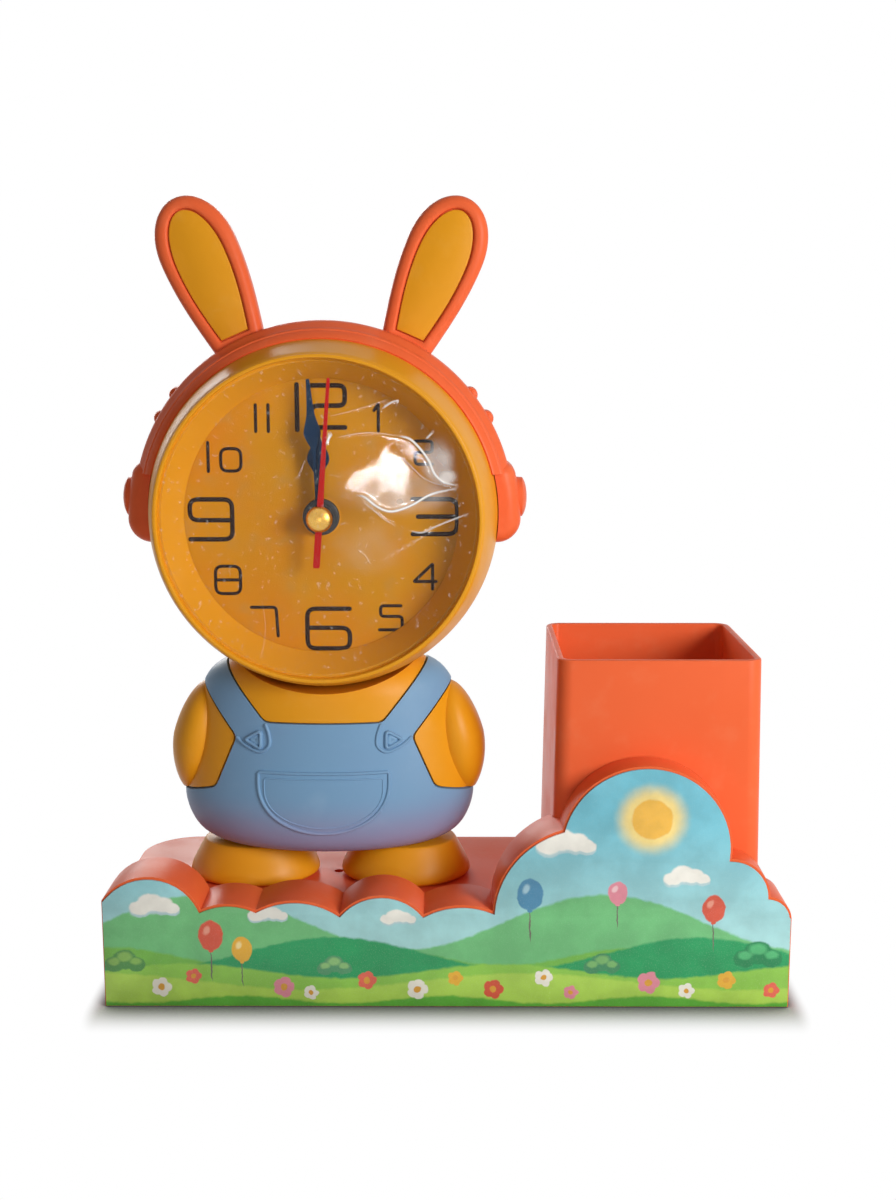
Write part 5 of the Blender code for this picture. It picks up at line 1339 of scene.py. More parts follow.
FINISHES: dict[Slot, Finish] = {
    Slot.CORAL: Moulded("coral_plastic", "#F06A3C", "#E0592E", "#F3946C", roughness=0.38,
                        specular=0.12, dust=0.02),
    Slot.YELLOW: Moulded("warm_yellow_plastic", "#E69D18", "#D68C10", "#EDB256", roughness=0.42,
                         specular=0.24, dust=0.03),
    # The dungarees get a painted lilac shade towards their bottom.
    Slot.BLUE: Moulded("denim_blue_plastic", "#77A1C6", "#7E97BE", "#90B4D2", roughness=0.46,
                       drift_scale=15.0, drift=0.3, specular=0.24, low_painted_shade="#9894BA",
                       low_painted_shade_span=(37.0, 56.0)),
    Slot.DIAL: Moulded("golden_dial_paint", "#D6920E", "#DC840A", "#CA9440", roughness=0.34,
                       drift_scale=32.0, drift=0.7, grain_height=0.02, wear=0.0, dust=0.0,
                       specular=0.1),
    Slot.PRINT: PrintedPicture(),
    Slot.CLEAR: Clear("clear_lens", 0.04, 0.004, 60.0, index=1.12),
    Slot.NAVY: Moulded("navy_hand_paint", "#0C2C4C", "#081E36", "#2A5474", roughness=0.34,
                       wear=0.3, wear_width=0.2, dust=0.0, specular=0.12),
    Slot.RED: Moulded("red_hand_paint", "#C4100E", "#A80C0A", "#D8402E", roughness=0.34,
                      wear=0.2, wear_width=0.15, dust=0.0, specular=0.12),
    Slot.BRASS: Metalwork("aged_brass", "#E3B258", "#94662A", 0.24, drift_scale=420.0),
    Slot.DARK: Moulded("dark_plastic", "#2B2A2C", "#1F1E20", "#4A484A", roughness=0.5),
    Slot.IVORY: Moulded("ivory_plastic", "#DDD2B8", "#C9BB9A", "#EDE6D2", roughness=0.42),
    Slot.STEEL: Metalwork("bright_steel", "#B9BABC", "#8A8C90", 0.26),
    Slot.COPPER: Metalwork("enamelled_copper", "#B8642F", "#7E3C18", 0.34, line_height=0.02),
    Slot.BOARD: Moulded("board_green", "#2E6B45", "#1F5234", "#4C8A62", roughness=0.45,
                        grain_scale=900.0, grain_height=0.02),
    Slot.CELL: Moulded("cell_jacket", "#B88A3C", "#3A3632", "#D8B068", roughness=0.3, coat=0.3),
}

INK = Moulded("dial_ink", "#241006", "#180A04", "#4A2A12", roughness=0.45, wear=0.08,
              wear_width=0.1, dust=0.0, specular=0.2)
# The film shows painted white gleam on its creases and glare patches.
FILM = Clear("crinkled_film", 0.05, 0.015, 160.0, index=1.21, milk_and_gleam=1.0)


@dataclass
class Bench:
    """Gives each piece its finish, slot and body."""

    nodes: dict[str, Piece]
    effects: Effects = field(default_factory=Effects)
    made: dict[str, Material] = field(default_factory=dict)
    softener: Tree | None = None

    def finish(self, look: Finish) -> Material:
        """The material of a finish, made once.

        Args:
            look: the finish.

        Returns:
            The material.
        """
        if look.name not in self.made:
            self.made[look.name] = look.material(self.effects)
        return self.made[look.name]

    def add(self, piece: Piece, slot: Slot, *stands_for: str, body: Body = Body.CLOCK,
            look: Finish | None = None) -> None:
        """Dresses a new piece and lets it ride on a body.

        Args:
            piece: the new piece, in place.
            slot: the material slot it takes its finish from.
            stands_for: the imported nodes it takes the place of.
            body: the body it moves with.
            look: a finish of its own, where it differs from the slot's.
        """
        piece.data.materials.clear()
        piece.data.materials.append(self.finish(look or FINISHES[slot]))
        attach(piece, body.value)
        if stands_for:
            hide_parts(*stands_for)
        LOG.info("piece %s on %s, %d points", piece.name, body.value, len(piece.data.vertices))

    def keep(self, name: str, slot: Slot, width: float) -> None:
        """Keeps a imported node: gives it its finish, rounded edges and even shading.

        Args:
            name: the node's name.
            slot: the material slot of its finish.
            width: how wide its edges are rounded, in millimetres.
        """
        piece = self.nodes[name]
        for place in piece.material_slots:
            place.material = self.finish(FINISHES[slot])
        weld = piece.modifiers.new("joined_points", "WELD")
        weld.merge_threshold = 0.001 * MM
        ease_modifier(piece, width, 2, CRISP_DEGREES)
        even = piece.modifiers.new("even_shading", "NODES")
        if self.softener is None:
            self.softener = self.shading()
        even.node_group = self.softener
        LOG.info("kept %s with the finish %s", name, slot.value)

    @staticmethod
    def shading() -> Tree:
        """Modifier nodes that shade a kept node smoothly between its crisp edges.

        Returns:
            The group.
        """
        tree = bpy.data.node_groups.new("even_shading", "GeometryNodeTree")
        for way in ("INPUT", "OUTPUT"):
            tree.interface.new_socket(name="Geometry", in_out=way,
                                      socket_type="NodeSocketGeometry")
        wiring = Wiring(tree)
        entry = wiring.node("NodeGroupInput")
        faces = wiring.node("GeometryNodeSetShadeSmooth", {"Geometry": entry.outputs[0]},
                            domain="FACE")
        angle = wiring.node("GeometryNodeInputMeshEdgeAngle").outputs["Unsigned Angle"]
        crisp = wiring.joined(wiring.node("FunctionNodeCompare", operation="GREATER_THAN"),
                              angle, math.radians(CRISP_DEGREES))
        edges = wiring.node("GeometryNodeSetShadeSmooth", {
            "Geometry": faces.outputs[0], "Selection": crisp.outputs[0], "Shade Smooth": False,
        }, domain="EDGE")
        wiring.joined(wiring.node("NodeGroupOutput"), edges.outputs[0])
        return tree


# Base and pen cup


@dataclass(frozen=True)
class Base:
    """The base block with its cloud-edged front wall and printed skin, in millimetres."""

    half_width: float = 95.0
    print_face: float = -35.75
    print_back: float = -35.35
    wall_front: float = -35.1
    wall_back: float = -18.75
    back: float = 35.75
    wall: float = 1.8
    cloud_rise: float = 44.1
    print_margin: float = 0.65
    print_side: float = 0.35
    lip: float = 0.95
    top_rounding: float = 0.9
    back_radii: Flat = (7.0, 16.0)
    lobe_skin: float = 2.4
    top_segments: int = 4
    lip_segments: int = 5
    overlap: float = 4.0
    overrun: float = 2.0
    dimple: float = 1.4
    dimple_across: float = 2.4
    dimple_depth: float = 1.2
    print_rounding: float = 0.15
    start: Flat = (0.0, 0.129)
    lobes: tuple[tuple[Flat, Flat], ...] = (
        ((0.0595, 0.283), (0.1432, 0.070)), ((0.1821, 0.109), (0.2232, 0.068)),
        ((0.2811, 0.132), (0.3447, 0.043)), ((0.4105, 0.166), (0.4668, 0.041)),
        ((0.5158, 0.102), (0.5668, 0.064)), ((0.5979, 0.399), (0.6668, 0.592)),
        ((0.7868, 1.0), (0.9105, 0.406)), ((0.9447, 0.356), (0.9679, 0.159)),
        ((0.9874, 0.125), (1.0, 0.020)),
    )
    big_lobe: int = 6
    big_lobe_steps: int = 32
    lobe_steps: int = 14

    def spot(self, shares: Flat) -> Flat:
        """A place on the front from its shares of the base's width and the cloud's rise."""
        return (-self.half_width + shares[0] * 2 * self.half_width,
                LAYOUT.deck + shares[1] * self.cloud_rise)

    def cloud_line(self) -> Outline:
        """Front view of the base with its row of lobes.

        Returns:
            The outline, counter-clockwise.
        """
        start = self.spot(self.start)
        top: Outline = []
        for index, (crest, end) in enumerate(self.lobes):
            steps = self.big_lobe_steps if index == self.big_lobe else self.lobe_steps
            top += arc_through(start, self.spot(crest), self.spot(end), steps)
            start = self.spot(end)
        top.append(start)
        return [(-self.half_width, 0.0), (self.half_width, 0.0)] + top[::-1]

    def deck_line(self, front: float) -> Outline:
        """Plan of the deck from a front line to the rounded back."""
        radii = (0.0, 0.0, *self.back_radii)
        return rounded_box(-self.half_width, front, self.half_width, self.back, radii, 12)

    def shell(self, cup: "PenCup") -> Piece:
        """The hollow block with its cloud wall and the dimple between the feet.

        Args:
            cup: the pen cup, whose room is cut out of the deck.

        Returns:
            The shell.
        """
        deck = prism([self.deck_line(self.wall_back - self.overlap)], 0.0, LAYOUT.deck)
        round_level_edges(deck, LAYOUT.deck, self.top_rounding, self.top_segments)
        shell = stand("base", deck)
        wall = prism([self.cloud_line()], self.wall_front, self.wall_back)
        for depth in (self.wall_front, self.wall_back):
            round_level_edges(wall, depth, self.lip, self.lip_segments, above=self.lip)
        carve(shell, Carve.JOIN, wall, LAYOUT.front)
        hollow = inset(self.deck_line(self.wall_front), self.wall)
        carve(shell, Carve.CUT, prism([hollow], -self.overrun, LAYOUT.deck - self.wall))
        before, (crest, after) = self.lobes[self.big_lobe - 1][1], self.lobes[self.big_lobe]
        centre, radius = circle_through(*(self.spot(share) for share in (before, crest, after)))
        core = prism([circle(radius - self.lobe_skin, FULL_ROUND, centre)],
                     self.wall_front + self.lobe_skin, self.wall_back + self.overrun)
        carve(shell, Carve.CUT, core, LAYOUT.front)
        carve(shell, Carve.CUT, cup.room())
        middle = (LAYOUT.figure_x + self.dimple_across, LAYOUT.figure_y)
        dimple = circle(self.dimple, SMALL_ROUND, middle)
        floor, over = LAYOUT.deck - self.dimple_depth, LAYOUT.deck + self.overrun / 2
        return carve(shell, Carve.CUT, prism([dimple], floor, over))

    def skin(self) -> Piece:
        """The printed skin inside the lip of the front.

        Returns:
            The skin.
        """
        reach, side = self.half_width - self.print_side, self.print_margin + 0.01
        line = [(math.copysign(reach, x) if abs(x) > self.half_width - side else x,
                 self.print_side if y < side else y)
                for x, y in inset(self.cloud_line(), self.print_margin)]
        plate = prism([line], self.print_face, self.print_back)
        round_level_edges(plate, self.print_face, self.print_rounding, 2)
        return stand("printed_front", plate, LAYOUT.front)

    def build(self, bench: Bench, cup: "PenCup") -> None:
        """Makes and dresses the base for a pen cup."""
        bench.add(self.shell(cup), Slot.CORAL, "base_shell")
        bench.add(self.skin(), Slot.PRINT, "front_print")


@dataclass(frozen=True)
class PenCup:
    """The square pen cup with rounded corners, in millimetres."""

    centre: Flat = (58.9, 3.75)
    half_width: float = 28.3
    top: float = 96.2
    foot: float = 2.5
    draft: float = 1.4
    corner: float = 4.5
    wall: float = 1.9
    floor: float = 4.4
    rim: tuple[Flat, ...] = (
        (0.55, 0.0), (0.2, 0.12), (0.04, 0.4), (0.0, 0.8), (0.0, 1.1), (0.04, 1.5), (0.2, 1.78),
        (0.55, 1.9),
    )
    floor_bend: tuple[Flat, ...] = ((1.0, 0.0), (0.2, 0.4), (0.0, 1.2))
    wall_shares: Spot = (0.25, 0.5, 0.75)
    foot_edge: float = 0.5
    inner_level: float = 60.0
    room_below: float = 4.0
    room_top: float = 80.0

    def ring(self, height: float, inward: float) -> list[Spot]:
        """The cup's square at a height.

        Args:
            height: the height over the table.
            inward: how far it is moved inwards.

        Returns:
            The ring of points.
        """
        half = self.half_width + self.draft * (self.top - height) / (self.top - self.foot) - inward
        corner = max(self.corner - inward, 1.0)
        x, y = self.centre
        box = rounded_box(x - half, y - half, x + half, y + half, (corner,) * 4, 10)
        return [(a, b, height) for a, b in box]

    def room(self) -> Shape:
        """The room that the cup needs in the deck."""
        return loft([self.ring(LAYOUT.deck - self.room_below, -GAP), self.ring(self.room_top, -GAP)])

    def build(self, bench: Bench) -> None:
        """Makes and dresses the cup.

        Args:
            bench: where it is dressed.
        """
        steps = [(self.foot, self.foot_edge), (self.foot + self.foot_edge, 0.0)]
        steps += [(self.foot + share * (self.top - self.foot), 0.0) for share in self.wall_shares]
        steps += [(self.top - drop, inward) for drop, inward in self.rim]
        steps += [(self.inner_level, self.wall)]
        steps += [(self.floor + rise, self.wall + inward) for rise, inward in self.floor_bend]
        cup = loft([self.ring(height, inward) for height, inward in steps])
        bench.add(stand("pen_cup_body", cup), Slot.CORAL, "pen_cup")


# Figure


@dataclass(frozen=True)
class Figure:
    """Body, arms, dungarees and feet, in millimetres from the foot of the body."""

    half_width: float = 42.8
    half_depth: float = 23.6
    height: float = 58.0
    profile: tuple[Flat, ...] = (
        (0.66, 0.0), (0.79, 0.018), (0.895, 0.062), (0.963, 0.135), (1.0, 0.235), (0.988, 0.35),
        (0.952, 0.49), (0.912, 0.63), (0.877, 0.75), (0.84, 0.84), (0.745, 0.915),
        (0.56, 0.968), (0.30, 0.993),
    )
    cloth: float = 1.6
    recess: float = 0.3
    seam: float = 0.5
    waist: float = 15.2
    armhole_corner: Flat = (31.5, 19.2)
    armhole_in: float = 24.9
    bib: Flat = (16.8, 39.1)
    strap_width: float = 9.1
    strap_slope: float = 1.2
    arm_half: Spot = (7.9, 11.0, 17.0)
    arm_out: float = 38.1
    arm_height: float = 30.6
    arm_taper: float = 0.16
    arm_hand_taper: float = 0.2
    arm_tilt: float = 10.5
    foot_half_spacing: float = 22.6
    foot_radius: float = 19.2
    foot_height: float = 11.1
    foot_depth_share: float = 0.82
    foot_profile: tuple[Flat, ...] = (
        (0.93, 0.0), (1.0, 0.10), (0.975, 0.32), (0.895, 0.60), (0.81, 0.87), (0.77, 0.975),
        (0.74, 1.0),
    )
    pocket_half_width: float = 18.6
    pocket_top: float = 25.2
    pocket_bottom: float = 7.5
    tab: tuple[Flat, ...] = (
        (16.3, 38.6), (15.3, 35.6), (15.4, 32.7), (17.9, 30.9), (21.2, 31.9), (23.5, 33.3),
        (24.7, 34.4),
    )
    buckle: tuple[Flat, ...] = ((22.4, 34.1), (17.7, 36.9), (17.7, 31.7))
    fine: int = 112
    curve_steps: int = 4
    cloth_bend: float = 1.6
    leg_hole: float = 24.9
    leg_room: float = 3.0
    cloth_edge: float = 0.28
    cloth_crease: float = 50.0
    pocket_shoulder: float = 3.0
    pocket_fullness: float = 0.92
    pocket_corner: float = 0.5
    stitch_inset: float = 1.7

    def share_at(self, height: float) -> float:
        """The body's width share at a height."""
        return read_off(eased(self.profile, self.curve_steps), height / self.height)

    @staticmethod
    def flattened(shape: Shape, share: float) -> Shape:
        """A turned shape made less deep from front to back."""
        return moved(shape, Matrix.Diagonal((1.0, share, 1.0, 1.0)))

    def barrel(self, sink: float) -> Shape:
        """The body's rounded barrel.

        Args:
            sink: how far its surface is sunk all over.

        Returns:
            The closed shape.
        """
        across, through = self.half_width - sink, self.half_depth - sink
        tall = self.height - 2 * sink
        line = [(across * share, sink + tall * level)
                for share, level in eased(self.profile, self.curve_steps)]
        shape = lathe([(0.0, line[0][1]), *line, (0.0, sink + tall)], self.fine, closed=False)
        return self.flattened(shape, through / across)

    def through_body(self, outlines: Sequence[Outline]) -> Shape:
        """Upright outlines run through the body from front to back, in the front view's frame."""
        return gathered([prism([line], -self.half_width, self.half_width) for line in outlines])

    def cloth_corners(self) -> Outline:
        """The right half of the dungarees in front view.

        Returns:
            The corners from the hem up to the bib.
        """
        reach, slope = self.half_width, self.strap_slope
        strap_rise = self.strap_width * math.hypot(1.0, slope)
        top = self.bib[1] + slope * (self.armhole_in - self.bib[0]) - strap_rise
        return [
            (reach + 1.0, -1.0), (reach + 1.0, self.waist), self.armhole_corner,
            (self.armhole_in, top), (self.armhole_in + reach, top + slope * reach),
            (self.bib[0] + reach, self.bib[1] + slope * reach), self.bib,
        ]

    def cloth_line(self) -> Outline:
        """Front view of the dungarees with eased armholes and bib corners."""
        right = self.cloth_corners()
        return rounded_path(right + mirrored(right), self.cloth_bend, closed=True, steps=4)

    def bare_lines(self) -> list[Outline]:
        """Front views of the bare chest and the bare sides.

        Returns:
            The outlines.
        """
        waist, corner, armhole, strap, collar, bib = self.cloth_corners()[1:7]
        chest = [bib, collar, (-collar[0], collar[1]), (-bib[0], bib[1])]
        side = [waist, (strap[0], waist[1]), strap, armhole, corner]
        return [rounded_path(inset(line, self.seam), self.cloth_bend, True, 4)
                for line in (chest, side, mirrored(side))]

    def arm(self, side: Side) -> Shape:
        """One short arm that hugs the body.

        Args:
            side: left or right.

        Returns:
            The closed shape.
        """
        shape = bmesh.new()
        bmesh.ops.create_uvsphere(shape, u_segments=56, v_segments=36, radius=1.0)
        for point in shape.verts:
            high, low = max(point.co.z, 0.0), max(-point.co.z, 0.0)
            point.co.x *= 1.0 - self.arm_taper * high - self.arm_hand_taper * low ** 2
        bmesh.ops.scale(shape, vec=self.arm_half, verts=shape.verts)
        moved(shape, Matrix.Rotation(-side.value * math.radians(self.arm_tilt), 4, "Y"))
        return moved(shape, Matrix.Translation((side.value * self.arm_out, 0.0, self.arm_height)))

    def saddled(self, piece: Piece) -> Piece:
        """A piece of the body after the head has taken its room out of the shoulders."""
        drum = prism([circle(LAYOUT.saddle_radius, FULL_ROUND)], *LAYOUT.saddle_span)
        return carve(piece, Carve.CUT, drum, LAYOUT.head)

    def on_front(self, across: float, up: float) -> Vector:
        """A point of the body's front.

        Args:
            across: how far right of its middle.
            up: the height over its foot.

        Returns:
            The point.
        """
        share = self.share_at(up)
        inside = max(1.0 - (across / (self.half_width * share)) ** 2, 0.02)
        return Vector((across, -self.half_depth * share * math.sqrt(inside), up))

    def over_front(self, x: float, y: float, rise: float) -> Vector:
        """A point over the body's front.

        Args:
            x: how far right of its middle.
            y: the height over its foot.
            rise: the height over its surface.

        Returns:
            The point.
        """
        here, step = self.on_front(x, y), 0.2
        along, upward = self.on_front(x + step, y) - here, self.on_front(x, y + step) - here
        return here + along.cross(upward).normalized() * rise

    def torso(self) -> Piece:
        """The yellow body with its arms, seen where the dungarees leave it bare.

        Returns:
            The body.
        """
        skin = stand("torso", self.barrel(self.recess), LAYOUT.figure)
        for side in Side:
            carve(skin, Carve.JOIN, self.arm(side), LAYOUT.figure)
        bare = self.through_body(self.bare_lines())
        carve(skin, Carve.KEEP, bare, LAYOUT.figure @ LAYOUT.front)
        carve(skin, Carve.JOIN, self.barrel(self.cloth + GAP), LAYOUT.figure)
        return self.saddled(skin)

    def dungarees(self) -> Piece:
        """The blue dungarees as one shell over the body.

        Returns:
            The dungarees.
        """
        cloth = stand("dungarees", self.barrel(0.0), LAYOUT.figure)
        carve(cloth, Carve.CUT, self.barrel(self.cloth), LAYOUT.figure)
        low, high = -self.leg_room, self.cloth + 1.0
        legs = lathe([(0.0, low), (self.leg_hole, low), (self.leg_hole, high), (0.0, high)],
                     HALF_ROUND, closed=False)
        self.flattened(legs, self.half_depth / self.half_width)
        carve(cloth, Carve.CUT, legs, LAYOUT.figure)
        front = self.through_body([self.cloth_line()])
        carve(cloth, Carve.KEEP, front, LAYOUT.figure @ LAYOUT.front)
        self.saddled(cloth)
        ease_modifier(cloth, self.cloth_edge, 3, self.cloth_crease)
        return cloth

    def pocket_line(self, inward: float) -> Outline:
        """Front view of the pocket: a bowl with a straight top.

        Args:
            inward: how far it is moved inwards.

        Returns:
            The outline, from the right shoulder down and round.
        """
        half, crown = self.pocket_half_width - inward, self.pocket_top - inward
        shoulder, bit = crown - self.pocket_shoulder, self.pocket_corner
        deep = shoulder - (self.pocket_bottom + inward)
        bowl = [(half * math.cos(turn), shoulder - deep * math.sin(turn) ** self.pocket_fullness)
                for turn in (math.pi * step / 40 for step in range(41))]
        top = [(half * step / 8, crown) for step in range(-7, 8)]
        return [*bowl, (-half, crown - bit), (-half + bit, crown), *top, (half - bit, crown),
                (half, crown - bit)]

    def pocket(self) -> Shape:
        """The pocket's edge and its finer stitched line.

        Returns:
            The shape.
        """
        lines = ((0.0, 0.50, 0.50, 0.5), (self.stitch_inset, 0.24, 0.22, 0.4))
        return gathered([
            ridge(self.pocket_line(inward), width, height, sink, self.over_front, closed=True)
            for inward, width, height, sink in lines
        ])

    def strap_tabs(self) -> Shape:
        """The curved tab under each strap."""
        lines = [eased([(side.value * x, y) for x, y in self.tab], 4) for side in Side]
        return gathered([ridge(line, 0.5, 0.55, 0.5, self.over_front) for line in lines])

    def buckles(self) -> Shape:
        """The small triangle on each strap, with its raised middle.

        Returns:
            The shape.
        """
        shapes = []
        for side in Side:
            corners = [(side.value * x, y) for x, y in self.buckle]
            total_x, total_y = (sum(values) for values in zip(*corners))
            inner = [((x * 2 + total_x) / 5, (y * 2 + total_y) / 5) for x, y in corners]
            outer_line, inner_line = (rounded_path(corners, 1.3, True, 5),
                                      rounded_path(inner, 0.5, True, 4))
            shapes.append(ridge(outer_line, 0.55, 0.9, 0.5, self.over_front, closed=True))
            shapes.append(ridge(inner_line, 0.75, 0.5, 0.5, self.over_front, closed=True))
        return gathered(shapes)

    def foot(self, side: Side) -> Piece:
        """One round foot, flattened front to back.

        Args:
            side: left or right.

        Returns:
            The foot.
        """
        line = [(self.foot_radius * share, self.foot_height * level)
                for share, level in eased(self.foot_profile, self.curve_steps)]
        shape = lathe([(0.0, 0.0), *line, (0.0, self.foot_height)], HALF_ROUND + 24, closed=False)
        place = Matrix.Translation((LAYOUT.figure_x + side.value * self.foot_half_spacing,
                                    LAYOUT.figure_y, LAYOUT.deck + GAP))
        return stand(f"foot_{side.word}_piece", self.flattened(shape, self.foot_depth_share), place)

    def build(self, bench: Bench) -> None:
        """Makes and dresses the figure below the head.

        Args:
            bench: where the pieces are dressed.
        """
        for side in Side:
            bench.add(self.foot(side), Slot.YELLOW, f"foot_{side.word}")
        bench.add(self.torso(), Slot.YELLOW, "torso_front", "torso_back")
        bench.add(self.dungarees(), Slot.BLUE, "dungarees_front", "dungarees_back")
        for name, shape in (("pocket", self.pocket()), ("strap_tabs", self.strap_tabs()),
                            ("strap_buckles", self.buckles())):
            bench.add(stand(name, shape, LAYOUT.figure), Slot.BLUE)


# Head


@dataclass(frozen=True)
class Head:
    """The clock's round head case with its headband and ear cups, in the head's frame."""

    rim_radius: float = 44.95
    lens_bore: float = 43.85
    bezel_depth: float = 20.0
    depth: float = 36.0
    drum_wall: float = 2.0
    bezel: tuple[Flat, ...] = (
        (0.0, 0.03), (0.12, 0.08), (0.34, 0.25), (0.62, 0.50), (0.86, 0.78), (0.97, 0.96),
        (1.0, 1.0),
    )
    lens_edge: tuple[Flat, ...] = ((0.12, 0.06), (0.35, 0.0))
    rim_edge: tuple[Flat, ...] = ((0.4, 0.0), (0.12, 0.12))
    drum_edge: float = 0.4
    cone_wall: float = 1.6
    cone_edge: float = 0.2
    ledge_depth: float = 3.1
    ledge_width: float = 0.85
    view_radius: float = 38.3
    cone_depth: float = 12.2
    band_inner: float = 49.64
    band_outer: float = 54.1
    band_near: float = 19.7
    band_far: float = 33.9
    band_rounding: float = 1.6
    band_lip: float = 14.6
    band_foot: float = 11.5
    band_lip_edge: tuple[Flat, ...] = ((0.45, 0.0), (1.3, 0.35))
    band_bead: tuple[Flat, ...] = ((51.25, 16.7), (51.6, 16.8), (51.9, 17.25), (51.8, 17.8))
    band_shoulder: tuple[Flat, ...] = ((1.84, -0.9), (0.72, 0.25), (0.16, 1.28), (0.0, 2.4))
    band_corner_shares: tuple[Flat, ...] = ((0.0, 1.0), (0.13, 0.5), (0.5, 0.13), (1.0, 0.0))
    band_under: Spot = (19.0, 17.5, 16.0)
    bezel_gap: float = 0.04
    rib_angles: Flat = (51.2, 59.8)
    rib_radius: float = 2.3
    rib_length: float = 8.0
    rib_sink_share: float = 0.42
    rib_end_shares: tuple[Flat, ...] = ((0.0, 0.0), (0.55, 0.0), (0.88, 0.22), (1.0, 0.6))
    cup_near: float = 18.3
    cup_far: float = 35.3
    cup_top: float = 14.8
    cup_bottom: float = -8.5
    cup_outer: float = 56.0
    cup_corner: float = 6.8
    cup_rounding: float = 4.4
    cup_crease: float = 50.0
    cap_radius: float = 5.8
    cap_height: float = 1.9
    cap_rise: float = 4.2
    cap_foot: float = 1.8
    cap_shares: tuple[Flat, ...] = ((0.0, 1.0), (0.25, 0.98), (0.5, 0.88), (0.72, 0.70),
                                    (0.88, 0.48), (0.97, 0.28))

    def bezel_line(self) -> Outline:
        """The bezel's outer side.

        Returns:
            Its radii and depths, from the rim to the drum.
        """
        flare = LAYOUT.drum_radius - self.rim_radius
        return [(self.rim_radius + flare * share, self.bezel_depth * level)
                for share, level in eased(self.bezel, 4)]

    def case(self) -> Piece:
        """Rim, bezel and drum in one moulding, with the cone that leads in to the dial.

        Returns:
            The case.
        """
        edge, cone_edge, wall = self.drum_edge, self.cone_edge, self.cone_wall
        ledge, outside = self.lens_bore - self.ledge_width, LAYOUT.drum_radius
        inside = outside - self.drum_wall
        line = [*((self.lens_bore + out, depth) for out, depth in self.lens_edge),
                *((self.rim_radius - inward, depth) for inward, depth in self.rim_edge),
                *self.bezel_line(), (outside, self.depth - edge), (outside - edge, self.depth),
                (inside, self.depth), (inside, self.bezel_depth),
                (ledge + wall, self.ledge_depth + wall), (self.view_radius + wall, self.cone_depth),
                (self.view_radius + cone_edge, self.cone_depth),
                (self.view_radius, self.cone_depth - cone_edge),
                (ledge - cone_edge, self.ledge_depth + 0.3), (ledge, self.ledge_depth),
                (self.lens_bore, self.ledge_depth), (self.lens_bore, 0.3)]
        return stand("head_drum", lathe(line), LAYOUT.head)

    def ribs(self) -> Shape:
        """The short ribs that lie across the band over the ear cups.

        Returns:
            The shape.
        """
        half, r = self.rib_length / 2, self.rib_radius
        near = [(r * share, -half + r * rise) for share, rise in self.rib_end_shares]
        line = near + [(radius, -height) for radius, height in reversed(near)]
        middle = (self.band_near + self.band_far) / 2
        shapes = []
        for side in Side:
            for angle in self.rib_angles:
                x, y = polar(self.band_outer - r * self.rib_sink_share, 90.0 - side.value * angle)
                rib = lathe(line, SMALL_ROUND, closed=False)
                shapes.append(moved(rib, Matrix.Translation((x, y, middle))))
        return gathered(shapes)

    def band(self) -> Piece:
        """The headband: a rounded strip over the drum, cut level over the ear cups, with ribs.

        Returns:
            The band.
        """
        r, inner, outer, lip = self.band_rounding, self.band_inner, self.band_outer, self.band_lip
        bezel, gap = self.bezel_line(), self.bezel_gap
        flare = read_off(bezel, lip) + gap
        section = [*((flare + out, lip + depth) for out, depth in self.band_lip_edge),
                   *self.band_bead,
                   *((outer - drop, self.band_near + depth) for drop, depth in self.band_shoulder),
                   *((outer - r * drop, self.band_far - r * rise)
                     for drop, rise in self.band_corner_shares),
                   (inner, self.band_far), (inner, self.bezel_depth),
                   *((read_off(bezel, depth) + gap, depth) for depth in self.band_under),
                   (flare, lip + 0.3)]
        shape = lathe(section, FULL_ROUND + 48)
        cut = bmesh.ops.bisect_plane(
            shape, geom=[*shape.verts, *shape.edges, *shape.faces], dist=1e-4,
            plane_co=(0.0, self.band_foot, 0.0), plane_no=(0.0, -1.0, 0.0), clear_outer=True,
        )
        edges = [item for item in cut["geom_cut"] if isinstance(item, bmesh.types.BMEdge)]
        bmesh.ops.holes_fill(shape, edges=edges)
        band = stand("headband_strip", shape, LAYOUT.head)
        return carve(band, Carve.JOIN, self.ribs(), LAYOUT.head)

    def cup_line(self) -> Outline:
        """Front view of the right ear cup, from deep inside the drum.

        Returns:
            The outline, counter-clockwise.
        """
        inner, outer, low, top = self.band_inner * 0.8, self.cup_outer, self.cup_bottom, self.cup_top
        foot, corner = outer - self.cup_corner, outer - self.cup_corner * 0.27
        flank, brow = (outer, low + self.cup_corner * 1.15), (outer - 1.4, top - 4.0)
        shoulder = (outer - 5.6, top)
        side = (outer - 0.35, (flank[1] + brow[1]) / 2)
        return [
            (inner, low),
            *arc_through((foot, low), (corner, low + self.cup_corner * 0.31), flank, 12),
            *arc_through(flank, side, brow, 12),
            *arc_through(brow, (outer - 2.9, top - 1.1), shoulder, 8),
            shoulder, (inner, top),
        ]

    def ear_cup(self, side: Side) -> Piece:
        """One ear cup: a cushion on the side of the drum.

        Args:
            side: left or right.

        Returns:
            The cup.
        """
        r, near, far = self.cup_rounding, self.cup_near, self.cup_far
        levels = [(r * (1 - math.sin(t)), near + r * (1 - math.cos(t))) for t in quarter(7)]
        levels += [(inward, near + far - depth) for inward, depth in levels[::-1]]
        rings = [[(side.value * x, y, depth) for x, y in inset(self.cup_line(), inward)]
                 for inward, depth in levels]
        cup = stand(f"ear_cup_{side.word}", loft(rings), LAYOUT.head, self.cup_crease)
        drum = prism([circle(self.band_inner, FULL_ROUND)], *LAYOUT.drum_span)
        return carve(cup, Carve.CUT, drum, LAYOUT.head, self.cup_crease)

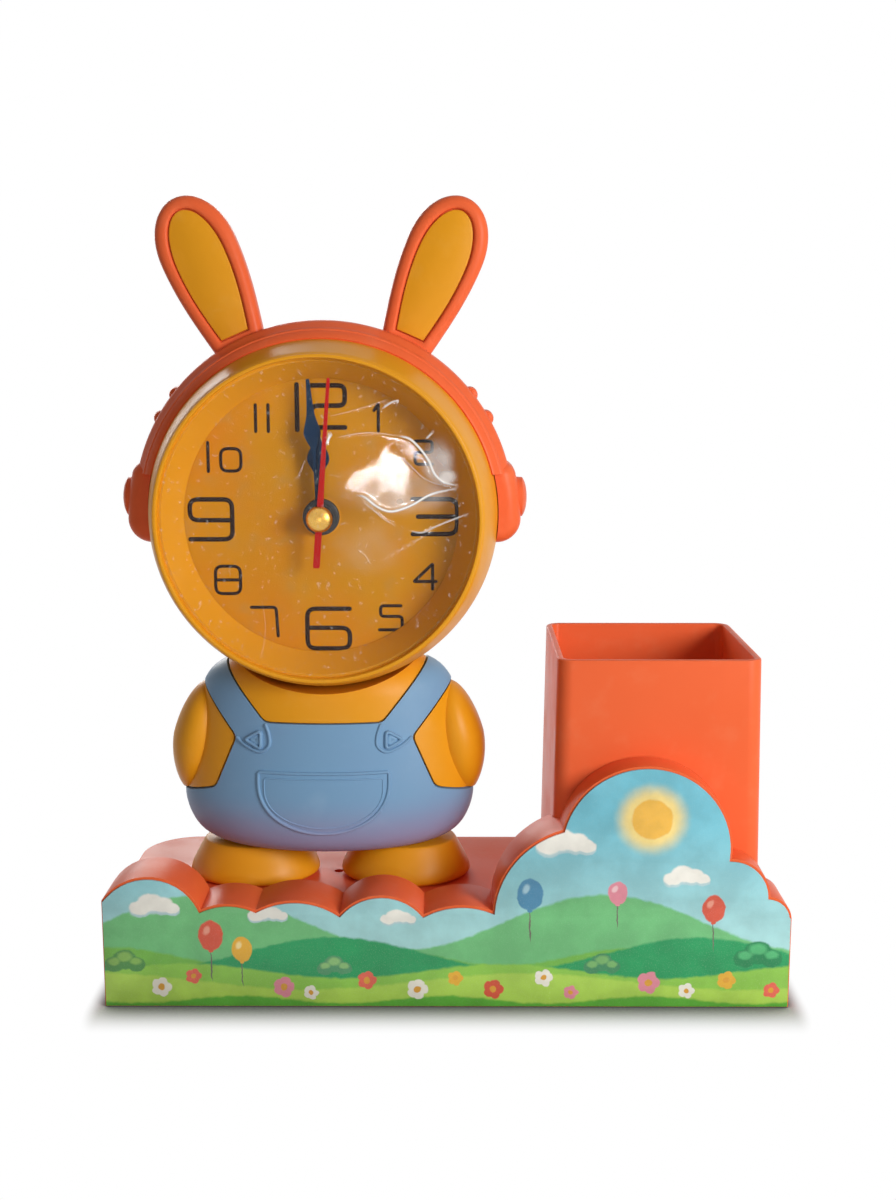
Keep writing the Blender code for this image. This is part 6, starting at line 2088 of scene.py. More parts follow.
    def ear_cap(self, side: Side) -> Piece:
        """The round domed cap on an ear cup.

        Args:
            side: left or right.

        Returns:
            The cap.
        """
        r = self.cap_radius
        dome = [(r * share, self.cap_height * rise) for share, rise in self.cap_shares]
        dome += [(r, -self.cap_foot), (0.0, -self.cap_foot)]
        turn = Matrix.Rotation(side.value * QUARTER, 4, "Y")
        place = Matrix.Translation((side.value * self.cup_outer, self.cap_rise,
                                    (self.cup_near + self.cup_far) / 2))
        return stand(f"ear_cap_{side.word}", lathe(dome, HALF_ROUND, closed=False),
                     LAYOUT.head @ place @ turn)

    def build(self, bench: Bench) -> None:
        """Makes and dresses the head's case, band and ear cups.

        Args:
            bench: where the pieces are dressed.
        """
        bench.add(self.case(), Slot.YELLOW, "head_case")
        bench.add(self.band(), Slot.CORAL, "headband")
        for side in Side:
            bench.add(self.ear_cup(side), Slot.CORAL, f"earcup_{side.word}")
            bench.add(self.ear_cap(side), Slot.CORAL, f"earcup_cap_{side.word}")


@dataclass(frozen=True)
class Ears:
    """Two leaf-shaped ears with a round rim and a sunk inlay, in the head's frame."""

    root_radius: float = 54.2
    root_angle: float = 63.72
    lean: float = 23.3
    length: float = 42.3
    root_half_width: float = 7.7
    half_width: float = 11.1
    widest: float = 0.62
    tip: float = 0.93
    near: float = 22.7
    far: float = 30.7
    rounding: float = 2.6
    rim: float = 3.7
    pocket: float = 1.4
    inlay_thickness: float = 1.0
    foot: float = 1.2
    root_sink: float = 1.5
    root_play: float = 0.05
    line_steps: int = 22
    pocket_lip: tuple[Spot, ...] = ((0.75, 0.03, 0.7), (0.35, 0.16, 0.3), (0.08, 0.5, 0.05))
    panel_edge: tuple[Spot, ...] = ((0.0, 0.4, 0.0), (0.12, 0.12, 0.1), (0.42, 0.0, 0.4))

    def line(self, inward: float, foot: float) -> Outline:
        """The ear's outline moved inwards.

        Args:
            inward: how far the sides and the tip move in.
            foot: how far the root line moves up.

        Returns:
            The outline, counter-clockwise.
        """
        length, steps = self.length - inward, self.line_steps
        root, half = self.root_half_width - inward, self.half_width - inward
        swell = length * self.widest
        levels = [foot + (swell - foot) * (step / steps) for step in range(steps)]
        flank = [(root + (half - root) * math.sin(level / swell * QUARTER), level)
                 for level in levels]
        tip = [(half * math.cos(turn), swell + (length - swell) * math.sin(turn) ** self.tip)
               for turn in quarter(steps)[:-1]]
        loop = flank + tip + [(0.0, length)] + mirrored(flank + tip)
        return turned(loop, self.lean, polar(self.root_radius, self.root_angle))

    def ring(self, inward: float, depth: float, foot: float, side: Side) -> list[Spot]:
        """The outline at a depth, on the left or the right."""
        return [(side.value * x, y, depth) for x, y in self.line(inward, foot)]

    def ear(self, side: Side) -> Piece:
        """One ear: a thick leaf with a round rim round a sunk pocket.

        Args:
            side: left or right.

        Returns:
            The ear.
        """
        r, near, far, rim, foot = self.rounding, self.near, self.far, self.rim, self.foot
        levels = [(r * (1 - math.sin(t)), far - r * (1 - math.cos(t))) for t in quarter(6)]
        levels += [(r * (1 - math.cos(t)), near + r * (1 - math.sin(t))) for t in quarter(6)]
        rings = [self.ring(inward, depth, -self.root_sink, side) for inward, depth in levels]
        rings += [self.ring(rim - inward, near + depth, foot - rise, side)
                  for inward, depth, rise in (*self.pocket_lip, (0.0, self.pocket, 0.0))]
        ear = stand(f"ear_{side.word}_leaf", loft(rings), LAYOUT.head)
        room = prism([circle(self.root_radius - self.root_play, FULL_ROUND)], *LAYOUT.drum_span)
        return carve(ear, Carve.CUT, room, LAYOUT.head)

    def inlay(self, side: Side) -> Piece:
        """The paler panel in the ear's pocket, slightly crowned at its edge.

        Args:
            side: left or right.

        Returns:
            The panel.
        """
        back = self.near + self.pocket - GAP / 2
        front, rim, foot = back - self.inlay_thickness, self.rim + GAP, self.foot + GAP
        rings = [self.ring(rim, back, foot, side)]
        rings += [self.ring(rim + inward, front + depth, foot + rise, side)
                  for inward, depth, rise in self.panel_edge]
        return stand(f"ear_panel_{side.word}", loft(rings), LAYOUT.head)

    def build(self, bench: Bench) -> None:
        """Makes and dresses both ears.

        Args:
            bench: where the pieces are dressed.
        """
        for side in Side:
            bench.add(self.ear(side), Slot.CORAL, f"ear_{side.word}")
            bench.add(self.inlay(side), Slot.YELLOW, f"ear_inlay_{side.word}")


# Dial and hands


@dataclass(frozen=True)
class Glyph:
    """A digit as strokes in a unit box, each with whether it joins up and its corner rounding."""

    strokes: tuple[tuple[Outline, bool, float], ...]


def square_glyph(points: Outline, closed: bool = False, rounding: float = 0.16) -> Glyph:
    """A digit drawn in one stroke with rounded corners."""
    return Glyph(((points, closed, rounding),))


GLYPHS: dict[str, Glyph] = {
    "0": square_glyph([(0, 0), (1, 0), (1, 1), (0, 1)], True, 0.32),
    "1": square_glyph([(0.5, 0), (0.5, 1)]),
    "1 flag": square_glyph([(0.5, 0), (0.5, 1), (0.02, 0.76)], False, 0.04),
    "2": square_glyph([(0, 1), (1, 1), (1, 0.52), (0, 0.52), (0, 0), (1, 0)]),
    "3": Glyph((([(0, 1), (1, 1), (1, 0), (0, 0)], False, 0.22),
                ([(0.12, 0.5), (1, 0.5)], False, 0.1))),
    "4": square_glyph([(0.84, 0), (0.84, 1), (0, 0.30), (1, 0.30)], False, 0.04),
    "5": square_glyph([(0.95, 1), (0.05, 1), (0.05, 0.56), (1, 0.56), (1, 0), (0, 0)]),
    "6": square_glyph([(1, 1), (0, 1), (0, 0), (1, 0), (1, 0.52), (0, 0.52)], False, 0.2),
    "7": square_glyph([(0, 1), (0.94, 1), (1, 0)], False, 0.12),
    "8": Glyph((([(0, 0), (1, 0), (1, 1), (0, 1)], True, 0.26),
                ([(0.05, 0.5), (0.95, 0.5)], False, 0.1))),
    "9": square_glyph([(0, 0), (1, 0), (1, 1), (0, 1), (0, 0.48), (1, 0.48)], False, 0.2),
}


@dataclass(frozen=True)
class Digit:
    """One digit on the dial: its glyph, middle, size and half the width of its stroke."""

    glyph: str
    middle: Flat
    size: Flat
    half_stroke: float


@dataclass(frozen=True)
class Dial:
    """The dial plate with its raised numbers, in the head's frame."""

    radius: float = 42.0
    hole: float = 4.3
    near: float = 12.5
    far: float = 13.3
    edge: float = 0.1
    ink_height: float = 0.10
    ink_sink: float = 0.04
    digits: tuple[Digit, ...] = (
        Digit("1", (-6.3, 30.3), (2.0, 12.4), 0.66), Digit("2", (2.3, 30.5), (9.2, 11.5), 0.66),
        Digit("1 flag", (16.1, 27.5), (2.4, 7.4), 0.46), Digit("2", (28.6, 17.8), (4.7, 6.4), 0.46),
        Digit("3", (31.7, 0.0), (12.4, 9.8), 0.65), Digit("4", (28.9, -16.9), (6.2, 7.1), 0.46),
        Digit("5", (19.2, -28.7), (6.4, 6.9), 0.46), Digit("6", (1.6, -31.8), (12.0, 11.4), 0.65),
        Digit("7", (-16.4, -29.8), (7.4, 8.2), 0.46), Digit("8", (-26.5, -17.9), (7.0, 7.8), 0.46),
        Digit("9", (-30.8, -0.8), (11.8, 11.2), 0.65), Digit("1", (-31.2, 16.6), (2.0, 8.0), 0.46),
        Digit("0", (-24.9, 15.8), (5.6, 6.2), 0.46), Digit("1", (-17.8, 27.3), (2.0, 7.3), 0.46),
        Digit("1", (-14.3, 27.3), (2.0, 7.3), 0.46),
    )

    def plate(self) -> Piece:
        """The round dial with its hole.

        Returns:
            The dial.
        """
        hole, radius, near, bit = self.hole, self.radius, self.near, self.edge
        line = [(hole, near + bit), (hole + bit, near), (radius - bit, near), (radius, near + bit),
                (radius, self.far), (hole, self.far)]
        return stand("dial_plate", lathe(line), LAYOUT.head)

    def over_dial(self, x: float, y: float, rise: float) -> Vector:
        """A point over the dial's face."""
        return Vector((x, y, self.near - rise))

    def numbers(self) -> Piece:
        """The twelve numbers as low raised strokes of ink.

        Returns:
            The numbers.
        """
        strokes = []
        for digit in self.digits:
            (mx, my), (width, height) = digit.middle, digit.size
            for points, closed, rounding in GLYPHS[digit.glyph].strokes:
                path = [(mx + (x - 0.5) * width, my + (y - 0.5) * height) for x, y in points]
                if len(path) > 2:
                    path = rounded_path(path, rounding * max(width, height), closed)
                strokes.append(ridge(path, digit.half_stroke, self.ink_height, self.ink_sink,
                                     self.over_dial, closed))
        return stand("dial_numbers", gathered(strokes), LAYOUT.head)

    def build(self, bench: Bench) -> None:
        """Makes and dresses the dial."""
        bench.add(self.plate(), Slot.DIAL, "dial")
        bench.add(self.numbers(), Slot.DARK, look=INK)


@dataclass(frozen=True)
class Hand:
    """One hand of the clock: its blade, bore, depth and where it points, in millimetres."""

    node: str
    length: float
    width: float
    shares: tuple[Flat, ...]
    bore: float
    depth: float
    angle: float
    slot: Slot
    body: Body
    thickness: float = 0.4
    hub_wall: float = 1.1
    edge: float = 0.09
    crease: float = 50.0

    def outline(self) -> Outline:
        """The blade with its round hub.

        Returns:
            The outline, counter-clockwise.
        """
        hub = self.bore + self.hub_wall
        right = [(self.width * across / 2, self.length * along)
                 for along, across in eased(self.shares, 3)]
        right = [point for point in right if math.hypot(*point) > hub]
        start = math.degrees(math.acos(min(right[0][0] / hub, 1.0)))
        sweep = 180.0 + 2.0 * start
        around = [polar(hub, 180.0 - start + sweep * step / 40) for step in range(41)]
        return turned(around + right + mirrored(right), self.angle)

    def build(self, bench: Bench) -> None:
        """Makes and dresses the hand.

        Args:
            bench: where it is dressed.
        """
        shape = prism([self.outline(), circle(self.bore, SMALL_ROUND)[::-1]], self.depth,
                      self.depth + self.thickness)
        piece = stand(f"{self.node}_blade", shape, LAYOUT.head)
        ease_modifier(piece, self.edge, 2, self.crease)
        bench.add(piece, self.slot, self.node, body=self.body)


@dataclass(frozen=True)
class Hands:
    """The hour and minute hand, the red needle with its domed cap, and the nut behind them."""

    needle_length: float = 38.6
    needle_tail: float = 13.7
    needle_angle: float = 4.4
    needle_depth: float = 6.0
    needle_thickness: float = 0.4
    needle_bore: float = 0.65
    needle_edge: float = 0.08
    needle_crease: float = 50.0
    needle_hub: tuple[Flat, ...] = ((-2.2, 1.3), (0.0, 1.75), (2.2, 1.3), (3.6, 0.9))
    needle_tip: tuple[Flat, ...] = ((0.4, 0.46), (0.0, 0.25))
    needle_waist: float = 0.62
    tail_half_width: float = 0.95
    cap_depth: float = 3.4
    cap_height: float = 2.3
    cap_radius: float = 3.65
    nut_near: float = 10.9
    nut_far: float = 12.2
    nut_bore: float = 3.5
    nut_radius: float = 5.1
    washer_radius: float = 5.45
    cap_edge: float = 0.15
    dome_share: float = 0.86
    blades: tuple[Hand, ...] = (
        Hand("hour_hand", 23.3, 6.0,
             ((0.10, 0.36), (0.44, 0.24), (0.56, 0.52), (0.66, 0.95), (0.72, 1.0), (0.79, 0.86),
              (0.88, 0.46), (1.0, 0.14)), 1.65, 8.4, -1.0, Slot.NAVY, Body.HOURS),
        Hand("minute_hand", 38.2, 4.7,
             ((0.07, 0.36), (0.40, 0.20), (0.50, 0.30), (0.56, 0.72), (0.61, 1.0), (0.66, 0.86),
              (0.74, 0.50), (0.84, 0.34), (1.0, 0.20)), 0.9, 7.2, -4.2, Slot.NAVY, Body.MINUTES),
    )

    def needle(self) -> Piece:
        """The red second hand with its wider tail.

        Returns:
            The needle.
        """
        tail, wide, long = -self.needle_tail, self.tail_half_width, self.needle_length
        line = [(wide * 0.8, tail), (wide, tail + 0.5), (wide, -4.0),
                *((half, along) for along, half in self.needle_hub),
                (self.needle_waist, long * 0.5),
                *((half, long - back) for back, half in self.needle_tip)]
        outline = turned(line + mirrored(line), self.needle_angle)
        shape = prism([outline, circle(self.needle_bore, SMALL_ROUND)[::-1]], self.needle_depth,
                      self.needle_depth + self.needle_thickness)
        piece = stand("second_hand_needle", shape, LAYOUT.head)
        ease_modifier(piece, self.needle_edge, 2, self.needle_crease)
        return piece

    def cap(self) -> Piece:
        """The domed brass cap.

        Returns:
            The cap.
        """
        front, h, r, bit = self.cap_depth, self.cap_height, self.cap_radius, self.cap_edge
        dome = [(r * math.sin(t), front + h * self.dome_share * (1 - math.cos(t)))
                for t in quarter(12)]
        dome += [(r, front + h - bit), (r - bit, front + h), (0.0, front + h)]
        return stand("second_cap", lathe(dome, HALF_ROUND, closed=False), LAYOUT.head)

    def nut(self) -> Piece:
        """The round dark nut that clamps the movement, with its turned front edge.

        Returns:
            The nut.
        """
        near, far, bore, r = self.nut_near, self.nut_far, self.nut_bore, self.nut_radius
        line = [(bore, near + 0.2), (bore + 0.2, near), (r - 0.35, near), (r - 0.1, near + 0.1),
                (r, near + 0.35), (r, far), (bore, far)]
        return stand("round_nut", lathe(line, HALF_ROUND), LAYOUT.head)

    def washer(self) -> Piece:
        """The thin pale washer under the nut.

        Returns:
            The washer.
        """
        near, far = self.nut_far + 0.02, self.nut_far + GAP - 0.04
        bore, r, bit = self.nut_bore + GAP, self.washer_radius, 0.08
        line = [(bore, near), (r - bit, near), (r, near + bit), (r, far), (bore, far)]
        return stand("thin_washer", lathe(line, HALF_ROUND), LAYOUT.head)

    def build(self, bench: Bench) -> None:
        """Makes and dresses the hands, their cap and the nut behind them.

        Args:
            bench: where the pieces are dressed.
        """
        bench.add(self.nut(), Slot.DARK, "dial_nut")
        bench.add(self.washer(), Slot.YELLOW)
        for blade in self.blades:
            blade.build(bench)
        bench.add(self.needle(), Slot.RED, "second_hand", body=Body.SECONDS)
        bench.add(self.cap(), Slot.BRASS, "hand_cap", body=Body.SECONDS)


@dataclass(frozen=True)
class Glazing:
    """The lens and the crinkled protective film before it, in the head's frame."""

    lens_radius: float = 43.55
    lens_near: float = 1.6
    lens_far: float = 2.8
    lens_edge: float = 0.2
    film_radius: float = 43.25
    film_back: float = 1.3
    film_thickness: float = 0.08
    film_smoothing: float = 70.0
    rim_points: int = 150
    rim_hold: float = 4.0
    spacing: float = 1.0
    billow: float = 0.05
    ruffle: float = 0.010
    crease_width: float = 0.20
    crease_rows: tuple[float, ...] = (-0.8, -0.4, -0.2, 0.0, 0.2, 0.4, 0.8)
    crease_shift: Flat = (1.2, 1.7)
    # Each crease: its path, how high it stands, and how much painted white highlight lies along it.
    creases: tuple[Crease, ...] = (
        ([(9.9, 5.4), (11.7, 4.8), (14.2, 2.8), (16.7, 1.4), (19.1, 1.0), (22.2, 1.8),
          (25.3, 3.2), (28.4, 5.1), (31.4, 6.2), (36.2, 7.2)], 0.30, 1.0),
        ([(21.3, 21.3), (24.0, 20.5), (26.8, 17.8), (29.0, 14.7), (30.5, 11.2), (33.0, 9.0),
          (36.1, 8.1)], 0.30, 0.95),
        ([(4.7, 21.0), (9.9, 22.0), (14.5, 22.2), (21.3, 21.3)], 0.20, 0.26),
        ([(20.3, 16.9), (24.0, 13.4), (27.7, 10.0), (31.4, 8.4), (35.7, 7.5)], 0.15, 0.30),
        ([(11.1, 3.6), (14.2, 1.2), (16.7, -1.0), (19.1, -2.4)], 0.15, 0.34),
        ([(24.0, -4.3), (27.1, -4.8), (30.2, -3.4), (34.5, -1.6), (39.0, 0.1)], 0.20, 0.50),
        ([(30.2, -4.5), (27.0, -6.3), (16.1, -12.4)], 0.08, 0.12),
        ([(16.7, 28.8), (18.8, 30.2), (20.7, 30.8), (20.4, 30.0)], 0.20, 0.62),
        ([(2.2, 26.6), (9.9, 28.5), (18.5, 31.3)], 0.08, 0.12),
        ([(28.4, 20.7), (29.6, 21.9)], 0.10, 0.6),
        ([(1.5, 19.2), (2.3, 21.2)], 0.10, 0.95),
        ([(9.6, -9.5), (11.6, -11.0), (13.0, -13.4)], 0.10, 0.26),
        ([(-16.8, -23.3), (-16.0, -31.5), (-17.2, -39.0)], 0.05, 0.08),
        ([(-4.4, 14.8), (-5.2, 13.0), (-6.4, 10.4)], 0.05, 0.14),
    )
    # Painted glare: soft white patches on the film, each with its middle, half sizes and strength.
    painted_glare: tuple[PaintedGlare, ...] = (
        ((22.0, 7.6), (11.5, 4.6), 0.28), ((32.6, 15.8), (3.6, 5.6), 0.34),
        ((34.9, 12.0), (2.3, 1.9), 0.80), ((14.0, -7.0), (9.0, 7.0), 0.05),
    )

    @staticmethod
    def nearest(x: float, y: float, path: Outline) -> Flat:
        """How a point lies beside a path.

        Args:
            x: the point's place to the right.
            y: its place upwards.
            path: the path.

        Returns:
            The distance, and how far along the path that is, from 0 to 1.
        """
        point = Vector((x, y))
        best = (math.inf, 0.0)
        for index, (start, end) in enumerate(zip(path, path[1:])):
            a, b = Vector(start), Vector(end)
            share = max(0.0, min(1.0, (point - a).dot(b - a) / max((b - a).length_squared, 1e-9)))
            away = (point - a - (b - a) * share).length
            if away < best[0]:
                best = (away, (index + share) / (len(path) - 1))
        return best

    def smooth_creases(self) -> list[Crease]:
        """The creases along smooth paths, at their place on the lens.

        Returns:
            The creases.
        """
        right, up = self.crease_shift
        return [([(x + right, y + up) for x, y in eased(path, 6)], rise, milk_and_gleam)
                for path, rise, milk_and_gleam in self.creases]

    def points(self, creases: Sequence[Crease]) -> list[Vector]:
        """The film's points: its rim, an even field and close rows beside each crease.

        Args:
            creases: the smooth creases.

        Returns:
            The points, those of the rim first.
        """
        points = [Vector(point) for point in circle(self.film_radius, self.rim_points)]
        reach = int(self.film_radius / self.spacing) + 1
        for row in range(-reach, reach + 1):
            for column in range(-reach, reach + 1):
                x = (column + (row % 2) / 2) * self.spacing
                y = row * self.spacing * 0.866
                inside = math.hypot(x, y) < self.film_radius - self.spacing * 0.7
                near = min(self.nearest(x, y, path)[0] for path, _rise, _gleam in creases)
                if inside and near > self.spacing * 0.9:
                    points.append(Vector((x, y)))
        for path, _rise, _gleam in creases:
            for start, end in zip(path, path[1:]):
                a, b = Vector(start), Vector(end)
                across = Vector((a.y - b.y, b.x - a.x)).normalized()
                beside = [a + across * away for away in self.crease_rows]
                points += [place for place in beside if place.length < self.film_radius - 0.5]
        return points

    def relief(self, place: Vector, creases: Sequence[Crease]) -> Flat:
        """How high the film stands at a place, and how much painted white gleam it shows there.

        Args:
            place: the place on the film.
            creases: the smooth creases.

        Returns:
            The lift in millimetres and the share of painted gleam from 0 to 1.
        """
        held = max(min(1.0, (self.film_radius - place.length) / self.rim_hold), 0.0)
        lift = self.billow * (noise.noise((place.x / 15.0, place.y / 15.0, 4.2)) + 0.45)
        lift += self.ruffle * noise.noise((place.x / 4.5, place.y / 4.5, 8.6))
        patchy = 0.7 + 0.6 * noise.noise((place.x / 5.0, place.y / 5.0, 1.7))
        # Painted highlight: the creases and the glare patches add a white gleam that stands in for
        # glints on the film.
        milky_gleam = 0.0
        for path, rise, milk_and_gleam in creases:
            away, along = self.nearest(place.x, place.y, path)
            away /= self.crease_width * (0.55 + 0.75 * milk_and_gleam)
            thin = min(1.0, 5.0 * min(along, 1.0 - along) + 0.15)
            lift += rise * math.exp(-away) * 0.4
            milky_gleam = max(milky_gleam, milk_and_gleam * thin * math.exp(-away ** 4))
        for (x, y), (wide, high), milk_and_gleam in self.painted_glare:
            spread = ((place.x - x) / wide) ** 2 + ((place.y - y) / high) ** 2
            milky_gleam = max(milky_gleam, milk_and_gleam * patchy * math.exp(-spread ** 2))
        return max(lift, 0.0) * held, milky_gleam

    def film(self) -> Piece:
        """A thin clear sheet with raised creases and slow billows, held flat at its rim.

        Returns:
            The film.
        """
        creases, count = self.smooth_creases(), self.rim_points
        flat = delaunay_2d_cdt(self.points(creases), [], [list(range(count))], 1, 0.05)
        places, faces = flat[0], flat[2]
        reliefs = [self.relief(place, creases) for place in places]
        shape = bmesh.new()
        # The crease attribute holds the painted white gleam at each point.
        crease = shape.verts.layers.float.new(CREASE_GLEAM)
        layers = []
        for back in (0.0, self.film_thickness):
            row = []
            for place, (lift, milky_gleam) in zip(places, reliefs):
                point = shape.verts.new((place.x, place.y, self.film_back - lift - back))
                point[crease] = milky_gleam
                row.append(point)
            layers.append(row)
        front, back_row = layers
        for face in faces:
            for row in layers:
                shape.faces.new([row[index] for index in face])
        for index in range(count):
            after = (index + 1) % count
            shape.faces.new((front[index], front[after], back_row[after], back_row[index]))
        return stand("film_sheet", shape, LAYOUT.head, self.film_smoothing)

    def lens(self) -> Piece:
        """The flat clear lens.

        Returns:
            The lens.
        """
        r, near, far, bit = self.lens_radius, self.lens_near, self.lens_far, self.lens_edge
        line = [(0.0, near), (r - bit, near), (r, near + bit), (r, far), (0.0, far)]
        return stand("lens_disc", lathe(line, closed=False), LAYOUT.head)

    def build(self, bench: Bench) -> None:
        """Makes and dresses lens and film."""
        bench.add(self.lens(), Slot.CLEAR, "lens")
        bench.add(self.film(), Slot.CLEAR, "lens_film", look=FILM)


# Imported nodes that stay


@dataclass(frozen=True)
class Inside:
    """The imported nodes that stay: the works, the back and the underside."""

    kept: tuple[tuple[str, Slot, float], ...] = (
        ("base_plate", Slot.CORAL, 0.4), ("head_back_cover", Slot.YELLOW, 0.35),
        ("battery_door", Slot.YELLOW, 0.25), ("time_set_knob", Slot.IVORY, 0.15),
        ("alarm_set_knob", Slot.IVORY, 0.15), ("alarm_switch", Slot.RED, 0.2),
        ("movement_case", Slot.DARK, 0.2), ("movement_cover", Slot.DARK, 0.2),
        ("alarm_hand", Slot.DARK, 0.06),
        ("second_wheel", Slot.IVORY, 0.04), ("third_wheel", Slot.IVORY, 0.04),
        ("centre_wheel", Slot.IVORY, 0.04), ("fifth_wheel", Slot.IVORY, 0.04),
        ("cannon_pinion", Slot.IVORY, 0.04), ("motion_wheel", Slot.IVORY, 0.04),
        ("hour_wheel", Slot.IVORY, 0.04), ("alarm_wheel", Slot.IVORY, 0.04),
        ("rotor", Slot.DARK, 0.04), ("stator", Slot.STEEL, 0.06), ("coil", Slot.COPPER, 0.2),
        ("circuit_board", Slot.BOARD, 0.05), ("buzzer", Slot.DARK, 0.2),
        ("battery", Slot.CELL, 0.3), ("battery_contact_minus", Slot.STEEL, 0.05),
        ("battery_contact_plus", Slot.STEEL, 0.05),
    )
    screws: tuple[str, ...] = (
        "base_screw_1", "base_screw_2", "base_screw_3", "base_screw_4",
        "head_screw_1", "head_screw_2", "head_screw_3",
    )

    def build(self, bench: Bench) -> None:
        """Dresses every kept node.

        Args:
            bench: where they are dressed.
        """
        for name, slot, width in self.kept:
            bench.keep(name, slot, width)
        for name in self.screws:
            bench.keep(name, Slot.STEEL, 0.1)


# Studio


@dataclass(frozen=True)
class Lamp:
    """A soft lamp: place, target and size in metres, power in watts, colour and roll."""

    name: str
    place: Spot
    target: Spot
    size: Flat
    power: float
    colour: Spot = (1.0, 1.0, 1.0)
    roll: float = 0.0

    def build(self) -> None:
        """Hangs the lamp."""
        data = bpy.data.lights.new(self.name, "AREA")
        data.shape = "ELLIPSE"
        data.size, data.size_y = self.size
        data.energy = self.power
        data.color = self.colour
        lamp = bpy.data.objects.new(self.name, data)
        lamp.location = self.place
        aim = Vector(self.target) - Vector(self.place)
        turn = aim.to_track_quat("-Z", "Y").to_matrix() @ Matrix.Rotation(self.roll, 3, "Z")
        lamp.rotation_euler = turn.to_euler()
        lamp.visible_camera = False
        bpy.context.scene.collection.objects.link(lamp)


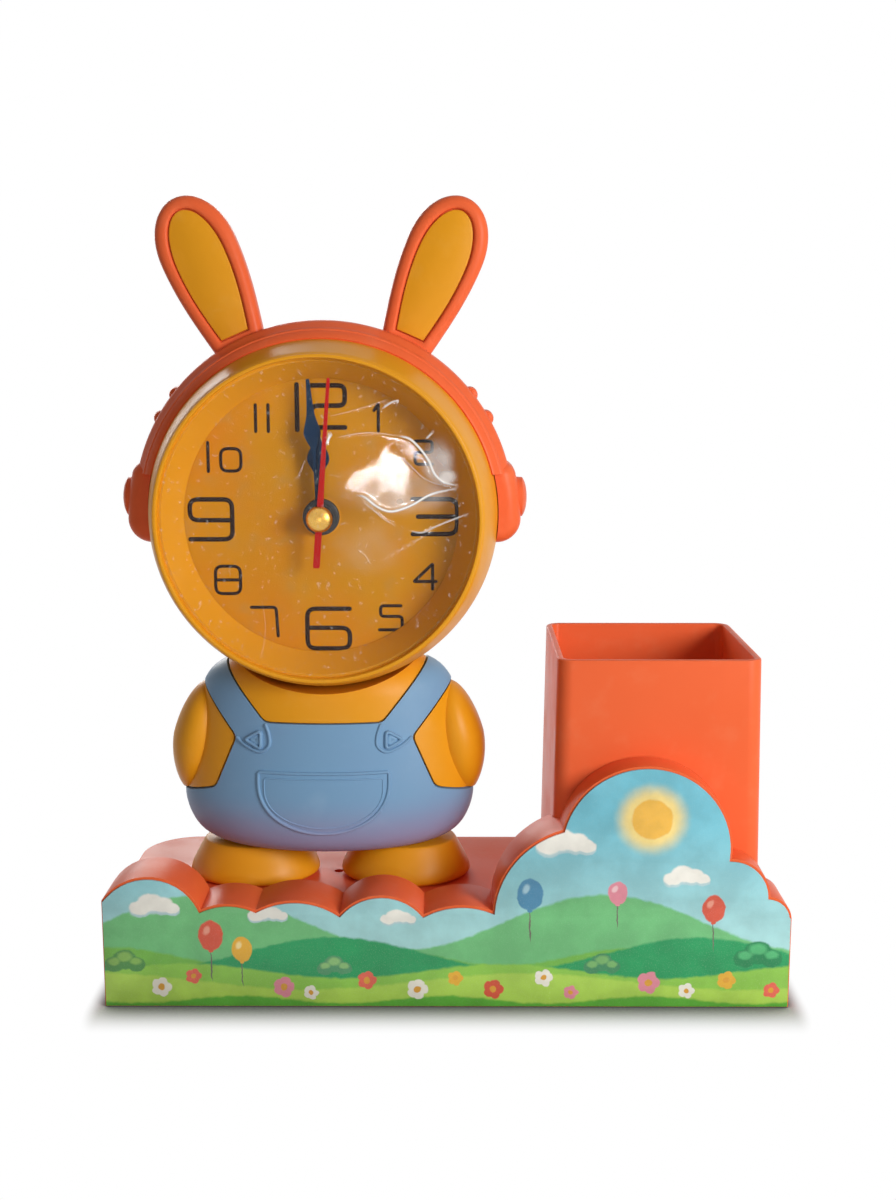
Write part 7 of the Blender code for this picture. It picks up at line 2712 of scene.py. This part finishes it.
@dataclass(frozen=True)
class Studio:
    """Camera, lamps, pale floor and white surroundings."""

    camera_place: Spot = (0.00185, -0.42075, 0.181)
    camera_pitch: float = 0.170
    camera_yaw: float = -0.0037
    lens: float = 44.25
    sensor: float = 36.0
    surround: float = 0.195
    surround_colour: Colour = (1.0, 0.91, 0.84, 1.0)
    floor_size: float = 8.0
    floor_colour: Colour = (0.94, 0.94, 0.94, 1.0)
    floor_lift: float = 0.04
    # Reach and grey range of the painted contact shade on the floor.
    contact_reach: float = 0.02
    contact_span: tuple[float, ...] = (0.45, 0.90, 0.08, 0.80)
    shadow_reach: Flat = (0.0, 0.017)
    shadow_half: Spot = (0.095, 0.0357, 1.0)
    shadow_pace: Spot = (3.0, 1.0, 1.0)
    lamps: tuple[Lamp, ...] = (
        Lamp("key_lamp", (0.46, -0.47, 0.275), (0.0, 0.0, 0.09), (0.29, 0.29), 3.55,
             (1.0, 0.985, 0.96)),
        Lamp("back_lamp", (-0.28, 0.70, 0.34), (0.0, 0.0, 0.09), (0.45, 0.45), 2.2,
             (1.0, 0.97, 0.94)),
        Lamp("front_lamp", (-0.048, -0.60, 0.0975), (-0.02, 0.0, 0.12), (0.042, 0.0118), 0.101,
             roll=0.52),
        Lamp("side_lamp", (-0.0338, -0.60, 0.0992), (-0.02, 0.0, 0.12), (0.0125, 0.023), 0.052),
    )

    def camera(self) -> None:
        """The camera at the photograph's viewing angle."""
        yaw, pitch = self.camera_yaw, self.camera_pitch
        ahead = Vector((math.sin(yaw) * math.cos(pitch), math.cos(yaw) * math.cos(pitch),
                        -math.sin(pitch)))
        right = Vector((math.cos(yaw), -math.sin(yaw), 0.0))
        upward = right.cross(ahead)
        data = bpy.data.cameras.new("camera")
        data.sensor_fit = "AUTO"
        data.sensor_width = self.sensor
        data.lens = self.lens
        data.clip_start, data.clip_end = 0.01, 30.0
        camera = bpy.data.objects.new("camera", data)
        turn = Matrix((right, upward, -ahead)).transposed()
        camera.matrix_world = Matrix.Translation(self.camera_place) @ turn.to_4x4()
        bpy.context.scene.collection.objects.link(camera)
        bpy.context.scene.camera = camera

    @staticmethod
    def seen(wiring: Wiring) -> Socket:
        """A share that is 1 for rays that show what they meet.

        Args:
            wiring: where it is worked out.

        Returns:
            The share's socket.
        """
        path = wiring.node("ShaderNodeLightPath").outputs
        sharp = wiring.maths("MAXIMUM", path["Is Camera Ray"], path["Is Glossy Ray"])
        return wiring.maths("MAXIMUM", sharp, path["Is Transmission Ray"])

    def surroundings(self) -> None:
        """White where it is seen or mirrored, and a plain even light otherwise."""
        world = bpy.data.worlds.new("surroundings")
        bpy.context.scene.world = world
        world.use_nodes = True
        world.node_tree.nodes.clear()
        wiring = Wiring(world.node_tree)
        light, white = (
            wiring.node("ShaderNodeBackground", {"Color": colour, "Strength": strength}).outputs[0]
            for colour, strength in ((self.surround_colour, self.surround), (WHITE, 1.0))
        )
        mixed = wiring.shaders(self.seen(wiring), light, white)
        wiring.node("ShaderNodeOutputWorld", {"Surface": mixed})

    def paper(self) -> Material:
        """White that keeps the object's shadow, with a painted contact shade from ambient occlusion
        near the object, and fades to plain white further out.

        Returns:
            The material.
        """
        material, wiring = fresh_material("pale_floor")
        share = self.seen(wiring)
        # Painted shade: ambient occlusion greys the floor's colour where it meets the object.
        near = wiring.node("ShaderNodeAmbientOcclusion", {"Distance": self.contact_reach},
                           samples=8)
        open_share = wiring.span(near.outputs["AO"], *self.contact_span, smooth=False)
        grey = wiring.blend(open_share, (0.0, 0.0, 0.0, 1.0), self.floor_colour)
        lit = wiring.node("ShaderNodeBsdfDiffuse", {"Color": grey}).outputs[0]
        glow, white = (
            wiring.node("ShaderNodeEmission", {"Color": WHITE, "Strength": strength}).outputs[0]
            for strength in (wiring.times(share, self.floor_lift), 1.0)
        )
        close = wiring.joined(wiring.node("ShaderNodeAddShader"), lit, glow).outputs[0]
        size = wiring.vectors("ABSOLUTE", wiring.place())["Vector"]
        beyond = wiring.vectors("SUBTRACT", size, self.shadow_half)["Vector"]
        outside = wiring.vectors("MAXIMUM", beyond, (0.0, 0.0, 0.0))["Vector"]
        paced = wiring.vectors("MULTIPLY", outside, self.shadow_pace)["Vector"]
        far = wiring.span(wiring.vectors("LENGTH", paced)["Value"], *self.shadow_reach)
        cover(wiring, wiring.shaders(wiring.times(far, share), close, white))
        return material

    def floor(self) -> None:
        """The floor the object stands on."""
        half = self.floor_size / 2
        shape = bmesh.new()
        corners = ((-half, -half), (half, -half), (half, half), (-half, half))
        shape.faces.new([shape.verts.new((x, y, 0.0)) for x, y in corners])
        mesh = bpy.data.meshes.new("floor")
        shape.to_mesh(mesh)
        shape.free()
        floor = bpy.data.objects.new("floor", mesh)
        bpy.context.scene.collection.objects.link(floor)
        mesh.materials.append(self.paper())

    def build(self) -> None:
        """Sets up the studio."""
        bpy.context.scene.view_settings.view_transform = "Standard"
        self.camera()
        self.surroundings()
        self.floor()
        for lamp in self.lamps:
            lamp.build()


# Build


def main() -> None:
    """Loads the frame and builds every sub-assembly in order."""
    logging.basicConfig(level=logging.INFO, format="%(name)s: %(message)s")
    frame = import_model()
    Studio().build()
    bench = Bench(frame["nodes"])
    cup = PenCup()
    Base().build(bench, cup)
    cup.build(bench)
    Figure().build(bench)
    Head().build(bench)
    Ears().build(bench)
    Dial().build(bench)
    Hands().build(bench)
    Glazing().build(bench)
    Inside().build(bench)


if __name__ == "__main__":
    main()
